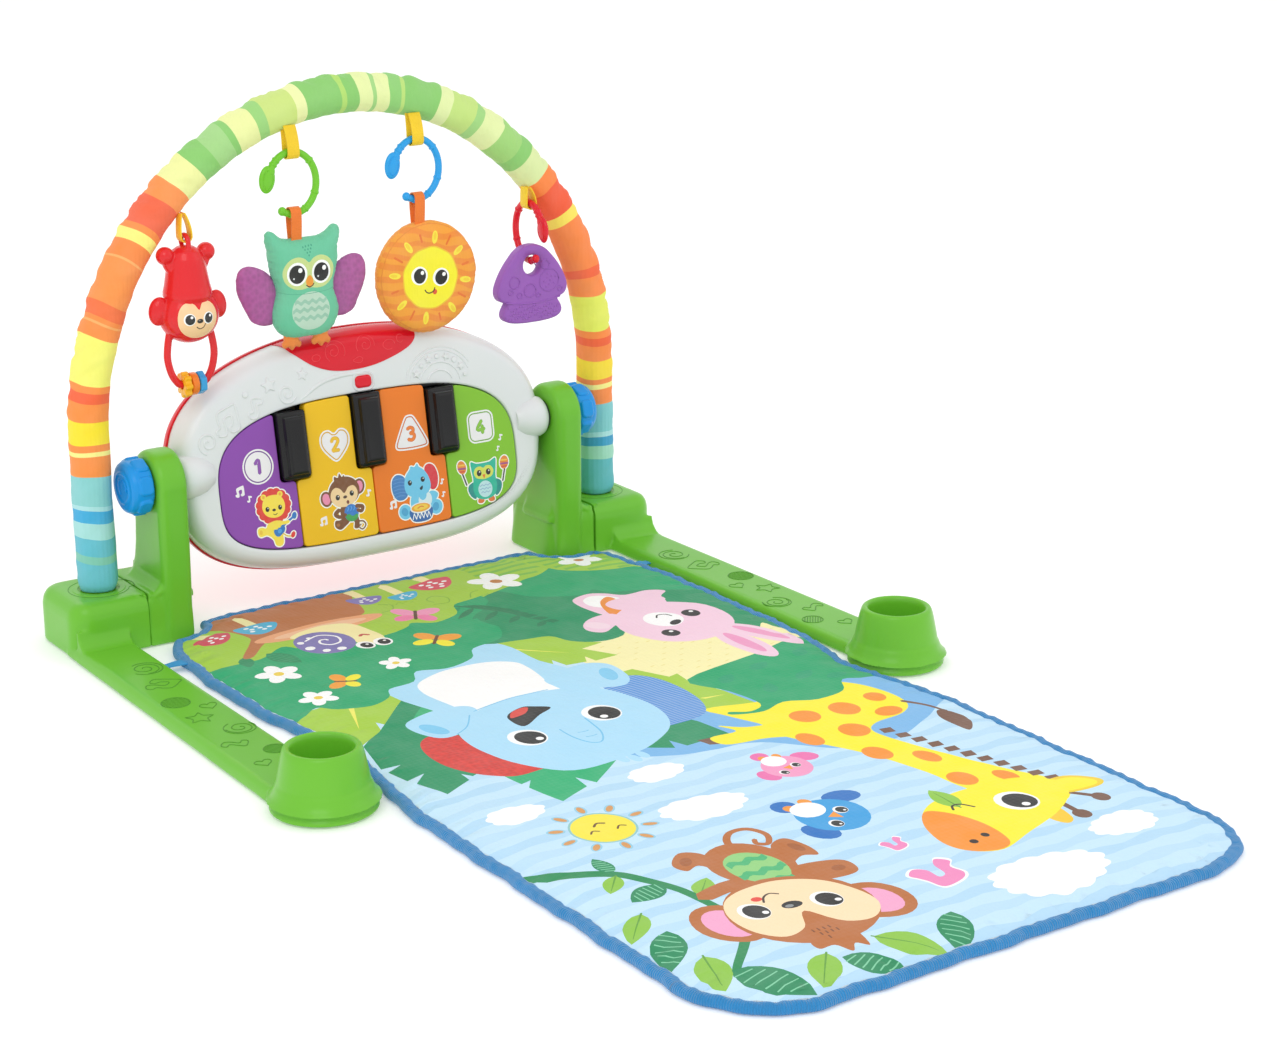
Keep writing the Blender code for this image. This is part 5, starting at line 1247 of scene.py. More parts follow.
def bushes(art):
    lime, deep, green, dark = "#a6d038", "#00925f", "#00a66b", "#0a8d5a"
    # dark bush behind the rabbit, then the fern on it
    art.blob(deep, [(-1, -21.5), (2.0, -23.6), (5.1, -24.1), (5.8, -26.4), (7.8, -28.0), (10.4, -27.8),
                    (12.2, -26.0),
                    (16, -28), (19.0, -32.4), (20.4, -31.8), (21.2, -33.0), (22.5, -31.8), (23.6, -33.2),
                    (25.5, -31.0),
                    (25.5, -9), (2, -9)], per=4)
    art.blob(green, [(8.4, -12.5), (10.0, -15.0), (13.6, -16.8), (15.0, -16.0), (16.2, -17.6), (19.4, -18.4),
                     (21.4, -19.9), (25.5, -20.2), (25.5, -5), (7, -5)], per=4)
    stripes_ground(art, lime)
    art.blob(green, [(-25, -9), (-24.5, -27.8), (-21.5, -28.9), (-19.6, -27.9), (-18.4, -29.3),
                     (-15.8, -30.1),
                     (-13.6, -29.2), (-12.6, -27.5), (-10.2, -27.3), (-8.9, -25.4), (-6.4, -26.2),
                     (-3.4, -25.3),
                     (-2.0, -23.2), (1.2, -22.3), (2.8, -19.6), (2.4, -16.6), (6, -12), (0, -8)], per=4)
    for k, (u, v) in enumerate(((-20.5, -21.2), (-13, -19.5), (-6.5, -21), (-1.5, -16), (-17, -24),
                                (-11.2, -24.6))):
        art.stroke("#0f9f63", [(u, v), (u + 0.7, v + 0.5), (u + 1.5, v + 0.1 - 0.2 * (k % 2))], 0.14)
    # leafy bush on the right, over the giraffe's back
    art.blob(green, [(8.6, -39.9), (9.9, -44), (10.3, -47.7), (8.6, -48.8), (7.0, -48.0), (6.8, -48.6),
                     (9.4, -49.4),
                     (12.0, -48.5), (14.6, -49.9), (17.6, -49.3), (19.2, -47.2), (21.4, -47.9),
                     (23.9, -47.5),
                     (25.5, -46), (25.5, -36.5), (17, -38.1)], per=4)
    for u, v, lean in ((11.5, -41.5, 35), (15.5, -40.6, 20), (20.5, -39.8, 40), (13.2, -45.2, 60),
                       (17.4, -44.4, 25),
                       (22.2, -43.6, 50), (19.6, -46.0, 10)):
        c, s = math.cos(math.radians(lean)), math.sin(math.radians(lean))
        art.leaf("#0aa070", (u - 1.2 * c, v - 1.2 * s), (u + 1.2 * c, v + 1.2 * s), 1.3)
    # fern
    stem = spline([(2.3, -12.2), (4.3, -15.0), (5.9, -18.0), (7.4, -21.4)], 6, closed=False)
    for k in range(2, len(stem) - 1, 2):
        reach = 3.9 - 0.14 * k
        art.leaf(deep if k % 4 else "#007d51", stem[k], stem[k] + (-reach * 0.80, -reach * 0.55), 0.75)
        art.leaf("#007d51", stem[k], stem[k] + (reach * 0.62, -reach * 0.46), 0.75)
    art.stroke("#007d51", stem[::6], 0.3, 0.12)
    # lime ground at the arch's end, scalloped towards the mat's foot
    art.blob(lime, [(-25, -2), (-24.5, -12.6), (-21.6, -14.5), (-18.3, -15.2), (-15.4, -13.6), (-14, -14.9),
                    (-10.6, -15.9), (-7.2, -16.1), (-4.0, -15.2), (-3.0, -14.4), (-1.0, -15.3), (1.6, -14.4),
                    (2.7, -12.1), (5.2, -11.6), (7.8, -10.6), (8.4, -7), (5, -2)], per=4)
    for k in range(7):
        art.stroke("#8fbf2f", [(-2.6 + 0.5 * k, -8.4 - 0.35 * (k % 3)),
                               (-2.3 + 0.5 * k, -8.8 - 0.3 * (k % 2))], 0.13)
    for line in ([(1.3, -10.9), (2.6, -11.2), (3.2, -10.0), (2.4, -8.9), (1.4, -9.4), (1.6, -10.4)],
                 [(4.9, -11.3), (5.6, -10.2), (6.5, -10.0)],
                 [(-3.9, -10.6), (-2.6, -10.2), (-2.0, -9.0), (-2.9, -8.2)]):
        art.stroke("#86b92f", line, 0.13)
    art.leaf(dark, (-19.2, -13.9), (-19.7, -16.4), 1.3)
    art.leaf(dark, (-17.2, -14.3), (-15.6, -17.8), 2.0, stripes="#2aa56f")
    for centre, radius, lean, heart in (((9.3, -8.5), 2.5, 10, "#c8803e"),
                                        ((19.2, -7.3), 2.1, 40, "#c8803e"),
                                        ((-18.5, -19.2), 1.9, 20, "#f0d34a"),
                                        ((-9.3, -22.7), 1.35, 0, "#f0d34a"),
                                        ((-18.4, -26.0), 1.6, 30, "#f0d34a")):
        art.flower(centre, radius, lean, heart)
    art.butterfly((-1.6, -12.6), 2.0, -28, "#f49ac1", "#f27fae", "#5d3a20")
    art.butterfly((-3.5, -19.4), 1.9, -38, "#f5a01f", "#f7ec1c")
    art.butterfly((-14.7, -23.8), 1.5, 62, "#f5a01f", "#f7ec1c")


def stripes_ground(art, lime):
    """Lime lobes with mid-green stripes behind the flowers, on the right."""
    for points in ([(3, -1), (3, -12), (6.5, -11.6), (9.4, -10.6), (11.6, -9.6), (13.4, -9.2), (15.4, -8.0),
                    (17, -6), (18, -1)],
                   [(14, -1), (15.4, -8.0), (17.4, -10.4), (20.0, -11.6), (23.2, -11.9), (26, -11),
                    (26, -1)]):
        art.blob(lime, points, per=4)
        outline = spline(points, 4)
        for k in range(8):
            v = -2.9 - 1.25 * k
            u = np.linspace(outline[:, 0].min() + 0.3, min(outline[:, 0].max() - 0.3, 25.0), 26)
            wave = v + 0.06 * (u - 14) + 0.12 * np.sin(0.9 * u + k)
            keep = inside(outline, np.stack([u, wave - 0.6], 1)) & inside(outline,
                                                                          np.stack([u, wave + 0.2], 1))
            if keep.sum() > 3:
                u, wave = u[keep], wave[keep]
                art.add("#7fc044", np.concatenate([np.stack([u, wave - 0.52], 1),
                                                   np.stack([u, wave], 1)[::-1]]))


def log_and_snail(art):
    art.blob("#bf733b", [(-18.3, -3.0), (-17.6, -6.0), (-16.6, -9.6), (-17.2, -11.2), (-19.2, -13.9),
                         (-18.4, -14.3),
                         (-16.2, -12.0), (-14, -10.9), (-9, -10.5), (-5.6, -10.0), (-4.6, -8.4),
                         (-4.1, -5.6),
                         (-3.4, -2.8), (-10, -2.0)], per=4)
    art.oval("#f0a977", (-10.4, -11.1), (6.4, 1.35), 2, steps=30)
    art.oval("#f7c39a", (-10.3, -11.15), (4.6, 0.75), 2, steps=26)
    art.mushroom("#d8465c", (-19.1, -7.9), 1.75, (-20.0, -5.2), 12)
    art.mushroom("#49b6dd", (-14.8, -7.7), 1.95, (-15.0, -4.2), -4, 7)
    art.mushroom("#857bbf", (-3.2, -6.2), 1.65, (-3.2, -3.0), -6)
    art.mushroom("#49b6dd", (0.3, -7.1), 1.45, (0.1, -3.6), 4)
    art.mushroom("#dd4a5e", (4.1, -5.6), 2.15, (4.0, -3.0), 8, 8)
    art.blob("#fbefae", [(-13.6, -12.3), (-12.6, -11.1), (-9.9, -10.7), (-7.6, -11.6), (-6.9, -13.9),
                         (-6.8, -16.2),
                         (-7.6, -17.2), (-9.3, -16.8), (-10, -14)][::-1])
    art.oval("#7f77b6", (-11.8, -14.7), (2.55, 2.95), 8, steps=30)
    turns = np.linspace(0, 2 * np.pi * 1.35, 17)
    coil = np.stack([-11.5 + (0.18 + 0.19 * turns) * np.cos(turns + 0.4),
                     -14.5 + (0.18 + 0.21 * turns) * np.sin(turns + 0.4)], 1)
    art.stroke("#ffffff", coil[::2], 0.22)
    for u, v, r in ((-13.6, -13.7, 0.32), (-13.5, -15.3, 0.45), (-12.6, -16.6, 0.36), (-11.3, -16.9, 0.42),
                    (-12.4, -12.9, 0.24)):
        art.oval("#ffffff", (u, v), (r, r), steps=12)
    art.stroke("#c4493c", [(-8.5, -15.0), (-8.1, -14.7), (-7.7, -15.1)], 0.34)
    art.eye((-9.1, -17.3), 0.56, (0.25, 0.35), 1.5)
    art.eye((-7.4, -17.3), 0.56, (0.25, 0.35), 1.5)


def rabbit(art):
    pink, deep = "#f7d0e4", "#f09cc6"
    art.blob(pink, [(11.4, -20), (11.8, -17.6), (13.8, -16.8), (15.3, -17.5), (16.6, -18.9), (19.1, -18.6),
                    (20.5, -19.7),
                    (19.3, -20.8), (18.4, -23.0), (15.8, -24), (12.4, -23.4)][::-1])
    art.blob("#ffffff", [(12.3, -20.2), (12.4, -18.4), (13.8, -17.5), (15.1, -18.4), (15.7, -20),
                         (14.2, -22)][::-1])
    art.blob("#f08f2a", [(14.9, -18.5), (15.2, -19.6), (14.4, -21.4), (14.5, -23.2), (13.4, -23.9),
                         (12.5, -23.2),
                         (12.7, -21.3), (13.6, -19.4)][::-1])
    for a, b in (((13.1, -23.6), (12.3, -25.4)), ((13.4, -23.7), (13.6, -25.5)),
                 ((13.8, -23.5), (14.9, -24.9))):
        art.leaf("#1c8a52", a, b, 0.8)
    art.blob(pink, [(13.4, -20.6), (14.6, -19.6), (16.8, -19.6), (18.9, -20.2), (18.9, -22), (15.6, -22.6),
                    (13.8, -22.2)][::-1])
    art.blob(pink, [(12.7, -22.7), (10.6, -22.5), (9.0, -23.6), (8.6, -25.2), (9.6, -26.2), (11.4, -25.2),
                    (13.0, -24.6)])
    art.oval("#f9dcea", (10.0, -24.4), (0.8, 1.2), 30, steps=14)
    art.oval(pink, (16.2, -27.3), (5.2, 5.5), 0, steps=34)
    for centre, lean in (((17.9, -35.5), 3), ((20.7, -34.1), 24)):
        art.oval(pink, centre, (1.42, 4.1), lean, steps=26)
        art.oval(deep, (centre[0] + 0.05, centre[1] + 0.2), (0.62, 2.9), lean, steps=20)
    art.oval("#ffffff", (15.7, -26.3), (1.75, 1.95), 0)
    art.oval("#1a1a1a", (16.1, -27.6), (0.72, 0.45), 30, steps=14)
    art.stroke("#2a2a2a", [(15.4, -25.7), (15.9, -25.1), (16.6, -25.3), (16.8, -26.0)], 0.16)
    art.eye((18.6, -26.4), 0.82, (0.3, 0.4), 0)
    art.eye((14.2, -29.6), 0.80, (0.3, 0.4), 0)


def vine_and_monkey(art):
    vine, lime, dark, pale = "#0b8b4f", "#8dc63f", "#0c8a58", "#7fd0a4"
    art.stroke(vine, [(-24, -63.9), (-21, -66.2), (-18.2, -67.9), (-16.6, -70.2), (-15.5, -73.2),
                      (-15.2, -76.8)], 1.15, 0.7)
    art.stroke(vine, [(-14.5, -79.5), (-17.3, -82.6), (-19.3, -84.6), (-20.0, -85.6)], 0.8, 0.5)
    art.leaf(dark, (-17.7, -68.0), (-17.6, -65.2), 1.4, stripes=pale)
    art.leaf(lime, (-17.9, -68.6), (-19.8, -70.8), 1.5, vein="#5f9f2f")
    art.leaf(dark, (-16.0, -71.6), (-19.4, -72.8), 2.2, stripes=pale)
    art.leaf(lime, (-14.9, -74.5), (-12.9, -72.4), 1.7, vein="#5f9f2f")
    art.leaf(lime, (-19.9, -74.6), (-22.5, -77.3), 1.9, vein="#5f9f2f")
    art.leaf(dark, (-19.9, -77.6), (-22.6, -82.0), 2.5, stripes=pale)
    art.leaf(lime, (-20.1, -82.0), (-21.5, -86.4), 2.4, vein="#5f9f2f")
    art.leaf(dark, (-19.8, -84.7), (-16.9, -89.9), 3.0, stripes=pale)
    art.leaf(lime, (-13.3, -86.2), (-16.2, -89.6), 2.3, vein="#5f9f2f")
    art.leaf(dark, (-12.8, -87.2), (-9.9, -90.4), 2.4, stripes=pale)
    art.leaf(lime, (-9.2, -86.0), (-6.2, -90.2), 2.6, vein="#5f9f2f")
    art.leaf(dark, (-2.7, -86.2), (-5.4, -90.4), 2.5, stripes=pale)
    fur, edge, face, pink = "#bb6c2e", "#a65c24", "#fde2b7", "#f5a8ce"
    art.stroke(fur, [(-8.4, -70.5), (-8.3, -68.6), (-7.2, -67.3), (-5.8, -67.5), (-5.2, -69.0),
                     (-5.9, -70.2),
                     (-6.6, -69.8), (-6.4, -69.2)], 0.62, 0.4)
    for foot in ([(-10.6, -71.0), (-10.9, -68.9), (-12.2, -68.0), (-13.7, -69.4), (-13.4, -70.8),
                  (-12.2, -70.5), (-11.3, -72)],
                 [(-6.8, -72.6), (-6.0, -70.6), (-4.5, -70.2), (-3.9, -72.0), (-4.1, -73.7), (-5.3, -73.3),
                  (-6.9, -74)]):
        art.blob(fur, foot[::-1])
    art.oval(edge, (-12.6, -69.5), (0.45, 0.75), -35, steps=12)
    art.oval(edge, (-4.7, -71.9), (0.42, 0.85), 8, steps=12)
    art.blob(fur, [(-7.6, -74.3), (-4.4, -74.8), (-3.2, -75.8), (-3.5, -77.4), (-5.0, -77.6),
                   (-7.6, -76.6)][::-1])
    art.oval(edge, (-4.4, -76.3), (0.55, 0.45), 0, steps=12)
    art.stroke(fur, [(-9.6, -75.6), (-12.0, -74.4), (-14.9, -74.9)], 1.9, 1.5)
    art.oval(fur, (-9.0, -72.3), (3.0, 3.7), 6, steps=28)
    art.oval("#93d27f", (-9.0, -73.0), (2.05, 2.75), 6, steps=26)
    for v in (-71.4, -73.3, -75.0):
        half = math.sqrt(max(0.0, 1 - ((v + 73.0) / 2.75) ** 2)) * 1.95
        u = np.linspace(-9.05 - half, -8.95 + half, 13)
        top = v + 0.22 * np.sin(4.2 * u)
        art.add("#48b877", np.concatenate([np.stack([u, top - 0.75], 1), np.stack([u, top], 1)[::-1]]))
    for centre, half, high, lean in (((-16.0, -79.2), 2.3, 3.05, 6), ((-5.6, -81.8), 2.6, 3.05, 10)):
        art.oval(fur, centre, (half, high), lean, steps=26)
        art.oval(pink, centre, (half * 0.66, high * 0.72), lean, steps=22)
    art.oval(fur, (-10.5, -80.0), (5.35, 5.3), 0, steps=34)
    art.blob(fur, [(-12.9, -84.2), (-13.3, -85.5), (-12.1, -85.6), (-11.6, -86.9), (-10.8, -86.1),
                   (-10.1, -86.8),
                   (-9.8, -84.2)])
    art.blob(face, [(-15.5, -78.6), (-14.4, -76.5), (-12.2, -75.4), (-9.2, -75.4), (-6.9, -76.8),
                    (-5.6, -79.2),
                    (-5.5, -82.0), (-7.2, -83.8), (-9.2, -83.2), (-10.6, -80.4), (-12.1, -82.4),
                    (-14.0, -82.9),
                    (-15.3, -81.2)][::-1])
    for k in range(9):
        u, v = -12.0 + 0.45 * (k % 4) + 0.2 * (k // 4), -83.0 - 0.65 * (k // 4)
        art.stroke("#7d4418", [(u, v), (u - 0.05, v - 0.38)], 0.13)
    art.oval("#e8402f", (-12.2, -77.2), (0.42, 0.36), steps=12)
    art.stroke("#3a2314", [(-12.1, -77.9), (-11.6, -77.2), (-10.9, -76.9), (-10.4, -77.3)], 0.17)
    art.oval("#1d1d1d", (-10.7, -79.2), (0.82, 0.52), 0, steps=16)
    art.oval("#8b8f92", (-11.0, -79.3), (0.34, 0.22), 0, steps=10)
    art.eye((-13.4, -78.8), 0.92, (0.5, -0.45), 1.22)
    art.eye((-8.0, -79.8), 0.92, (0.5, -0.45), 1.22)


# ---- the mat itself --------------------------------------------------------------------------------
MAT = (-0.2365, 0.2475, -0.9090, -0.0135)
MAT_TOP, MAT_EDGE = 0.0118, 0.0062
BINDING = 0.0086


def bell(value, centre, width):
    return math.exp(-(((value - centre) / width) ** 2))


def mat_border():
    """The mat's outline: rounded corners, sides that pull in beside the cups and at the straps."""
    box = rounded_rect(MAT[0], MAT[1], MAT[2], MAT[3], (0.075, 0.075, 0.100, 0.100), steps=20)
    line = even(box, 620)
    middle = (MAT[0] + MAT[1]) / 2
    out = []
    for x, y in line:
        if x < middle:
            pull = 0.016 * bell(y, -0.370, 0.085) + 0.003 * bell(y, -0.106, 0.03)
        else:
            pull = -0.0155 * bell(y, -0.440, 0.060) - 0.007 * bell(y, -0.106, 0.03)
        x = x + pull * abs(x - middle) / (MAT[1] - middle)
        away = np.array([min(abs(x) - 0.2035, 0.0), min(y + 0.022, 0.0)])
        size, room = float(np.linalg.norm(away)), 0.0270
        if size < room and size > 0:
            beside = max(abs(x) - 0.2035, 0.0)
            x, y = math.copysign(0.2035 + beside + away[0] / size * room, x), -0.022 + away[1] / size * room
        out.append((x, y))
    line = np.array(out)
    run = np.linspace(0, 2 * np.pi, len(line), endpoint=False)
    ripple = 0.0007 * np.sin(31 * run + 1.0) + 0.0006 * np.sin(53 * run) + 0.0004 * np.sin(97 * run + 2.0)
    return grown(line, ripple - 0.0009)


def mat_height(points, away, where):
    """Height of the mat's top: full in the middle, pinched and puckered near its binding."""
    shoulder = 1 - np.exp(-np.maximum(away - BINDING * 0.7, 0.0) / 0.012)
    low = np.array([noise.fractal(Vector((x * 9.0, y * 9.0, 0.3)), 0.6, 2.0, 3) for x, y in points])
    fine = np.array([noise.noise(Vector((x * 55.0, y * 55.0, 2.0))) for x, y in points])
    pucker = (np.sin(where * 2 * np.pi / 0.0205 + 2.2 * np.sin(where * 41.0))
              + 0.6 * np.sin(where * 2 * np.pi / 0.0117 + 1.4 * np.sin(where * 67.0)))
    near = np.exp(-((away - 0.017) / 0.011) ** 2)
    return (MAT_EDGE + (MAT_TOP - MAT_EDGE) * shoulder + 0.00125 * low * shoulder + 0.00022 * fine
            + 0.00075 * pucker * near)


def play_mat():
    """The padded mat with its print."""
    border = mat_border()
    inner = even(grown(border, -BINDING), 620)
    verts, tris, colours, patterns = meshed_artwork(mat_artwork(), inner, 0.0052)
    away, where = edge_distance(border[::2], verts)
    tops = mat_height(verts, away, where)
    step = 0.0008
    slopes = []
    for shift in ((step, 0.0), (0.0, step)):
        near, at = edge_distance(border[::2], verts + shift)
        slopes.append((mat_height(verts + shift, near, at) - tops) / step)
    normals = np.column_stack([-slopes[0], -slopes[1], np.ones(len(verts))])
    normals /= np.linalg.norm(normals, axis=1, keepdims=True)
    count = len(verts)
    base = 0.0008
    solid = np.concatenate([flat(verts, tops), flat(verts, base)])
    rim = rim_of(tris)
    faces = [tuple(t) for t in tris] + [tuple(t + count)[::-1] for t in tris]
    faces += [(b, a, a + count, b + count) for a, b in rim.tolist()]
    made = mesh_object("play_mat_cloth", solid + (0, ARCH_Y, 0), [tuple(map(int, f)) for f in faces])
    blank = np.array(linear("#d9ecf7"))
    paint_faces(made, np.concatenate([colours, np.tile(blank, (len(tris) + len(rim), 1))]),
                np.concatenate([patterns, np.ones(len(tris) + len(rim))]))
    under = np.tile((0.0, 0.0, -1.0), (count, 1))
    made.data.normals_split_custom_set_from_vertices(np.concatenate([normals, under]).tolist())
    piece(made, "base", printed_fabric("mat_print", crinkle=0.0008, fade=0.05), ("play_mat",))
    mat_binding(border)
    mat_loops()


def mat_binding(border):
    """Ribbed blue tape folded round the mat's edge."""
    section = [(1.1, 0.0010), (0.9, 0.0005), (0.3, 0.0004), (0.02, 0.0022), (-0.02, 0.0042), (0.06, 0.0062),
               (0.25, 0.0078), (0.5, 0.0083), (0.8, 0.0078), (1.02, 0.0070), (1.10, 0.0062), (1.08, 0.0045)]
    line = even(border, 1500)
    run = np.linspace(0, 2 * np.pi, len(line), endpoint=False)
    length = float(np.linalg.norm(np.roll(line, -1, 0) - line, axis=1).sum())
    rings = []
    for index, (share, z) in enumerate(section):
        lumps = 0.00035 * np.sin(149 * run + index) + 0.00030 * np.sin(233 * run) if 5 <= index <= 9 else 0.0
        wander = 0.0004 * np.sin(83 * run + 0.5) if index > 7 else 0.0
        rings.append(flat(grown(line, -share * BINDING + wander), z + lumps))
    verts, faces = lofted(rings, closed=True)
    made = mesh_object("mat_binding", verts + (0, ARCH_Y, 0), faces)
    shut(made)
    layer = made.data.attributes.new("along", "FLOAT", "POINT")
    along = np.tile(np.linspace(0, length, len(line), endpoint=False), len(section))
    layer.data.foreach_set("value", along.astype(np.float32))
    tape = woven("binding_tape", "#1787c9", ribs=length / round(length / 0.0019), rough=0.7, sheen=0.3)
    piece(made, "base", tape)


def mat_loops():
    """Blue loops that tie the mat to the slots in both side frames."""
    tape = woven("loop_tape", "#2b93cf", rough=0.7)
    for sign, side, inner_x in ((-1, "left", 0.2330), (1, "right", 0.2380)):
        path = np.array([(inner_x - 0.0040, -0.1080, 0.0065), (inner_x + 0.004, -0.1075, 0.0068),
                         (0.2450, -0.1062, 0.0060),
                         (0.2505, -0.1055, 0.0054)])
        line = spline(path, 6, closed=False)
        width = 0.0052 + 0.0008 * np.sin(np.linspace(0, 6, len(line)))
        rings = [np.array([(sign * x, y - w, z + 0.0004), (sign * x, y, z + 0.0008),
                           (sign * x, y + w, z + 0.0004),
                           (sign * x, y + w, z - 0.0004), (sign * x, y, z), (sign * x, y - w, z - 0.0004)])
                 for (x, y, z), w in zip(line, width)]
        verts, faces = lofted(rings)
        made = mesh_object(f"mat_loop_{side}", verts + (0, ARCH_Y, 0), faces)
        shut(made, 60)
        piece(made, "base", tape, (f"mat_strap_{side}",))


play_mat()


# ---- piano -----------------------------------------------------------------------------------------
AT_PANEL = (Matrix.Translation((0, ARCH_Y - 0.016, 0.140)) @ Matrix.Rotation(math.radians(-9.5), 4, "X")
            @ Matrix.Translation((0, -0.0085, 0.0100)))
ROLL, ROLL_DEPTH, SPLIT, BACK = 0.0140, 0.0200, 0.0265, 0.0475
KEY_W, KEY_FACE = 0.077, 0.0010
KEY_COLOURS = ("#8f4db0", "#f4c216", "#f17f26", "#87c434")
KEY_DARK = ("#6d3590", "#d8a412", "#cf6418", "#6aa323")


def superellipse(half, up, down, power_up, power_down, centre_v, steps=700):
    angle = 2 * np.pi * np.arange(steps) / steps
    c, s = np.cos(angle), np.sin(angle)
    high, power = np.where(s >= 0, up, down), np.where(s >= 0, power_up, power_down)
    return np.stack([half * np.sign(c) * np.abs(c) ** (2 / power),
                     centre_v + high * np.sign(s) * np.abs(s) ** (2 / power)], 1)


PANEL = even(superellipse(0.1865, 0.098, 0.112, 2.15, 3.2, 0.0), 260)
OPENING = even(superellipse(0.153, 0.075, 0.057, 3.0, 3.6, -0.035), 260)


def rolled(growth=0.0, steps=12):
    """The white front's rolled rim from its side to its face: (growth, depth)."""
    angles = np.linspace(0, np.pi / 2, steps)
    return [(growth - ROLL * (1 - math.cos(a)), ROLL_DEPTH * (1 - math.sin(a)) - growth) for a in angles]


def face_depth(points):
    """Depth of the white front under each point."""
    away, _ = edge_distance(PANEL, points)
    share = np.clip(away / ROLL, 0, 1)
    return ROLL_DEPTH * (1 - np.sin(np.arccos(1 - share)))


def on_face(points, proud=0.0):
    points = np.asarray(points, float)
    return upright(points, face_depth(points) - proud)


def cut_with(made, part, operation="DIFFERENCE"):
    tool = shut(mesh_object("cutter", *part))
    step = made.modifiers.new("cut", "BOOLEAN")
    step.operation, step.solver, step.object = operation, "EXACT", tool
    bake_modifiers(made)
    bpy.data.objects.remove(tool)
    return made


def pad(outline, proud, depth, soft=0.0012):
    """A small raised shape with a rounded edge on a flat face."""
    rounding = [(-soft * (1 - math.cos(a)), depth - proud * math.sin(a)) for a in np.linspace(0, np.pi / 2,
                                                                                              5)]
    return levelled(outline, [(0, depth + 0.001)] + rounding, upright)


def front_housing():
    """The white front shell and the bed under the keys."""
    rings = [upright(grown(PANEL, g), d) for g, d in [(0, SPLIT)] + rolled()]
    rings += [upright(grown(PANEL, -ROLL - 0.25 * MM), -0.00002)]
    rounding = ((0.0020, 0.0), (0.0012, 0.0002), (0.0005, 0.0007), (0.0001, 0.0014), (0.0, 0.0022),
                (0.0, 0.0150),
                (0.0030, 0.0152))
    rings += [upright(grown(OPENING, g), d) for g, d in rounding]
    rings += [upright(grown(PANEL, -0.0040), 0.0230), upright(grown(PANEL, -0.0040), SPLIT)]
    parts = [lofted(rings, closed=True)]
    drum = ((0.0120, 0.1560), (0.0168, 0.1640), (0.0190, 0.1715), (0.0197, 0.1770), (0.0195, 0.1815),
            (0.0184, 0.1852), (0.0160, 0.1872), (0.0110, 0.1876))
    for sign, _ in SIDES:
        parts.append(mirrored(turned(drum, (0.0085, -0.0100), sideways, steps=56), sign))
    solid_piece("piano_front", moved(merged(parts), AT_PANEL), "piano", WHITE,
                ("front_housing",), 35)
    bed = levelled(grown(OPENING, 0.0010), ((0, 0.0151), (0, 0.0156)), upright)
    solid_piece("key_bed", moved(bed, AT_PANEL), "piano", BLACK)


def face_relief():
    """Raised music shapes on the white face, the ridge over the keys and the speaker's fan."""
    parts = []

    def line(points, radius=0.00135, sink=0.35):
        path = on_face(even(np.asarray(points, float), max(8, len(points)), False), -radius * sink)
        parts.append(tube(path, radius, 8, side=np.array([0, 1.0, 0])))

    def lump(outline, proud=0.0014):
        middle = float(face_depth(outline.mean(0, keepdims=True))[0])
        centre = outline.mean(0)
        rings = [upright(outline, middle + 0.0012)]
        for a in np.linspace(0, np.pi / 2, 6):
            rings.append(upright(centre + (outline - centre) * (1 - 0.30 * (1 - math.cos(a))),
                                 middle + 0.0002 - proud * math.sin(a)))
        rings.append(upright(centre + (outline - centre) * 0.02, middle + 0.0002 - proud))
        parts.append(lofted(rings))

    for centre, radius, start in (((-0.1580, 0.0170), 0.0098, 1.0), ((-0.0770, 0.0490), 0.0092, 2.4)):
        line(swirl(centre, radius, 1.55, start), 0.0013)
    line(note_outline((-0.1370, 0.0340), 0.0118, 0.15, double=True), 0.0013)
    line(note_outline((-0.1090, 0.0410), 0.0088, 0.10), 0.0013)
    lump(star_outline((-0.0940, 0.0590), 0.0080, 0.15))
    lump(star_outline((-0.0600, 0.0640), 0.0062, -0.2))
    lump(arc((-0.1175, 0.0540), 0.0030, 0, 345, 20))
    ridge = spline([(-0.0700, 0.0385), (-0.0600, 0.0440), (-0.0440, 0.0530), (-0.0280, 0.0570),
                    (-0.0120, 0.0577),
                    (0.0060, 0.0560), (0.0240, 0.0520)], 8, closed=False)
    sizes = 0.0024 * np.sin(np.linspace(0.10, np.pi - 0.05, len(ridge))) ** 0.6
    parts.append(tube(on_face(ridge, -0.0011), sizes, 10, side=np.array([0, 1.0, 0])))
    centre = (0.0790, 0.0360)
    for radius, start, end, width in ((0.0135, 15, 190, 0.0011), (0.0215, 5, 195, 0.0011),
                                      (0.0330, 20, 178, 0.0010),
                                      (0.0365, 28, 170, 0.0008)):
        fan = arc(centre, (radius, radius * 0.93), start, end, 40)
        keep = fan[edge_distance(OPENING, fan)[0] > 0.0030]
        keep = keep[~inside(OPENING, keep)]
        line(keep, width, 0.3)
    for k in range(9):
        angle = math.radians(12 + 20 * k)
        at = (centre[0] + 0.0272 * math.cos(angle), centre[1] + 0.0253 * math.sin(angle))
        if inside(grown(OPENING, 0.006), np.array([at]))[0]:
            continue
        lump(star_outline(at, 0.0042, 0.5 * k) if k % 2 else arc(at, 0.0021 + 0.0004 * (k % 3), 0, 340, 16),
             0.0017)
    solid_piece("face_relief", moved(merged(parts), AT_PANEL), "piano", WHITE, sharp=50)


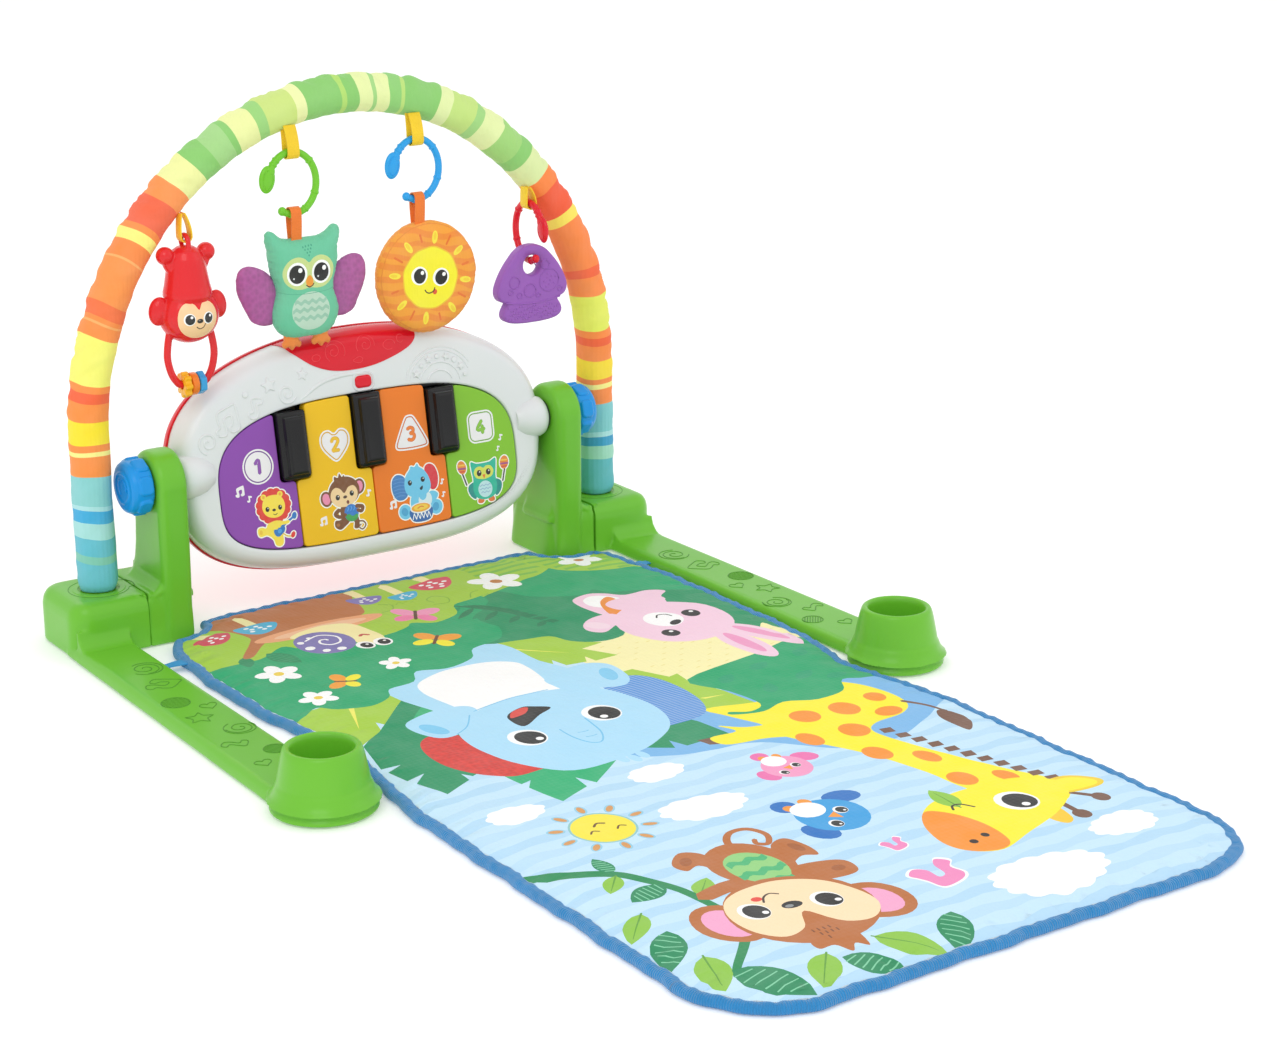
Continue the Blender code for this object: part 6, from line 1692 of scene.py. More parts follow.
def light_panel():
    lens = spline([(-0.0755, 0.1040), (-0.0705, 0.0880), (-0.0610, 0.0790), (-0.0470, 0.0695),
                   (-0.0300, 0.0632),
                   (-0.0100, 0.0612), (0.0130, 0.0628), (0.0340, 0.0680), (0.0500, 0.0745), (0.0570, 0.0815),
                   (0.0585, 0.0905), (0.0575, 0.1060), (0.0000, 0.1200)], 7)
    shell = levelled(PANEL, [(-0.004, SPLIT - 0.001)] + [(0.0006, SPLIT - 0.0015)] + rolled(0.0006), upright)
    made = mesh_object("light_lens", *shell)
    shut(made)
    cut_with(made, levelled(lens, ((0, -0.02), (0, 0.03)), upright), "INTERSECT")
    bevelled(made, 0.0004, 2, 50)
    made.data.transform(AT_PANEL)
    made.data.shade_smooth()
    made.data.set_sharp_from_angle(angle=math.radians(40))
    piece(made, "piano", RED, ("light_panel",))
    lines = [swirl((-0.0270, 0.0800), 0.0072, 1.2, 1.2), arc((-0.0250, 0.0795), 0.0098, -30, 230, 30),
             swirl((0.0060, 0.0820), 0.0066, 1.2, 0.6), arc((0.0060, 0.0815), 0.0092, -10, 210, 30),
             ring_line(spline([(-0.0080, 0.0690), (-0.0020, 0.0720), (0.0020, 0.0700), (-0.0010, 0.0665)],
                              5)),
             ring_line(arc((-0.0445, 0.0765), (0.0042, 0.0030), 0, 345, 22)),
             arc((0.0300, 0.0790), (0.0060, 0.0045), 0, 300, 22), arc((0.0420, 0.0830), 0.0036, 30, 320, 20)]
    # The lens lines are in the lighter red of the painted relief highlight.
    rods = merged([tube(on_face(even(l, max(10, len(l)), False), 0.0006), 0.00038, 6,
                        side=np.array([0, 1.0, 0]))
                   for l in lines])
    solid_piece("light_lens_lines", moved(rods, AT_PANEL), "piano", RED_RELIEF_HIGHLIGHT)


def rounded_block(u0, u1, v0, v1, radii, levels, steps=6):
    """A block whose rounded rectangle grows from level to level; its corners stay round."""
    radii = np.broadcast_to(radii, 4)
    return lofted([upright(rounded_rect(u0 - g, u1 + g, v0 - g, v1 + g, tuple(np.maximum(radii + g, 0.0004)),
                                        steps=steps), d) for g, d in levels])


def round_prism(centre, radius, back, front, steps=40):
    return levelled(arc(centre, radius, 0, 360 - 360 / steps, steps - 1), ((0, back), (0, front)), upright)


BACK_SCREWS = ((-0.130, 0.030), (0.130, 0.030), (-0.112, -0.072), (0.112, -0.072), (0.0, 0.068))


def back_housing():
    """The red back shell, its screws and the battery lid."""
    profile = ((0.0010, 0.0269), (0.0016, 0.0276), (0.0017, 0.0310), (0.0012, 0.0340), (-0.0004, 0.0368),
               (-0.0032, 0.0398), (-0.0070, 0.0428), (-0.0120, 0.0456), (-0.0180, 0.0472), (-0.0240, BACK))
    made = mesh_object("piano_back", *levelled(PANEL, profile, upright))
    shut(made)
    for part in (rounded_block(-0.0356, 0.0356, -0.0766, -0.0154, 0.004, ((0, 0.0448), (0, 0.06))),
                 rounded_block(-0.0305, 0.0305, -0.0730, -0.0170, 0.003, ((0, 0.0275), (0, 0.0460))),
                 rounded_block(0.0735, 0.0985, 0.0150, 0.0270, 0.0025, ((0, 0.0462), (0, 0.06))),
                 rounded_block(0.0755, 0.0965, 0.0165, 0.0255, 0.0010, ((0, 0.0400), (0, 0.0470)))):
        cut_with(made, part)
    for at in BACK_SCREWS:
        cut_with(made, round_prism(at, 0.0042, 0.0390, 0.06))
    for k in range(7):  # slots over the speaker
        v = 0.0340 + 0.0052 * (k - 3)
        half = math.sqrt(max(0.0, 0.0200 ** 2 - (0.0052 * (k - 3)) ** 2))
        cut_with(made, rounded_block(-half, half, v - 0.0012, v + 0.0012, 0.0011, ((0, 0.0440), (0, 0.06)),
                                     3))
    made.data.transform(AT_PANEL)
    made.data.shade_smooth()
    made.data.set_sharp_from_angle(angle=math.radians(38))
    piece(made, "piano", RED, ("back_housing",))
    heads = []
    for at in BACK_SCREWS:
        head = turned(((0.0030, 0.0389), (0.0030, 0.0402), (0.0026, 0.0407), (0.0012, 0.0408),
                       (0.0009, 0.0400),
                       (0.0002, 0.0400)), at, upright, steps=24)
        heads.append(head)
    solid_piece("back_screws", moved(merged(heads), AT_PANEL), "piano", STEEL)
    plate = [rounded_block(-0.0348, 0.0348, -0.0758, -0.0162, 0.0036,
                           ((-0.0004, 0.0449), (0, 0.0453), (0, 0.0470), (-0.0004, 0.0474),
                            (-0.0010, 0.0475)))]
    for v in (-0.0270, -0.0305, -0.0340):
        plate.append(rounded_block(-0.0085, 0.0085, v - 0.0008, v + 0.0008, 0.0007,
                                   ((0, 0.0470), (0, 0.0479), (-0.0003, 0.0482)), 3))
    lid = turned(((0.0052, 0.0470), (0.0052, 0.0480), (0.0046, 0.0484), (0.0034, 0.0484), (0.0030, 0.0474),
                  (0.0002, 0.0472)), (0.0, -0.0640), upright, steps=32)
    solid_piece("battery_lid", moved(merged(plate + [lid]), AT_PANEL), "battery_door", RED,
                ("battery_door",), 35)


def stretch_key(number):
    """Outline of a coloured key: its share of the opening, notched beside the black keys."""
    room = grown(OPENING, -0.0009)
    room = even(room, 460)
    bound = [-0.2, -KEY_W, 0.0, KEY_W, 0.2]
    left, right = bound[number - 1] + 0.00045, bound[number] - 0.00045
    notch, low = 0.0150, -0.0290
    top_left = left if number == 1 else left + notch
    top_right = right if number == 4 else right - notch
    upper = [p for p in room if p[1] >= -0.03501 and top_left < p[0] < top_right]
    lower = [p for p in room if p[1] < -0.03501 and left < p[0] < right]

    def at(u, top):
        near = room[(room[:, 1] > -0.035) == top]
        near = near[np.argsort(near[:, 0])]
        return np.array([u, np.interp(u, near[:, 0], near[:, 1])])

    left_side = [] if number == 1 else [at(top_left, True), (top_left, low), (left, low), at(left, False)]
    right_side = [] if number == 4 else [at(right, False), (right, low), (top_right, low),
                                         at(top_right, True)]
    corners = [np.array(p, float) for p in left_side + right_side]

    def clear(line):
        return [p for p in line if all(np.linalg.norm(p - c) > 0.0092 for c in corners)]

    outline = clear(upper) + [np.array(p) for p in left_side]
    outline += clear(lower) + [np.array(p) for p in right_side]
    return filleted(np.array(outline), 0.0042)


def filleted(points, radius, least=28):
    """The corners sharper than `least` degrees rounded."""
    out, count = [], len(points)
    for i in range(count):
        a, p, b = points[i - 1], points[i], points[(i + 1) % count]
        u, w = a - p, b - p
        du, dw = np.linalg.norm(u), np.linalg.norm(w)
        turn = 180 - math.degrees(math.acos(np.clip(np.dot(u, w) / (du * dw), -1, 1)))
        if turn < least:
            out.append(p)
            continue
        reach = min(radius, 0.48 * du, 0.48 * dw)
        first, last = p + u / du * reach, p + w / dw * reach
        for t in np.linspace(0, 1, 6):
            out.append((1 - t) ** 2 * first + 2 * t * (1 - t) * p + t * t * last)
    return np.array(out)


def keys():
    """The coloured keys, the black keys and the music button."""
    for number in range(1, 5):
        outline = even(stretch_key(number), 330)
        rounding = [(-0.0012 * (1 - math.cos(a)), KEY_FACE + 0.0014 * (1 - math.sin(a)))
                    for a in np.linspace(0, np.pi / 2, 7)]
        levels = [(0, 0.0105)] + rounding + [(-0.0015, KEY_FACE)]
        plate = levelled(outline, levels, upright)
        code = KEY_COLOURS[number - 1]
        material = plastic(f"key_{number}_plastic", code, rough=0.24, peel=0.00008, coat=0.35)
        solid_piece(f"key_cap_{number}", moved(plate, AT_PANEL), f"key_{number}",
                    material,
                    (f"key_{number}",), 60)
    for index in range(1, 4):
        centre = (index - 2) * KEY_W
        room = even(grown(OPENING, -0.0012), 460)
        top = room[(np.abs(room[:, 0] - centre) < 0.014) & (room[:, 1] > 0)][:, 1].min()
        levels = [(0, 0.0085), (0, -0.0014), (-0.0003, -0.0026), (-0.0010, -0.0035), (-0.0020, -0.0040),
                  (-0.0034, -0.0043), (-0.0040, -0.0050), (-0.0046, -0.0080), (-0.0052, -0.0092),
                  (-0.0062, -0.0098),
                  (-0.0078, -0.0100)]
        cap = rounded_block(centre - 0.0140, centre + 0.0140, -0.0280, float(top),
                            (0.0045, 0.0045, 0.002, 0.002),
                            levels, 7)
        solid_piece(f"black_key_cap_{index}", moved(cap, AT_PANEL),
                    f"black_key_{index}", BLACK_SHINY, (f"black_key_{index}",), 60)
    button = rounded_block(-0.0085, 0.0085, 0.0435, 0.0550, 0.0042,
                           [(0, 0.0090)] + [(-0.0024 * (1 - math.cos(a)),
                                             -0.0020 + 0.0026 * (1 - math.sin(a)))
                                            for a in np.linspace(0, np.pi / 2, 6)], 7)
    solid_piece("music_button_cap", moved(button, AT_PANEL), "music_button", RED,
                ("music_button",), 60)
    seat = lofted([upright(rounded_rect(-u, u, 0.04925 - v, 0.04925 + v, (r,) * 4, steps=7), d)
                   for u, v, r, d in ((0.0112, 0.0085, 0.0065, 0.0012), (0.0112, 0.0085, 0.0065, -0.0002),
                                      (0.0105, 0.0078, 0.0058, -0.0009), (0.0097, 0.0070, 0.0052, -0.0006),
                                      (0.0092, 0.0065, 0.0048, 0.0012))], closed=True)
    solid_piece("button_seat", moved(seat, AT_PANEL), "piano", WHITE, sharp=50)


BLACK_SHINY = plastic("black_keys", "#161618", rough=0.20, peel=0.00008, coat=0.3)


# ---- printed keys ----------------------------------------------------------------------------------
DIGITS = {1: [[(-2.6, 3.2), (0.9, 5.8), (0.9, -5.6)]],
          2: [[(-3.4, 3.0), (-1.6, 5.6), (1.6, 5.6), (3.2, 3.2), (0.8, -0.8), (-3.0, -5.0)],
              [(-3.0, -5.2), (3.4, -5.2)]],
          3: [[(-3.2, 4.6), (-0.4, 5.8), (2.6, 4.4), (2.2, 1.6), (-0.6, 0.4)],
              [(-0.6, 0.4), (2.8, -0.6), (3.2, -3.6), (0.4, -5.8), (-3.2, -4.8)]],
          4: [[(1.4, 5.8), (-3.8, -2.0), (3.8, -2.0)], [(1.6, 1.2), (1.6, -5.8)]]}
HEART = [(0, -16), (-8.5, -9.5), (-14.5, -1), (-15, 7.5), (-11, 13), (-5, 13.8), (0, 10.5), (5, 13.8),
         (11, 13),
         (15, 7.5), (14.5, -1), (8.5, -9.5)]


def badge(art, number, at):
    """A white badge with a thin line inside its edge and the key's number."""
    u, v = at
    if number == 1:
        outline = arc((0, 0), (15.2, 15.8), 0, 352, 44)
    elif number == 2:
        outline = spline(np.array(HEART)[::-1], 5)
    elif number == 3:
        half = [(-3.0, 17.0), (-6.4, 13.4), (-12.2, 2.6), (-17.0, -7.6), (-17.2, -11.8), (-13.6, -14.2)]
        outline = spline(np.array(half + [(0, -15.0)] + [(-x, y) for x, y in half[::-1]]), 5)
    else:
        outline = rounded_rect(-14.2, 14.2, -15.0, 15.0, (7.5,) * 4, steps=7)
    outline = even(outline, 60)
    dark = KEY_DARK[number - 1]
    art.add("#f6f4f6", outline + (u, v))
    art.add(dark, grown(outline, -1.5) + (u, v))
    art.add("#f1eef2", grown(outline, -2.6) + (u, v))
    for line in DIGITS[number]:
        art.stroke(dark, [(u + x, v + y - 0.3) for x, y in line], 3.4)
    for line in DIGITS[number]:
        art.stroke(KEY_COLOURS[number - 1], [(u + x, v + y - 0.3) for x, y in line], 2.5)


def white_note(art, at, size, double=False):
    outline = note_outline((0, 0), size, 0.05, double)
    art.add("#f4f0f4", outline + at)


def with_border(art, first, by=1.15):
    """A white die-cut border round everything drawn since `first`."""
    drawn = art.shapes[first:]
    rims = []
    for _, _, outline in drawn:
        area = 0.5 * float(np.sum(outline[:, 0] * np.roll(outline[:, 1], -1) - np.roll(outline[:, 0],
                                                                                       -1) * outline[:, 1]))
        if abs(area) < 4e-6:
            continue
        loop = outline if area > 0 else outline[::-1]
        rims.append((linear("#fbfbf4"), 1.0, grown(loop, by * MM)))
    art.shapes[first:] = rims + drawn


def sticker_lion(art):
    for k in range(15):
        angle = 2 * math.pi * k / 15
        art.oval("#e23a2c", (0.3 + 14.2 * math.cos(angle), 11.8 + 13.2 * math.sin(angle)), (4.6, 4.4),
                 steps=14)
    art.oval("#e23a2c", (0.3, 11.8), (15, 14), steps=30)
    art.stroke("#e7c63c", [(7, -16), (11, -19), (15.6, -20)], 1.3)
    art.oval("#e23a2c", (17.4, -18.8), (2.2, 3.2), -30, steps=14)
    art.blob("#fbe24a", [(-7, -4), (3, -2.6), (8, -8), (7, -15), (6.6, -24.5), (3.2, -27.6), (-1.6, -26),
                         (-3.6, -20),
                         (-9.5, -15.2), (-16.5, -15.6), (-19, -12.6), (-18.4, -7.6), (-14.2, -6.8),
                         (-10, -8)][::-1])
    art.oval("#f3c93c", (-15.8, -11.4), (1.6, 2.4), 0, steps=14)
    art.blob("#2478c8", [(-2.4, -12), (0.6, -9.6), (4.4, -9.8), (6.8, -7.6), (9.6, -9.6), (9.2, -13.6),
                         (6.0, -16.4),
                         (2.4, -18.4), (-1.2, -16.6)][::-1])
    art.oval("#4aa3e6", (3.8, -13.2), (2.4, 2.0), 30, steps=14)
    art.stroke("#2478c8", [(7, -9.5), (13, -5.6), (19.5, -2.0)], 2.2)
    art.blob("#2478c8", [(18.2, -2.6), (21.6, -4.0), (23.4, -0.6), (22.2, 2.6), (19.2, 1.4)])
    art.stroke("#fbe24a", [(4, -4.5), (9.5, -6.0), (14.4, -5.4)], 3.6, 3.0)
    art.stroke("#fbe24a", [(-6, -5), (-1.5, -9), (1.8, -9.4)], 3.6, 3.0)
    for at in ((-9.2, 21.6), (8.4, 22.2)):
        art.oval("#fbe24a", at, (3.0, 3.0), steps=16)
        art.oval("#f0b23a", at, (1.5, 1.5), steps=12)
    art.blob("#fbe24a", [(-11.6, 10.2), (-10, 18), (-5, 21.8), (1.5, 22.4), (7.6, 21.0), (11.6, 15.8),
                         (12.2, 8.6),
                         (8.4, 2.4), (0.8, 0.4), (-7.6, 3.2)][::-1])
    art.eye((-6.4, 9.6), 2.1, (0.32, 0.42), 0)
    art.eye((7.0, 9.6), 2.1, (0.32, 0.42), 0)
    art.oval("#30211a", (0.4, 8.0), (1.9, 1.3), steps=14)
    art.stroke("#4a3018", [(-0.6, 4.2), (1.4, 3.2), (3.4, 4.4)], 0.7)


def sticker_monkey(art):
    fur, dark, face, pink = "#a8703a", "#7a4a24", "#f4d3a0", "#f08fb4"
    art.stroke(dark, [(8, -18), (13, -20), (18.6, -21), (21, -25), (17, -28.6), (13.4, -25.6), (16, -23.6)],
               1.7, 1.2)
    for at, lean in (((-18.4, 6.6), 8), ((18.2, 13.6), -14)):
        art.oval(dark, at, (6.2, 7.6), lean, steps=22)
        art.oval(pink, at, (4.2, 5.6), lean, steps=18)
    art.blob(dark, [(-4, -4), (6, -3), (12, -8), (11, -17), (3, -19), (-4, -15)][::-1])
    art.blob(dark, [(-2, -13), (-6, -16), (-11.4, -16.2), (-12, -22), (-6.6, -25.4), (0, -22),
                    (4, -18)][::-1])
    art.blob(dark, [(4, -17), (9, -20), (8.4, -26), (13, -26.6), (14.6, -20), (12, -13)])
    art.oval(dark, (1.6, 11), (17, 14.6), 6, steps=34)
    art.blob(dark, [(-7, 22), (-7.4, 27), (-3.6, 25.4), (-1.6, 29.4), (0.8, 25.6), (3, 27), (3.6, 22)][::-1])
    art.blob(face, [(-13.4, 5), (-12.4, 12.4), (-7.6, 16), (-2.4, 14), (1.6, 9.6), (6.6, 14.8),
                    (12.6, 15.4), (16, 9.6),
                    (14.4, 2.6), (8.4, -2.6), (0.6, -4), (-8, -2)][::-1])
    art.eye((-6.0, 6.2), 2.3, (0.3, 0.42), 0)
    art.eye((9.6, 8.2), 2.3, (0.3, 0.42), 0)
    art.oval("#4a2c18", (2.0, 5.6), (2.2, 1.5), 6, steps=14)
    art.oval("#7d3a26", (4.4, 0.2), (1.5, 1.9), 0, steps=14)
    art.oval("#2a7ad0", (7.0, -10.8), (7.8, 8.6), 0, steps=26)
    art.blob("#3aa24f", [(0.4, -13), (4, -11.6), (8, -14), (12.6, -12.6), (14, -15), (10.6, -18.6),
                         (5, -19), (1.4, -16.6)][::-1])
    for k in range(3):
        art.stroke("#5aa9ee", [(2.6 + 3.4 * k, -8.6), (4.2 + 3.4 * k, -6.2), (3.6 + 3.4 * k, -4.4)], 0.8)
    for line in ([(-6, -6), (-10.6, -9.6), (-6, -13), (0.6, -11.6)],
                 [(13, -5), (19.6, -6.6), (18, -10.6), (13.6, -9)]):
        art.stroke(dark, line, 4.2, 3.4)
    art.oval(fur, (-8.8, -20.4), (2.0, 1.6), steps=12)


def sticker_elephant(art):
    skin, deep = "#6fc8f0", "#4aa6d8"
    art.blob("#3d7fc4", [(-14, 18), (-21, 19.4), (-26, 14), (-26.4, 3), (-22, -5), (-14, -5.6), (-9, 0),
                         (-10, 12)])
    for k in range(6):
        art.stroke("#5b98d6", [(-25.2, 14.6 - 3.4 * k), (-18, 15.6 - 3.4 * k), (-12, 14.6 - 3.4 * k)], 0.7)
    art.blob("#dd3340", [(12, 22.6), (17, 25.4), (23, 22), (26, 12), (24, 2), (18.6, -1), (14, 4),
                         (12, 14)][::-1])
    art.blob(skin, [(16, -2), (21.4, -3), (24, -6.6), (20.4, -11.4), (13, -11.6), (11, -6)][::-1])
    art.oval(skin, (4.6, -11.6), (12.4, 14.6), 0, steps=28)
    art.oval("#d9ecf4", (9.0, -9.6), (7.6, 8.6), -10, steps=22)
    for at, lean in (((-14.6, -18.2), 20), ((20.6, -18.4), -16)):
        art.oval(skin, at, (7.0, 7.4), lean, steps=22)
        art.oval(deep, (at[0] - 0.6, at[1] + 0.2), (3.6, 4.4), lean, steps=16)
    art.blob(skin, [(-12.6, 6), (-10.6, 16), (-5, 22.6), (-3.4, 25.6), (0.6, 24.6), (4, 27.4), (6, 24),
                    (11.4, 19.6),
                    (16, 11), (16.4, 1.6), (9.6, -4.6), (-1, -5.6), (-9.6, -2)][::-1])
    art.blob(skin, [(3.0, 0), (2.6, -6.4), (6.6, -9.6), (10.6, -6.6), (10.0, 0)])
    art.eye((-6.2, 9.6), 2.3, (0.3, 0.42), 0)
    art.eye((8.6, 11.0), 2.3, (0.3, 0.42), 0)
    art.blob("#25323a", [(4.2, 2.6), (7.4, 5.0), (7.6, 2.2), (5.6, 0.6)][::-1])
    art.blob("#2f66b0", [(-8.6, -17), (14.6, -17), (13.6, -28), (3, -30.6), (-7.6, -28)][::-1])
    art.oval("#e9eef2", (3, -16.6), (12.0, 5.4), 0, steps=30)
    art.oval("#f2a52c", (3, -16.4), (10.6, 4.2), 0, steps=30)
    art.oval("#f7d04a", (3, -16.2), (8.0, 2.9), 0, steps=26)
    art.stroke("#e2742c", [(-0.6, -16.8), (3, -15.4), (6.2, -16.0)], 1.1)
    for k in range(5):
        u = -7.2 + 4.1 * k
        art.stroke("#ffffff", [(u, -27.4), (u + 2.05, -21.4)], 0.8)
        art.stroke("#ffffff", [(u + 2.05, -21.4), (u + 4.1, -27.4)], 0.8)


def sticker_owl(art):
    for u, v, lean in ((-24.0, 16.4, 12), (24.2, 14.4, -12)):
        s = math.copysign(1, u)
        art.stroke("#3a3f4a", [(u, v - 6), (u - s * 3.6, v - 18)], 1.7)
        art.oval("#e8862f", (u, v), (4.8, 6.6), lean, steps=22)
        art.stroke("#f6c445", [(u - 3.4, v + 2.4), (u + 3.4, v + 2.0)], 1.7)
        art.stroke("#a34a8c", [(u - 4.2, v - 1.0), (u + 4.2, v - 1.4)], 1.7)
        art.stroke("#d8483a", [(u - 2.8, v - 4.0), (u + 2.8, v - 4.3)], 1.3)
    for s in (-1, 1):
        art.blob("#0f8f8a", [(s * 10, -1), (s * 17, -1.6), (s * 19.4, -6.4), (s * 16.6, -13.4),
                             (s * 11, -16)][::-1 if s > 0 else 1])
        art.blob("#e2732c", [(s * 3.4, -17), (s * 8.6, -17), (s * 9.4, -20.6), (s * 5.6, -21.8),
                             (s * 2.6, -20.2)][::-1 if s > 0 else 1])
    art.blob("#1fb89c", [(-13.6, 20), (-7.6, 17.8), (0, 17.4), (7.6, 17.8), (14.6, 20.4), (14.2, 12),
                         (13.0, 3), (13.6, -8),
                         (9.6, -16), (0, -18.6), (-9.6, -16), (-13.4, -8), (-12.6, 3), (-13.6, 12)])
    art.blob("#d8e05a", [(0, 12.6), (-3.6, 14.4), (-8.6, 13.4), (-11.2, 8.6), (-8.8, 3.6), (-4.0, 2.0),
                         (0, 1.4), (4.0, 2.0),
                         (8.8, 3.6), (11.2, 8.6), (8.6, 13.4), (3.6, 14.4)])
    for u in (-5.2, 5.2):
        art.eye((u, 8.0), 2.7, (0.3, 0.42), 0)
    art.poly("#e2732c", [(-1.8, 6.0), (1.8, 6.0), (0, 1.6)][::-1])
    art.oval("#bfe3ea", (0.0, -8.4), (8.0, 8.2), 0, steps=26)
    for v in (-4.6, -8.0, -11.4):
        half = 6.6 if v != -11.4 else 5.0
        u = np.linspace(-half, half, 13)
        wave = v + 0.7 * np.sin(1.5 * u)
        art.shapes.append((linear("#8fb9d6"), 1.0,
                           np.concatenate([np.stack([u, wave - 0.5], 1),
                                           np.stack([u, wave + 0.5], 1)[::-1]]) * MM))


def sticker_mesh(art, spacing):
    """Only the printed parts of the sheet."""
    every = np.concatenate([s[2] for s in art.shapes])
    low, high = every.min(0) - 0.001, every.max(0) + 0.001
    border = np.array([(low[0], low[1]), (high[0], low[1]), (high[0], high[1]), (low[0], high[1])])
    verts, tris, colours, patterns = meshed_artwork(art, even(border, 60), spacing)
    middle = verts[tris].mean(1)
    covered = np.zeros(len(tris), bool)
    for _, _, outline in art.shapes:
        covered |= inside(outline, middle)
    return verts, tris[covered], colours[covered], patterns[covered]


def key_prints():
    """The badges and stickers. The stickers follow the original ones closely."""
    draw = {1: sticker_lion, 2: sticker_monkey, 3: sticker_elephant, 4: sticker_owl}
    centres = {1: (-103, -59), 2: (-33, -57), 3: (42, -59), 4: (115, -60.5)}
    badges = {1: (-113, -11), 2: (-35, -3), 3: (43, -5), 4: (117, -10)}
    notes = {1: (((-133, -30), 4.6, True), ((-125, -38), 2.9, False)),
             2: (((-55, -70), 4.0, True), ((-7, -52), 3.2, False)),
             3: (((17, -67), 4.0, True), ((70, -54), 2.6, False), ((70, -66), 2.6, False)),
             4: (((137, -23), 2.9, False), ((133, -33), 2.4, False))}
    ink = printed_plastic("key_print")
    for number in range(1, 5):
        art = Artwork(MM)
        first = len(art.shapes)
        draw[number](art)
        with_border(art, first)
        centre = np.array(centres[number]) * MM
        size = 0.93 if number != 4 else 0.95
        art.shapes = [(c, p, o * size + centre) for c, p, o in art.shapes]
        badge(art, number, badges[number])
        for at, scale, double in notes[number]:
            white_note(art, at, scale, double)
        verts, tris, colours, patterns = sticker_mesh(art, 0.004)
        made = mesh_object(f"key_print_{number}", upright(verts, KEY_FACE - 0.00016),
                           [tuple(map(int, t)) for t in tris], False)
        made.data.transform(AT_PANEL)
        paint_faces(made, colours, patterns)
        piece(made, f"key_{number}", ink)


front_housing()
face_relief()
light_panel()
back_housing()
keys()
key_prints()


# ---- hanging toys ----------------------------------------------------------------------------------
TOY_Y = -0.015
AT_TOYS = Matrix.Translation((0, ARCH_Y + TOY_Y, 0))
GREEN_X, BLUE_X, TEETHER_X, MONKEY_X = -0.0630, 0.0610, 0.1790, -0.1675
LINK_Z, RED_LINK_Z = 0.3870, 0.3170
LINK_RISE, LINK_REACH = 0.0272, 0.0232   # the link ring's half height and half width
HEAD = (0.0268, 0.0228, 0.0247)          # the rattle's head: its radii along X, Y and Z
HANDLE_Z, BEAD_PITCH = 0.2225, 0.0072
YELLOW_STRAP = woven("yellow_webbing", "#f4cb1c", weave=2600.0, thread=0.0002, rough=0.62, sheen=0.12)
ORANGE_STRAP = woven("orange_webbing", "#f07a26", weave=2600.0, thread=0.0002, rough=0.62, sheen=0.12)


def link_part(centre_z):
    """An open link in the XZ plane: a bar with raised rings and a flat thumb pad at one end."""
    count = 220
    angles = np.radians(np.linspace(-62, 208, count))
    path = np.column_stack([LINK_REACH * np.sin(angles), np.zeros(count),
                            centre_z + LINK_RISE * np.cos(angles)])
    rings = np.zeros(count)
    for at in (-50, -40, 48, 112, 150, 188):
        rings += np.exp(-((np.degrees(angles) - at) / 2.1) ** 2)
    bar = tube(path, 0.00315 + 0.00075 * rings, 14, side=np.array([0, 1.0, 0]))
    away = path[0] - path[2]
    away /= np.linalg.norm(away)
    middle = path[0] + away * 0.0085
    lean = Matrix.Rotation(math.radians(8), 4, "Y")
    grip = ball(middle, (0.0076, 0.0034, 0.0121), lean, 20, 36)
    neck = ball(path[0] + away * 0.0010, (0.0046, 0.0033, 0.0052), lean, 12, 20)
    dish = arc((0, 0), (0.0046, 0.0084), 0, 350, 36)
    dish = dish @ np.array([(math.cos(math.radians(-8)), -math.sin(math.radians(-8))),
                            (math.sin(math.radians(-8)), math.cos(math.radians(-8)))]).T
    bulge = 0.0034 * np.sqrt(np.clip(1 - (dish[:, 0] / 0.0076) ** 2 - (dish[:, 1] / 0.0121) ** 2, 0, 1))
    rims = []
    for side in (-1, 1):
        loop = np.column_stack([middle[0] + dish[:, 0], side * bulge, middle[2] + dish[:, 1]])
        rims.append(tube(np.concatenate([loop, loop[:2]]), 0.00042, 6, side=np.array([0, 1.0, 0])))
    tip = ball(path[-1], (0.0038, 0.0036, 0.0040), None, 12, 20)
    return merged([bar, grip, neck, tip] + rims)


def links():
    """The green, blue and red links."""
    for name, x, z, code, slot in (("green", GREEN_X, LINK_Z, "#74c72e", "lime_plastic"),
                                   ("blue", BLUE_X, LINK_Z, "#2aa2ea", "blue_plastic")):
        part = moved(link_part(z), AT_TOYS @ Matrix.Translation((x, 0, 0)))
        material = plastic(f"link_{name}_plastic", code, rough=0.26, peel=0.00008, coat=0.25)
        solid_piece(f"ring_{name}", part, f"link_{name}", material, (f"link_{name}",), 60)
    turn = Matrix.Translation((TEETHER_X, 0, RED_LINK_Z)) @ Matrix.Rotation(math.radians(90), 4, "Z")
    part = moved(link_part(0.0), AT_TOYS @ turn)
    solid_piece("ring_red", part, "link_red", RED, ("link_red",), 60)


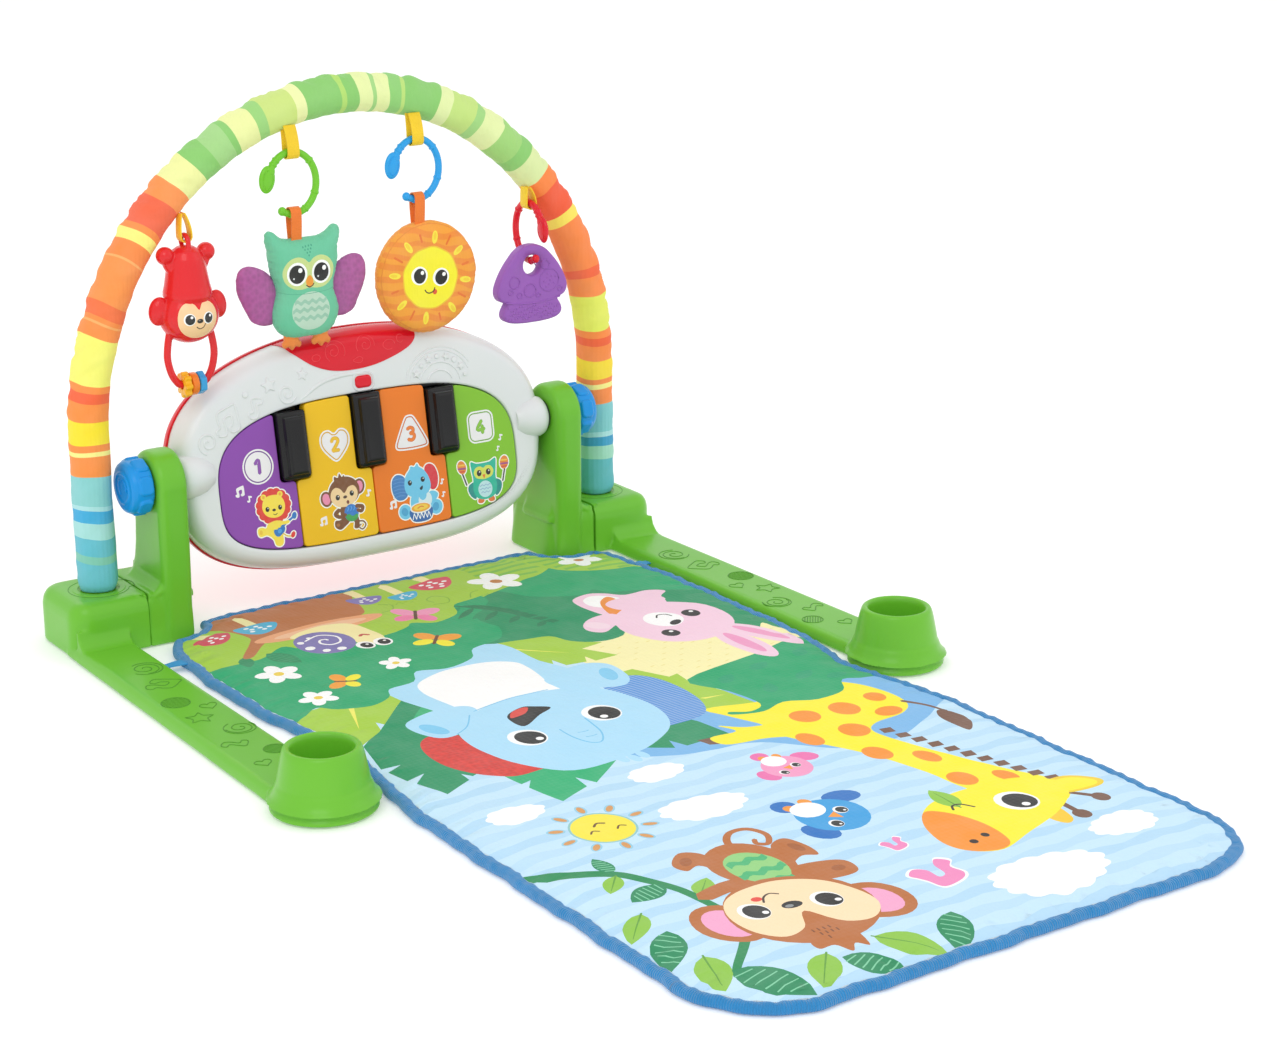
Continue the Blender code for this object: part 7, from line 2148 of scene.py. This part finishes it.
def strap_loop(top, bottom, half_top, half, width, across_y, lean=0.0, thick=0.00115):
    """A hanging loop of webbing, drawn in its own plane: (verts, faces) and the cut length."""
    t = np.linspace(0, 1, 12)
    low = bottom + half
    right = np.column_stack([half_top + (half - half_top) * np.sin(t * np.pi / 2) ** 0.8,
                             top + (low - top) * t])
    under = arc((0, low), half, 0, -180, 14)
    left = np.column_stack([-right[:, 0], right[:, 1]])[::-1]
    line = np.concatenate([right, under[1:-1], left])
    line[:, 0] += lean * np.clip((line[:, 1] - low) / (top - low), 0, 1) ** 2 if across_y else 0.0
    along = np.gradient(line, axis=0)
    along /= np.linalg.norm(along, axis=1, keepdims=True)
    inward = np.stack([along[:, 1], -along[:, 0]], 1)
    rings = []
    for p, n in zip(line, inward):
        shift = 0.0 if across_y else lean * max(0.0, (p[1] - low) / (top - low)) ** 2
        q, ring = p + n * thick, []
        for point, s in ((p, -1), (p, 0), (p, 1), (q, 1), (q, 0), (q, -1)):
            w = s * width / 2
            ring.append((w, point[0], point[1]) if across_y else (point[0], w + shift, point[1]))
        rings.append(np.array(ring))
    return lofted(rings), float(np.linalg.norm(np.diff(line, axis=0), axis=1).sum())


def strap(name, x, part, body, replaces, material, flip=None):
    verts, faces = part
    if flip is not None:
        verts = verts * (1, 1, -1)
    made = mesh_object(name, *moved((verts, faces), AT_TOYS @ Matrix.Translation((x, 0, 0))))
    shut(made)
    bevelled(made, 0.0002, 2, 40)
    made.data.shade_smooth()
    made.data.set_sharp_from_angle(angle=math.radians(50))
    piece(made, body, material, replaces)


def straps():
    """The webbing loops on the sleeve and on the two soft toys."""
    for name, x, node in (("loop_green", GREEN_X, "strap_green_link"),
                          ("loop_blue", BLUE_X, "strap_blue_link")):
        low, high = (Vector(corner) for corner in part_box(node))
        part, length = strap_loop(high.z + 0.0085, low.z, 0.0034, 0.0058, 0.0115, True, 0.0045)
        strap(name, x, part, "arch", (node,), YELLOW_STRAP)
    for name, x, node, width in (("loop_red", TEETHER_X, "strap_red_link", 0.0115),
                                 ("loop_monkey", MONKEY_X, "strap_monkey", 0.0100)):
        low, high = (Vector(corner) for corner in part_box(node))
        part, length = strap_loop(high.z + 0.0075, low.z, 0.0019, 0.0056, width, False, 0.0045)
        strap(name, x, part, "arch", (node,), YELLOW_STRAP)
    for name, x, sewn, body in (("loop_owl", GREEN_X, 0.3330, "owl"), ("loop_sun", BLUE_X, 0.3335, "sun")):
        top = LINK_Z - LINK_RISE + 0.0033 + 0.0031
        part, length = strap_loop(-sewn, -top, 0.0030, 0.0058, 0.0100, True)
        strap(name, x, part, body, (), ORANGE_STRAP, flip=True)


# ---- stuffed toys ----------------------------------------------------------------------------------
def puffed(outline, cell, rounds):
    """How far a stuffed shape swells at each point, from 0 at its seam to 1."""
    low = outline.min(0) - 3 * cell
    count = np.ceil((outline.max(0) + 3 * cell - low) / cell).astype(int) + 1
    us, vs = low[0] + cell * np.arange(count[0]), low[1] + cell * np.arange(count[1])
    grid = np.stack(np.meshgrid(us, vs, indexing="ij"), -1).reshape(-1, 2)
    mask = inside(outline, grid).reshape(count)
    level = np.zeros(count)
    for _ in range(rounds):
        level = np.where(mask, 1 + 0.25 * (np.roll(level, 1, 0) + np.roll(level, -1, 0) + np.roll(level, 1,
                                                                                                  1)
                                           + np.roll(level, -1, 1)), 0)
    level /= level.max()

    def height(points):
        at = (np.asarray(points, float) - low) / cell
        i = np.clip(np.floor(at).astype(int), 0, np.array(count) - 2)
        f = at - i
        a, b = i[:, 0], i[:, 1]
        value = ((1 - f[:, 0]) * (1 - f[:, 1]) * level[a, b] + f[:, 0] * (1 - f[:, 1]) * level[a + 1, b]
                 + (1 - f[:, 0]) * f[:, 1] * level[a, b + 1] + f[:, 0] * f[:, 1] * level[a + 1, b + 1])
        return np.sqrt(np.clip(value, 0, 1))

    return height


def stuffed(name, outline, art, half, body, material, replaces=(), plain="#63c19a", cell=0.0008,
            rounds=500,
            spacing=0.0026, y=0.0, pucker=0.00035, kind=1.0):
    """A sewn, filled shape in the toys' plane: printed in front, plain behind, puckered along its seam."""
    outline = even(outline, max(90, int(len(outline))))
    swell = puffed(outline, cell, rounds)

    def rise(points):
        away, run = edge_distance(outline, points)
        lumps = np.array([noise.fractal(Vector((a * 55.0, b * 55.0, half * 900)), 0.6, 2.0, 2)
                          for a, b in points])
        tucks = np.sin(run * 2 * np.pi / 0.0072 + 2.0 * np.sin(run * 90.0))
        tucks = tucks * np.exp(-((away - 0.0022) / 0.0022) ** 2)
        return half * swell(points) * (1 + 0.07 * lumps) + pucker * tucks

    verts, tris, colours, patterns = meshed_artwork(art, outline, spacing)
    tops = np.maximum(rise(verts), 0.0)
    step = 0.0006
    slopes = [(rise(verts + s) - rise(verts - np.array(s))) / (2 * step) for s in ((step, 0.0), (0.0, step))]
    slopes = [np.clip(s, -3.0, 3.0) for s in slopes]
    seam = 0.0004
    count = len(verts)
    front = upright(verts, y - tops - seam)
    back = upright(verts, y + tops + seam)
    rim = rim_of(tris)
    faces = [tuple(map(int, t)) for t in tris] + [tuple(map(int, (t + count)[::-1])) for t in tris]
    faces += [(int(b), int(a), int(a + count), int(b + count)) for a, b in rim]
    made = mesh_object(name, np.concatenate([front, back]), faces)
    made.data.transform(AT_TOYS)
    blank = np.array(linear(plain))
    others = len(tris) + len(rim)
    paint_faces(made, np.concatenate([colours, np.tile(blank, (others, 1))]),
                np.concatenate([patterns, np.full(others, kind)]))
    normals = []
    for sign in (-1.0, 1.0):
        n = np.column_stack([-slopes[0], np.full(count, sign), -slopes[1]])
        normals.append(n / np.linalg.norm(n, axis=1, keepdims=True))
    made.data.normals_split_custom_set_from_vertices(np.concatenate(normals).tolist())
    piece(made, body, material, replaces)
    return made


def shifted(art, centre, lean=0.0):
    c, s = math.cos(math.radians(lean)), math.sin(math.radians(lean))
    turn = np.array([(c, s), (-s, c)])
    art.shapes = [(code, kind, shape @ turn + centre) for code, kind, shape in art.shapes]
    return art


def owl():
    """The stuffed owl, its wings and feet."""
    x, z = -0.0560, 0.2960
    half = np.array([(0, -46.5), (8, -46.3), (19, -44.8), (26.5, -39.5), (31, -31), (32, -22), (29.5, -12),
                     (27, -4),
                     (28.6, 4), (31.5, 14), (33, 24), (33.2, 32), (35.2, 39), (36.2, 46), (33.8, 50.4),
                     (29, 50.0),
                     (24, 45.5), (17.5, 42.6), (8, 42.0), (0, 42)]) * MM
    shape = np.concatenate([half, (half * (-1, 1))[::-1][1:-1]])
    outline = spline(shape, 5) + (x, z)
    art = Artwork(MM)
    art.poly("#66c49c", [(-60, -70), (60, -70), (60, 70), (-60, 70)])
    for u, v in ((-4.4, 35.4), (-1.6, 35.9), (1.4, 36.2), (4.2, 36.4), (-2.8, 33.0), (0.2, 33.2),
                 (3.0, 33.6),
                 (-1.0, 30.4), (1.8, 30.8), (0.4, 28.0)):
        art.oval("#3f9f80", (u, v), (0.75, 0.95), steps=10)
    mask = [(0, 22.0), (-4.5, 25.6), (-11.5, 27.4), (-19.0, 24.8), (-24.0, 18.6), (-25.0, 11.6),
            (-22.0, 4.4),
            (-15.5, -0.4), (-8, -1.6), (0, -0.4)]
    art.blob("#cbdc8e", mask + [(-u, v) for u, v in mask[::-1][1:-1]])
    for u in (-11.8, 11.8):
        art.oval("#ffffff", (u, 12.4), (9.6, 10.4), steps=34)
        art.oval("#0d0d0d", (u, 12.2), (7.6, 8.3), steps=32)
        art.oval("#ffffff", (u + 3.0, 15.6), (2.0, 2.2), steps=14)
        art.oval("#d8dcdc", (u - 3.2, 8.6), (0.9, 0.9), steps=10)
    art.blob("#f09a2c", [(0, 10.6), (-3.4, 6.4), (-3.0, 1.8), (0, -0.8), (3.0, 1.8), (3.4, 6.4)])
    art.stroke("#2a1a10", [(-3.4, 1.8), (-0.6, 0.0), (2.6, 1.0), (4.2, 3.0)], 0.9)
    belly = arc((0.6, -21.5), (18.6, 17.2), 0, 352, 44)
    art.add("#bcd9c4", belly)
    for k, v in enumerate((-13.0, -20.0, -27.5)):
        span = 18.0 * math.sqrt(max(0.05, 1 - ((v + 21.5) / 17.2) ** 2))
        u = np.linspace(0.6 - span, 0.6 + span, 31)
        wave = v + 1.15 * np.sin(u * 0.86 + k)
        art.add("#98c6ae", np.concatenate([np.stack([u, wave - 1.9], 1),
                                           np.stack([u, wave + 1.4], 1)[::-1]]))
    art.stroke("#4fae88", [(-27.5, -3.0), (-16, -5.2), (0, -5.8), (16, -5.2), (27.5, -3.0)], 0.5)
    plush = printed_fabric("owl_plush", weave=2600.0, thread=0.00014, rough=0.88, crinkle=0.0006, sheen=0.15)
    stuffed("owl_plush", outline, shifted(art, (x, z)), 0.0115, "owl", plush, ("owl_body",),
            "#66c49c",
            rounds=420)
    speckled = printed_fabric("wing_cloth", weave=1900.0, thread=0.00020, rough=0.85, crinkle=0.0008,
                              sheen=0.15)
    wing = np.array([(-27, 4), (-33, 13), (-42, 19), (-52, 21.5), (-60, 18.5), (-63.5, 9), (-62.5, -2),
                     (-58.5, -12),
                     (-54.5, -20), (-50.5, -27.5), (-44, -31.5), (-36, -33.0), (-29.6, -31), (-26, -22),
                     (-24.5, -10)]) * MM
    for sign, side in SIDES:
        shape = spline(wing[::-1] * (1, 1), 5) if sign < 0 else spline(wing * (-1, 1), 5)
        shape = shape + (x, z)
        art = Artwork(MM)
        art.poly("#b4569f", [(-90, -70), (90, -70), (90, 70), (-90, 70)], PEBBLED)
        stuffed(f"wing_cloth_{side}", shape, shifted(art, (x, z)), 0.0042, "owl", speckled,
                (f"owl_wing_{side}",), "#b4569f", rounds=260, y=0.0035, pucker=0.0002, kind=PEBBLED)
    felt = printed_fabric("foot_felt", weave=2400.0, thread=0.00016, rough=0.85, crinkle=0.0004, sheen=0.15)
    foot = spline(np.array([(-6.2, 6), (6.2, 6), (6.8, 0), (9.4, -3.6), (7.4, -7.4), (3.6, -6.2),
                            (0.4, -9.6), (-3.2, -6.2),
                            (-7.2, -7.2), (-9.2, -3.4), (-6.8, 0)])[::-1] * MM, 6)
    for sign, side in SIDES:
        art = Artwork(MM)
        art.poly("#f0852a", [(-60, -90), (60, -90), (60, 70), (-60, 70)])
        stuffed(f"owl_foot_{side}", foot + (x + sign * 0.0145, z - 0.0478), shifted(art, (x, z)), 0.0036,
                "owl",
                felt, (), "#f0852a", cell=0.0005, rounds=200, spacing=0.0018, pucker=0.0001)


def sun():
    """The stuffed sun."""
    x, z = 0.0675, 0.2885
    t = np.linspace(0, 2 * np.pi, 160, endpoint=False)
    radius = 0.0512 * (1 + 0.006 * np.sin(3 * t + 1) + 0.004 * np.sin(7 * t) + 0.0022 * np.sin(19 * t))
    outline = np.stack([x + radius * np.cos(t), z + radius * np.sin(t)], 1)
    art = Artwork(MM)
    art.poly("#f6a02c", [(-60, -60), (60, -60), (60, 60), (-60, 60)])
    for k, v in enumerate(np.arange(-48, 50, 11.0)):
        u = np.linspace(-54, 54, 60)
        wave = v + 1.6 * np.sin(u * 0.11 + 1.3 * k) + 0.5 * np.sin(u * 0.31 + k)
        art.add("#f18d2c", np.concatenate([np.stack([u, wave - 2.6 - 0.8 * np.sin(u * 0.07 + k)], 1),
                                           np.stack([u, wave + 2.4], 1)[::-1]]))
    ring = arc((0, 0), 49.2, 0, 356, 90)
    art.add("#e98a26", np.concatenate([ring, ring[:1], grown(ring, -0.7)[:1], grown(ring, -0.7)[::-1]]))
    for k in range(8):
        angle = math.radians(90 + 45 * k)
        at = (37.0 * math.cos(angle), 37.0 * math.sin(angle))
        art.oval("#fbe53a", at, (6.0, 2.9), math.degrees(angle), steps=20)
        art.oval("#f6d22c", (at[0] * 1.03, at[1] * 1.03), (3.6, 1.5), math.degrees(angle), steps=14)
        angle += math.radians(22.5)
        a, b = (33.5, 42.5) if k % 2 else (34.5, 41.5)
        art.stroke("#e9701e", [(a * math.cos(angle), a * math.sin(angle)),
                               (b * math.cos(angle), b * math.sin(angle))], 2.0)
    wavy = arc((0, 0), 1.0, 0, 354, 59)
    bumps = 1 + 0.012 * np.sin(9 * np.radians(np.linspace(0, 354, 60)))
    art.add("#f3c428", wavy * (28.8 * bumps)[:, None])
    art.add("#fbef1e", wavy * (27.6 * bumps)[:, None])
    for u, v in ((-11.2, 1.0), (11.2, 1.0)):
        art.oval("#ffffff", (u - 0.4, v + 0.2), (8.4, 8.4), steps=30)
        art.oval("#0d0d0d", (u, v), (6.3, 6.9), steps=30)
        art.oval("#ffffff", (u + 2.4, v + 3.0), (1.8, 1.9), steps=12)
    art.oval("#e2562a", (6.2, -12.6), (2.3, 2.5), steps=18)
    art.stroke("#2a1a10", [(-4.6, -11.4), (-2.2, -13.6), (1.2, -13.9), (4.6, -12.0), (5.6, -8.8)], 1.1)
    cloth = printed_fabric("sun_cloth", weave=2000.0, thread=0.00016, rough=0.80, crinkle=0.0007, sheen=0.1)
    stuffed("sun_cushion", outline, shifted(art, (x, z), -9), 0.0088, "sun", cloth,
            ("sun_pad",), "#f39a2e",
            rounds=170, spacing=0.0030, pucker=0.0004)


# ---- teether and monkey ----------------------------------------------------------------------------
VIOLET = plastic("violet_rubber", "#9a5fb8", rough=0.42, peel=0.0001)
BEAD_COLOURS = {"gear": "#f6b51c", "round": "#f0812a", "hex": "#3aa0dc"}


def teether():
    """The teether and its raised marks."""
    x, z = TEETHER_X, 0.2680
    half = [(0, 37.2), (8, 36.0), (15.5, 32.0), (22, 25.5), (28.5, 17.5), (34, 8.5), (37.6, 0.0),
            (38.2, -6.5),
            (35.6, -12.0), (31.0, -14.6), (27.6, -15.6), (28.6, -18.4), (31.2, -22.8), (32.0, -28.0),
            (29.0, -32.4),
            (22, -35.0), (11, -36.2), (0, -36.4)]
    shape = np.array(half + [(-u, v) for u, v in half[::-1][1:-1]])[::-1] * MM
    outline = even(spline(shape, 6), 220) + (x, z)
    soft = 0.0026
    angles = np.linspace(0, np.pi / 2, 6)
    levels = [(-soft * (1 - math.cos(a)), -0.0058 + soft * (1 - math.sin(a))) for a in angles[::-1]]
    levels += [(g, -d) for g, d in levels[::-1]]
    made = mesh_object("teether_body", *levelled(outline, levels, upright))
    shut(made)
    flare = [(0.0125, -0.0075), (0.0104, -0.0052), (0.0094, -0.0034), (0.0090, 0.0), (0.0094, 0.0034),
             (0.0104, 0.0052),
             (0.0125, 0.0075)]
    cut_with(made, turned(flare, (x, z + 0.0180), upright, steps=48))
    made.data.transform(AT_TOYS)
    made.data.shade_smooth()
    made.data.set_sharp_from_angle(angle=math.radians(50))
    piece(made, "teether", VIOLET, ("teether",))
    parts = []
    for side in (-1, 1):
        y = side * 0.0058
        for u, v, r in ((-20.0, 3.6, 5.4), (-3.6, -5.4, 6.2), (13.6, 17.4, 4.2), (17.6, 2.2, 10.6),
                        (-15.0, -9.0, 2.6),
                        (-24.6, -5.2, 2.4), (5.4, -11.0, 2.2), (29.6, -7.4, 2.4)):
            loop = arc((x + u * MM, z + v * MM), r * MM, 0, 350, 36)
            loop = np.concatenate([loop, loop[:2]])
            parts.append(tube(upright(loop, y), 0.00055, 6, side=np.array([0, 1.0, 0])))
        for k in range(9):
            angle, reach = 2.4 * k, 2.6 * math.sqrt(k + 0.3)
            at = (x + (17.6 + reach * math.cos(angle)) * MM, y, z + (2.2 + reach * math.sin(angle)) * MM)
            parts.append(ball(at, (0.0010, 0.0006, 0.0010), None, 6, 10))
        for k in range(70):
            u, v = -27.0 + (k * 5.31) % 54.0, -19.6 - (k * 3.07) % 13.2
            parts.append(ball((x + u * MM, y, z + v * MM), (0.0011, 0.00055, 0.0011), None, 6, 8))
        brow = spline([(-29.5, -14.6), (-16, -16.8), (0, -17.6), (16, -16.8), (29.5, -14.6)], 6,
                      closed=False) * MM + (x, z)
        parts.append(tube(upright(brow, y - side * 0.0001), 0.0008, 8, side=np.array([0, 1.0, 0])))
    solid_piece("teether_relief", moved(merged(parts), AT_TOYS), "teether", VIOLET,
                sharp=70)


def monkey():
    """The monkey rattle and its printed face."""
    x, head_z = MONKEY_X, 0.2840
    trunk = ((0.0020, 0.3442), (0.0075, 0.3430), (0.0125, 0.3395), (0.0155, 0.3340), (0.0170, 0.3270),
             (0.0182, 0.3190),
             (0.0198, 0.3100), (0.0212, 0.3045), (0.0214, 0.3010), (0.0190, 0.2960))
    parts = [turned(trunk, (x, 0), steps=44), ball((x, 0, head_z), HEAD, None, 24, 40)]
    for sign in (-1, 1):
        ear_turn = Matrix.Rotation(math.radians(-10 * sign), 4,
                                   "Y") @ Matrix.Rotation(math.radians(16 * sign), 4, "Z")
        parts.append(ball((x + sign * 0.0274, 0, head_z + 0.0058), (0.0090, 0.0062, 0.0126), ear_turn, 18,
                          30))
        foot = (x + sign * 0.0190, 0, 0.3368)
        parts.append(ball(foot, (0.0080, 0.0080, 0.0080), None, 16, 26))
        leg = np.array([(x + sign * 0.0080, 0, 0.3215), (x + sign * 0.0145, 0, 0.3290), foot])
        parts.append(tube(even(leg, 8, False), np.linspace(0.0085, 0.0052, 8), 16,
                          side=np.array([0, 1.0, 0])))
    arm = [(-0.0175, 0.2740), (-0.0205, 0.2620), (-0.0220, 0.2480), (-0.0195, 0.2350), (-0.0150, 0.2265),
           (-0.0095, 0.2228)]
    line = spline(np.array(arm + [(-u, v) for u, v in arm[::-1]]), 6, closed=False)
    path = np.column_stack([x + line[:, 0], np.zeros(len(line)), line[:, 1]])
    parts.append(tube(path, 0.0033, 14, side=np.array([0, 1.0, 0])))
    hook = [(-0.0072, 0.3345)] + [(0.0072 * math.cos(a), 0.3470 + 0.0060 * math.sin(a))
                                  for a in np.radians(np.linspace(180, -25, 14))]
    hook = np.array(hook)
    tail = np.column_stack([np.full(len(hook), x), hook[:, 0], hook[:, 1]])
    parts.append(tube(tail, 0.0023, 12, side=np.array([1.0, 0, 0])))
    made = fused("monkey_moulding", [moved(p, AT_TOYS) for p in parts], 0.0007, 4)
    piece(made, "monkey", RED_SHINY, ("monkey_rattle",))
    art = Artwork(MM)
    art.blob("#fbcf9c", [(0, 7.6), (-3.6, 12.4), (-9.2, 13.8), (-14.6, 10.4), (-17.8, 3.4), (-17.6, -5.2),
                         (-13.6, -12.4),
                         (-6.6, -16.8), (0, -17.8), (6.6, -16.8), (13.6, -12.4), (17.6, -5.2), (17.8, 3.4),
                         (14.6, 10.4),
                         (9.2, 13.8), (3.6, 12.4)])
    for u in (-8.6, 8.6):
        art.oval("#ffffff", (u - 0.3, -0.2), (5.0, 5.3), steps=26)
        art.oval("#0d0d0d", (u, -0.3), (4.1, 4.5), steps=26)
        art.oval("#ffffff", (u + 1.4, 1.7), (1.2, 1.2), steps=10)
    art.oval("#1b120d", (0, -2.0), (2.9, 2.0), steps=20)
    art.oval("#8a8078", (-0.6, -1.4), (1.0, 0.5), steps=10)
    art.stroke("#3a2213", [(-3.0, -7.0), (0.0, -9.0), (3.6, -7.6), (5.0, -4.6)], 0.85)
    verts, tris, colours, patterns = sticker_mesh(art, 0.0022)
    depth = -HEAD[1] * np.sqrt(np.clip(1 - (verts[:, 0] / HEAD[0]) ** 2 - (verts[:, 1] / HEAD[2]) ** 2, 0.02,
                                      1)) - 0.00018
    face = np.column_stack([x + verts[:, 0], depth, head_z + verts[:, 1]])
    made = mesh_object("monkey_face", face, [tuple(map(int, t)) for t in tris])
    made.data.transform(AT_TOYS)
    paint_faces(made, colours, patterns)
    piece(made, "monkey", printed_plastic("monkey_face_ink", 0.28))
    # The tuft marks take the lighter red of the painted relief highlight.
    ticks = []
    for k in range(9):
        u, v = (-4.5 + 3.0 * (k % 4) + 1.4 * (k // 4)) * MM, (19.2 - 2.6 * (k // 4)) * MM
        y = -HEAD[1] * math.sqrt(max(0.05, 1 - (u / HEAD[0]) ** 2 - (v / HEAD[2]) ** 2))
        ticks.append(ball((x + u, y, head_z + v), (0.0005, 0.0006, 0.0010), None, 6, 8))
    solid_piece("monkey_tuft", moved(merged(ticks), AT_TOYS), "monkey", RED_RELIEF_HIGHLIGHT, sharp=70)


def beads():
    """The three beads on the rattle's handle."""
    for index, kind in enumerate(("gear", "round", "hex")):
        x = MONKEY_X + (index - 1) * BEAD_PITCH
        angle = 2 * np.pi * np.arange(96) / 96
        if kind == "gear":
            outside = 0.0104 + 0.0011 * np.tanh(2.2 * np.cos(8 * angle)) / math.tanh(2.2)
        elif kind == "hex":
            outside = 0.0090 / np.cos((angle + math.pi / 6) % (math.pi / 3) - math.pi / 6)
            outside = np.minimum(outside, 0.0101)
        else:
            outside = np.full(96, 0.0098)
        rings = []
        section = [(0.0039, -0.0026), (0.0043, -0.0031)]
        for grow, side in ((-0.0009, -0.0031), (-0.0003, -0.0028), (0, -0.0021), (0, 0.0021),
                           (-0.0003, 0.0028),
                           (-0.0009, 0.0031)):
            section.append((outside + grow, side))
        section += [(0.0043, 0.0031), (0.0039, 0.0026)]
        for radius, side in section:
            radius = np.broadcast_to(radius, 96)
            rings.append(np.column_stack([np.full(96, x + side), radius * np.cos(angle),
                                          HANDLE_Z + radius * np.sin(angle)]))
        material = plastic(f"bead_{kind}_plastic", BEAD_COLOURS[kind], rough=0.26, peel=0.00006, coat=0.25)
        solid_piece(f"bead_{kind}_moulding", moved(lofted(rings, closed=True), AT_TOYS), f"bead_{kind}",
                    material,
                    (f"bead_{kind}",), 40)


RED_SHINY = plastic("red_shiny", "#e3262c", rough=0.18, peel=0.00006, coat=0.4)
links()
straps()
owl()
sun()
teether()
monkey()
beads()


# ---- nodes that stay, each with a better material -------------------------------------------------
KEPT = {"bottom_cover": GREEN, "foot_": RUBBER, "friction_washer": RUBBER, "clamp_bolt": STEEL,
        "arch_tube": GREY_TUBE, "circuit_board": BOARD, "battery_1": STEEL, "battery_2": STEEL,
        "battery_3": STEEL, "speaker": BLACK, "mode_switch": BLACK}
for node_name, node_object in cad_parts.items():
    for start, kept_material in KEPT.items():
        if node_name.startswith(start):
            node_object.data.materials.clear()
            node_object.data.materials.append(kept_material)

studio()
camera()
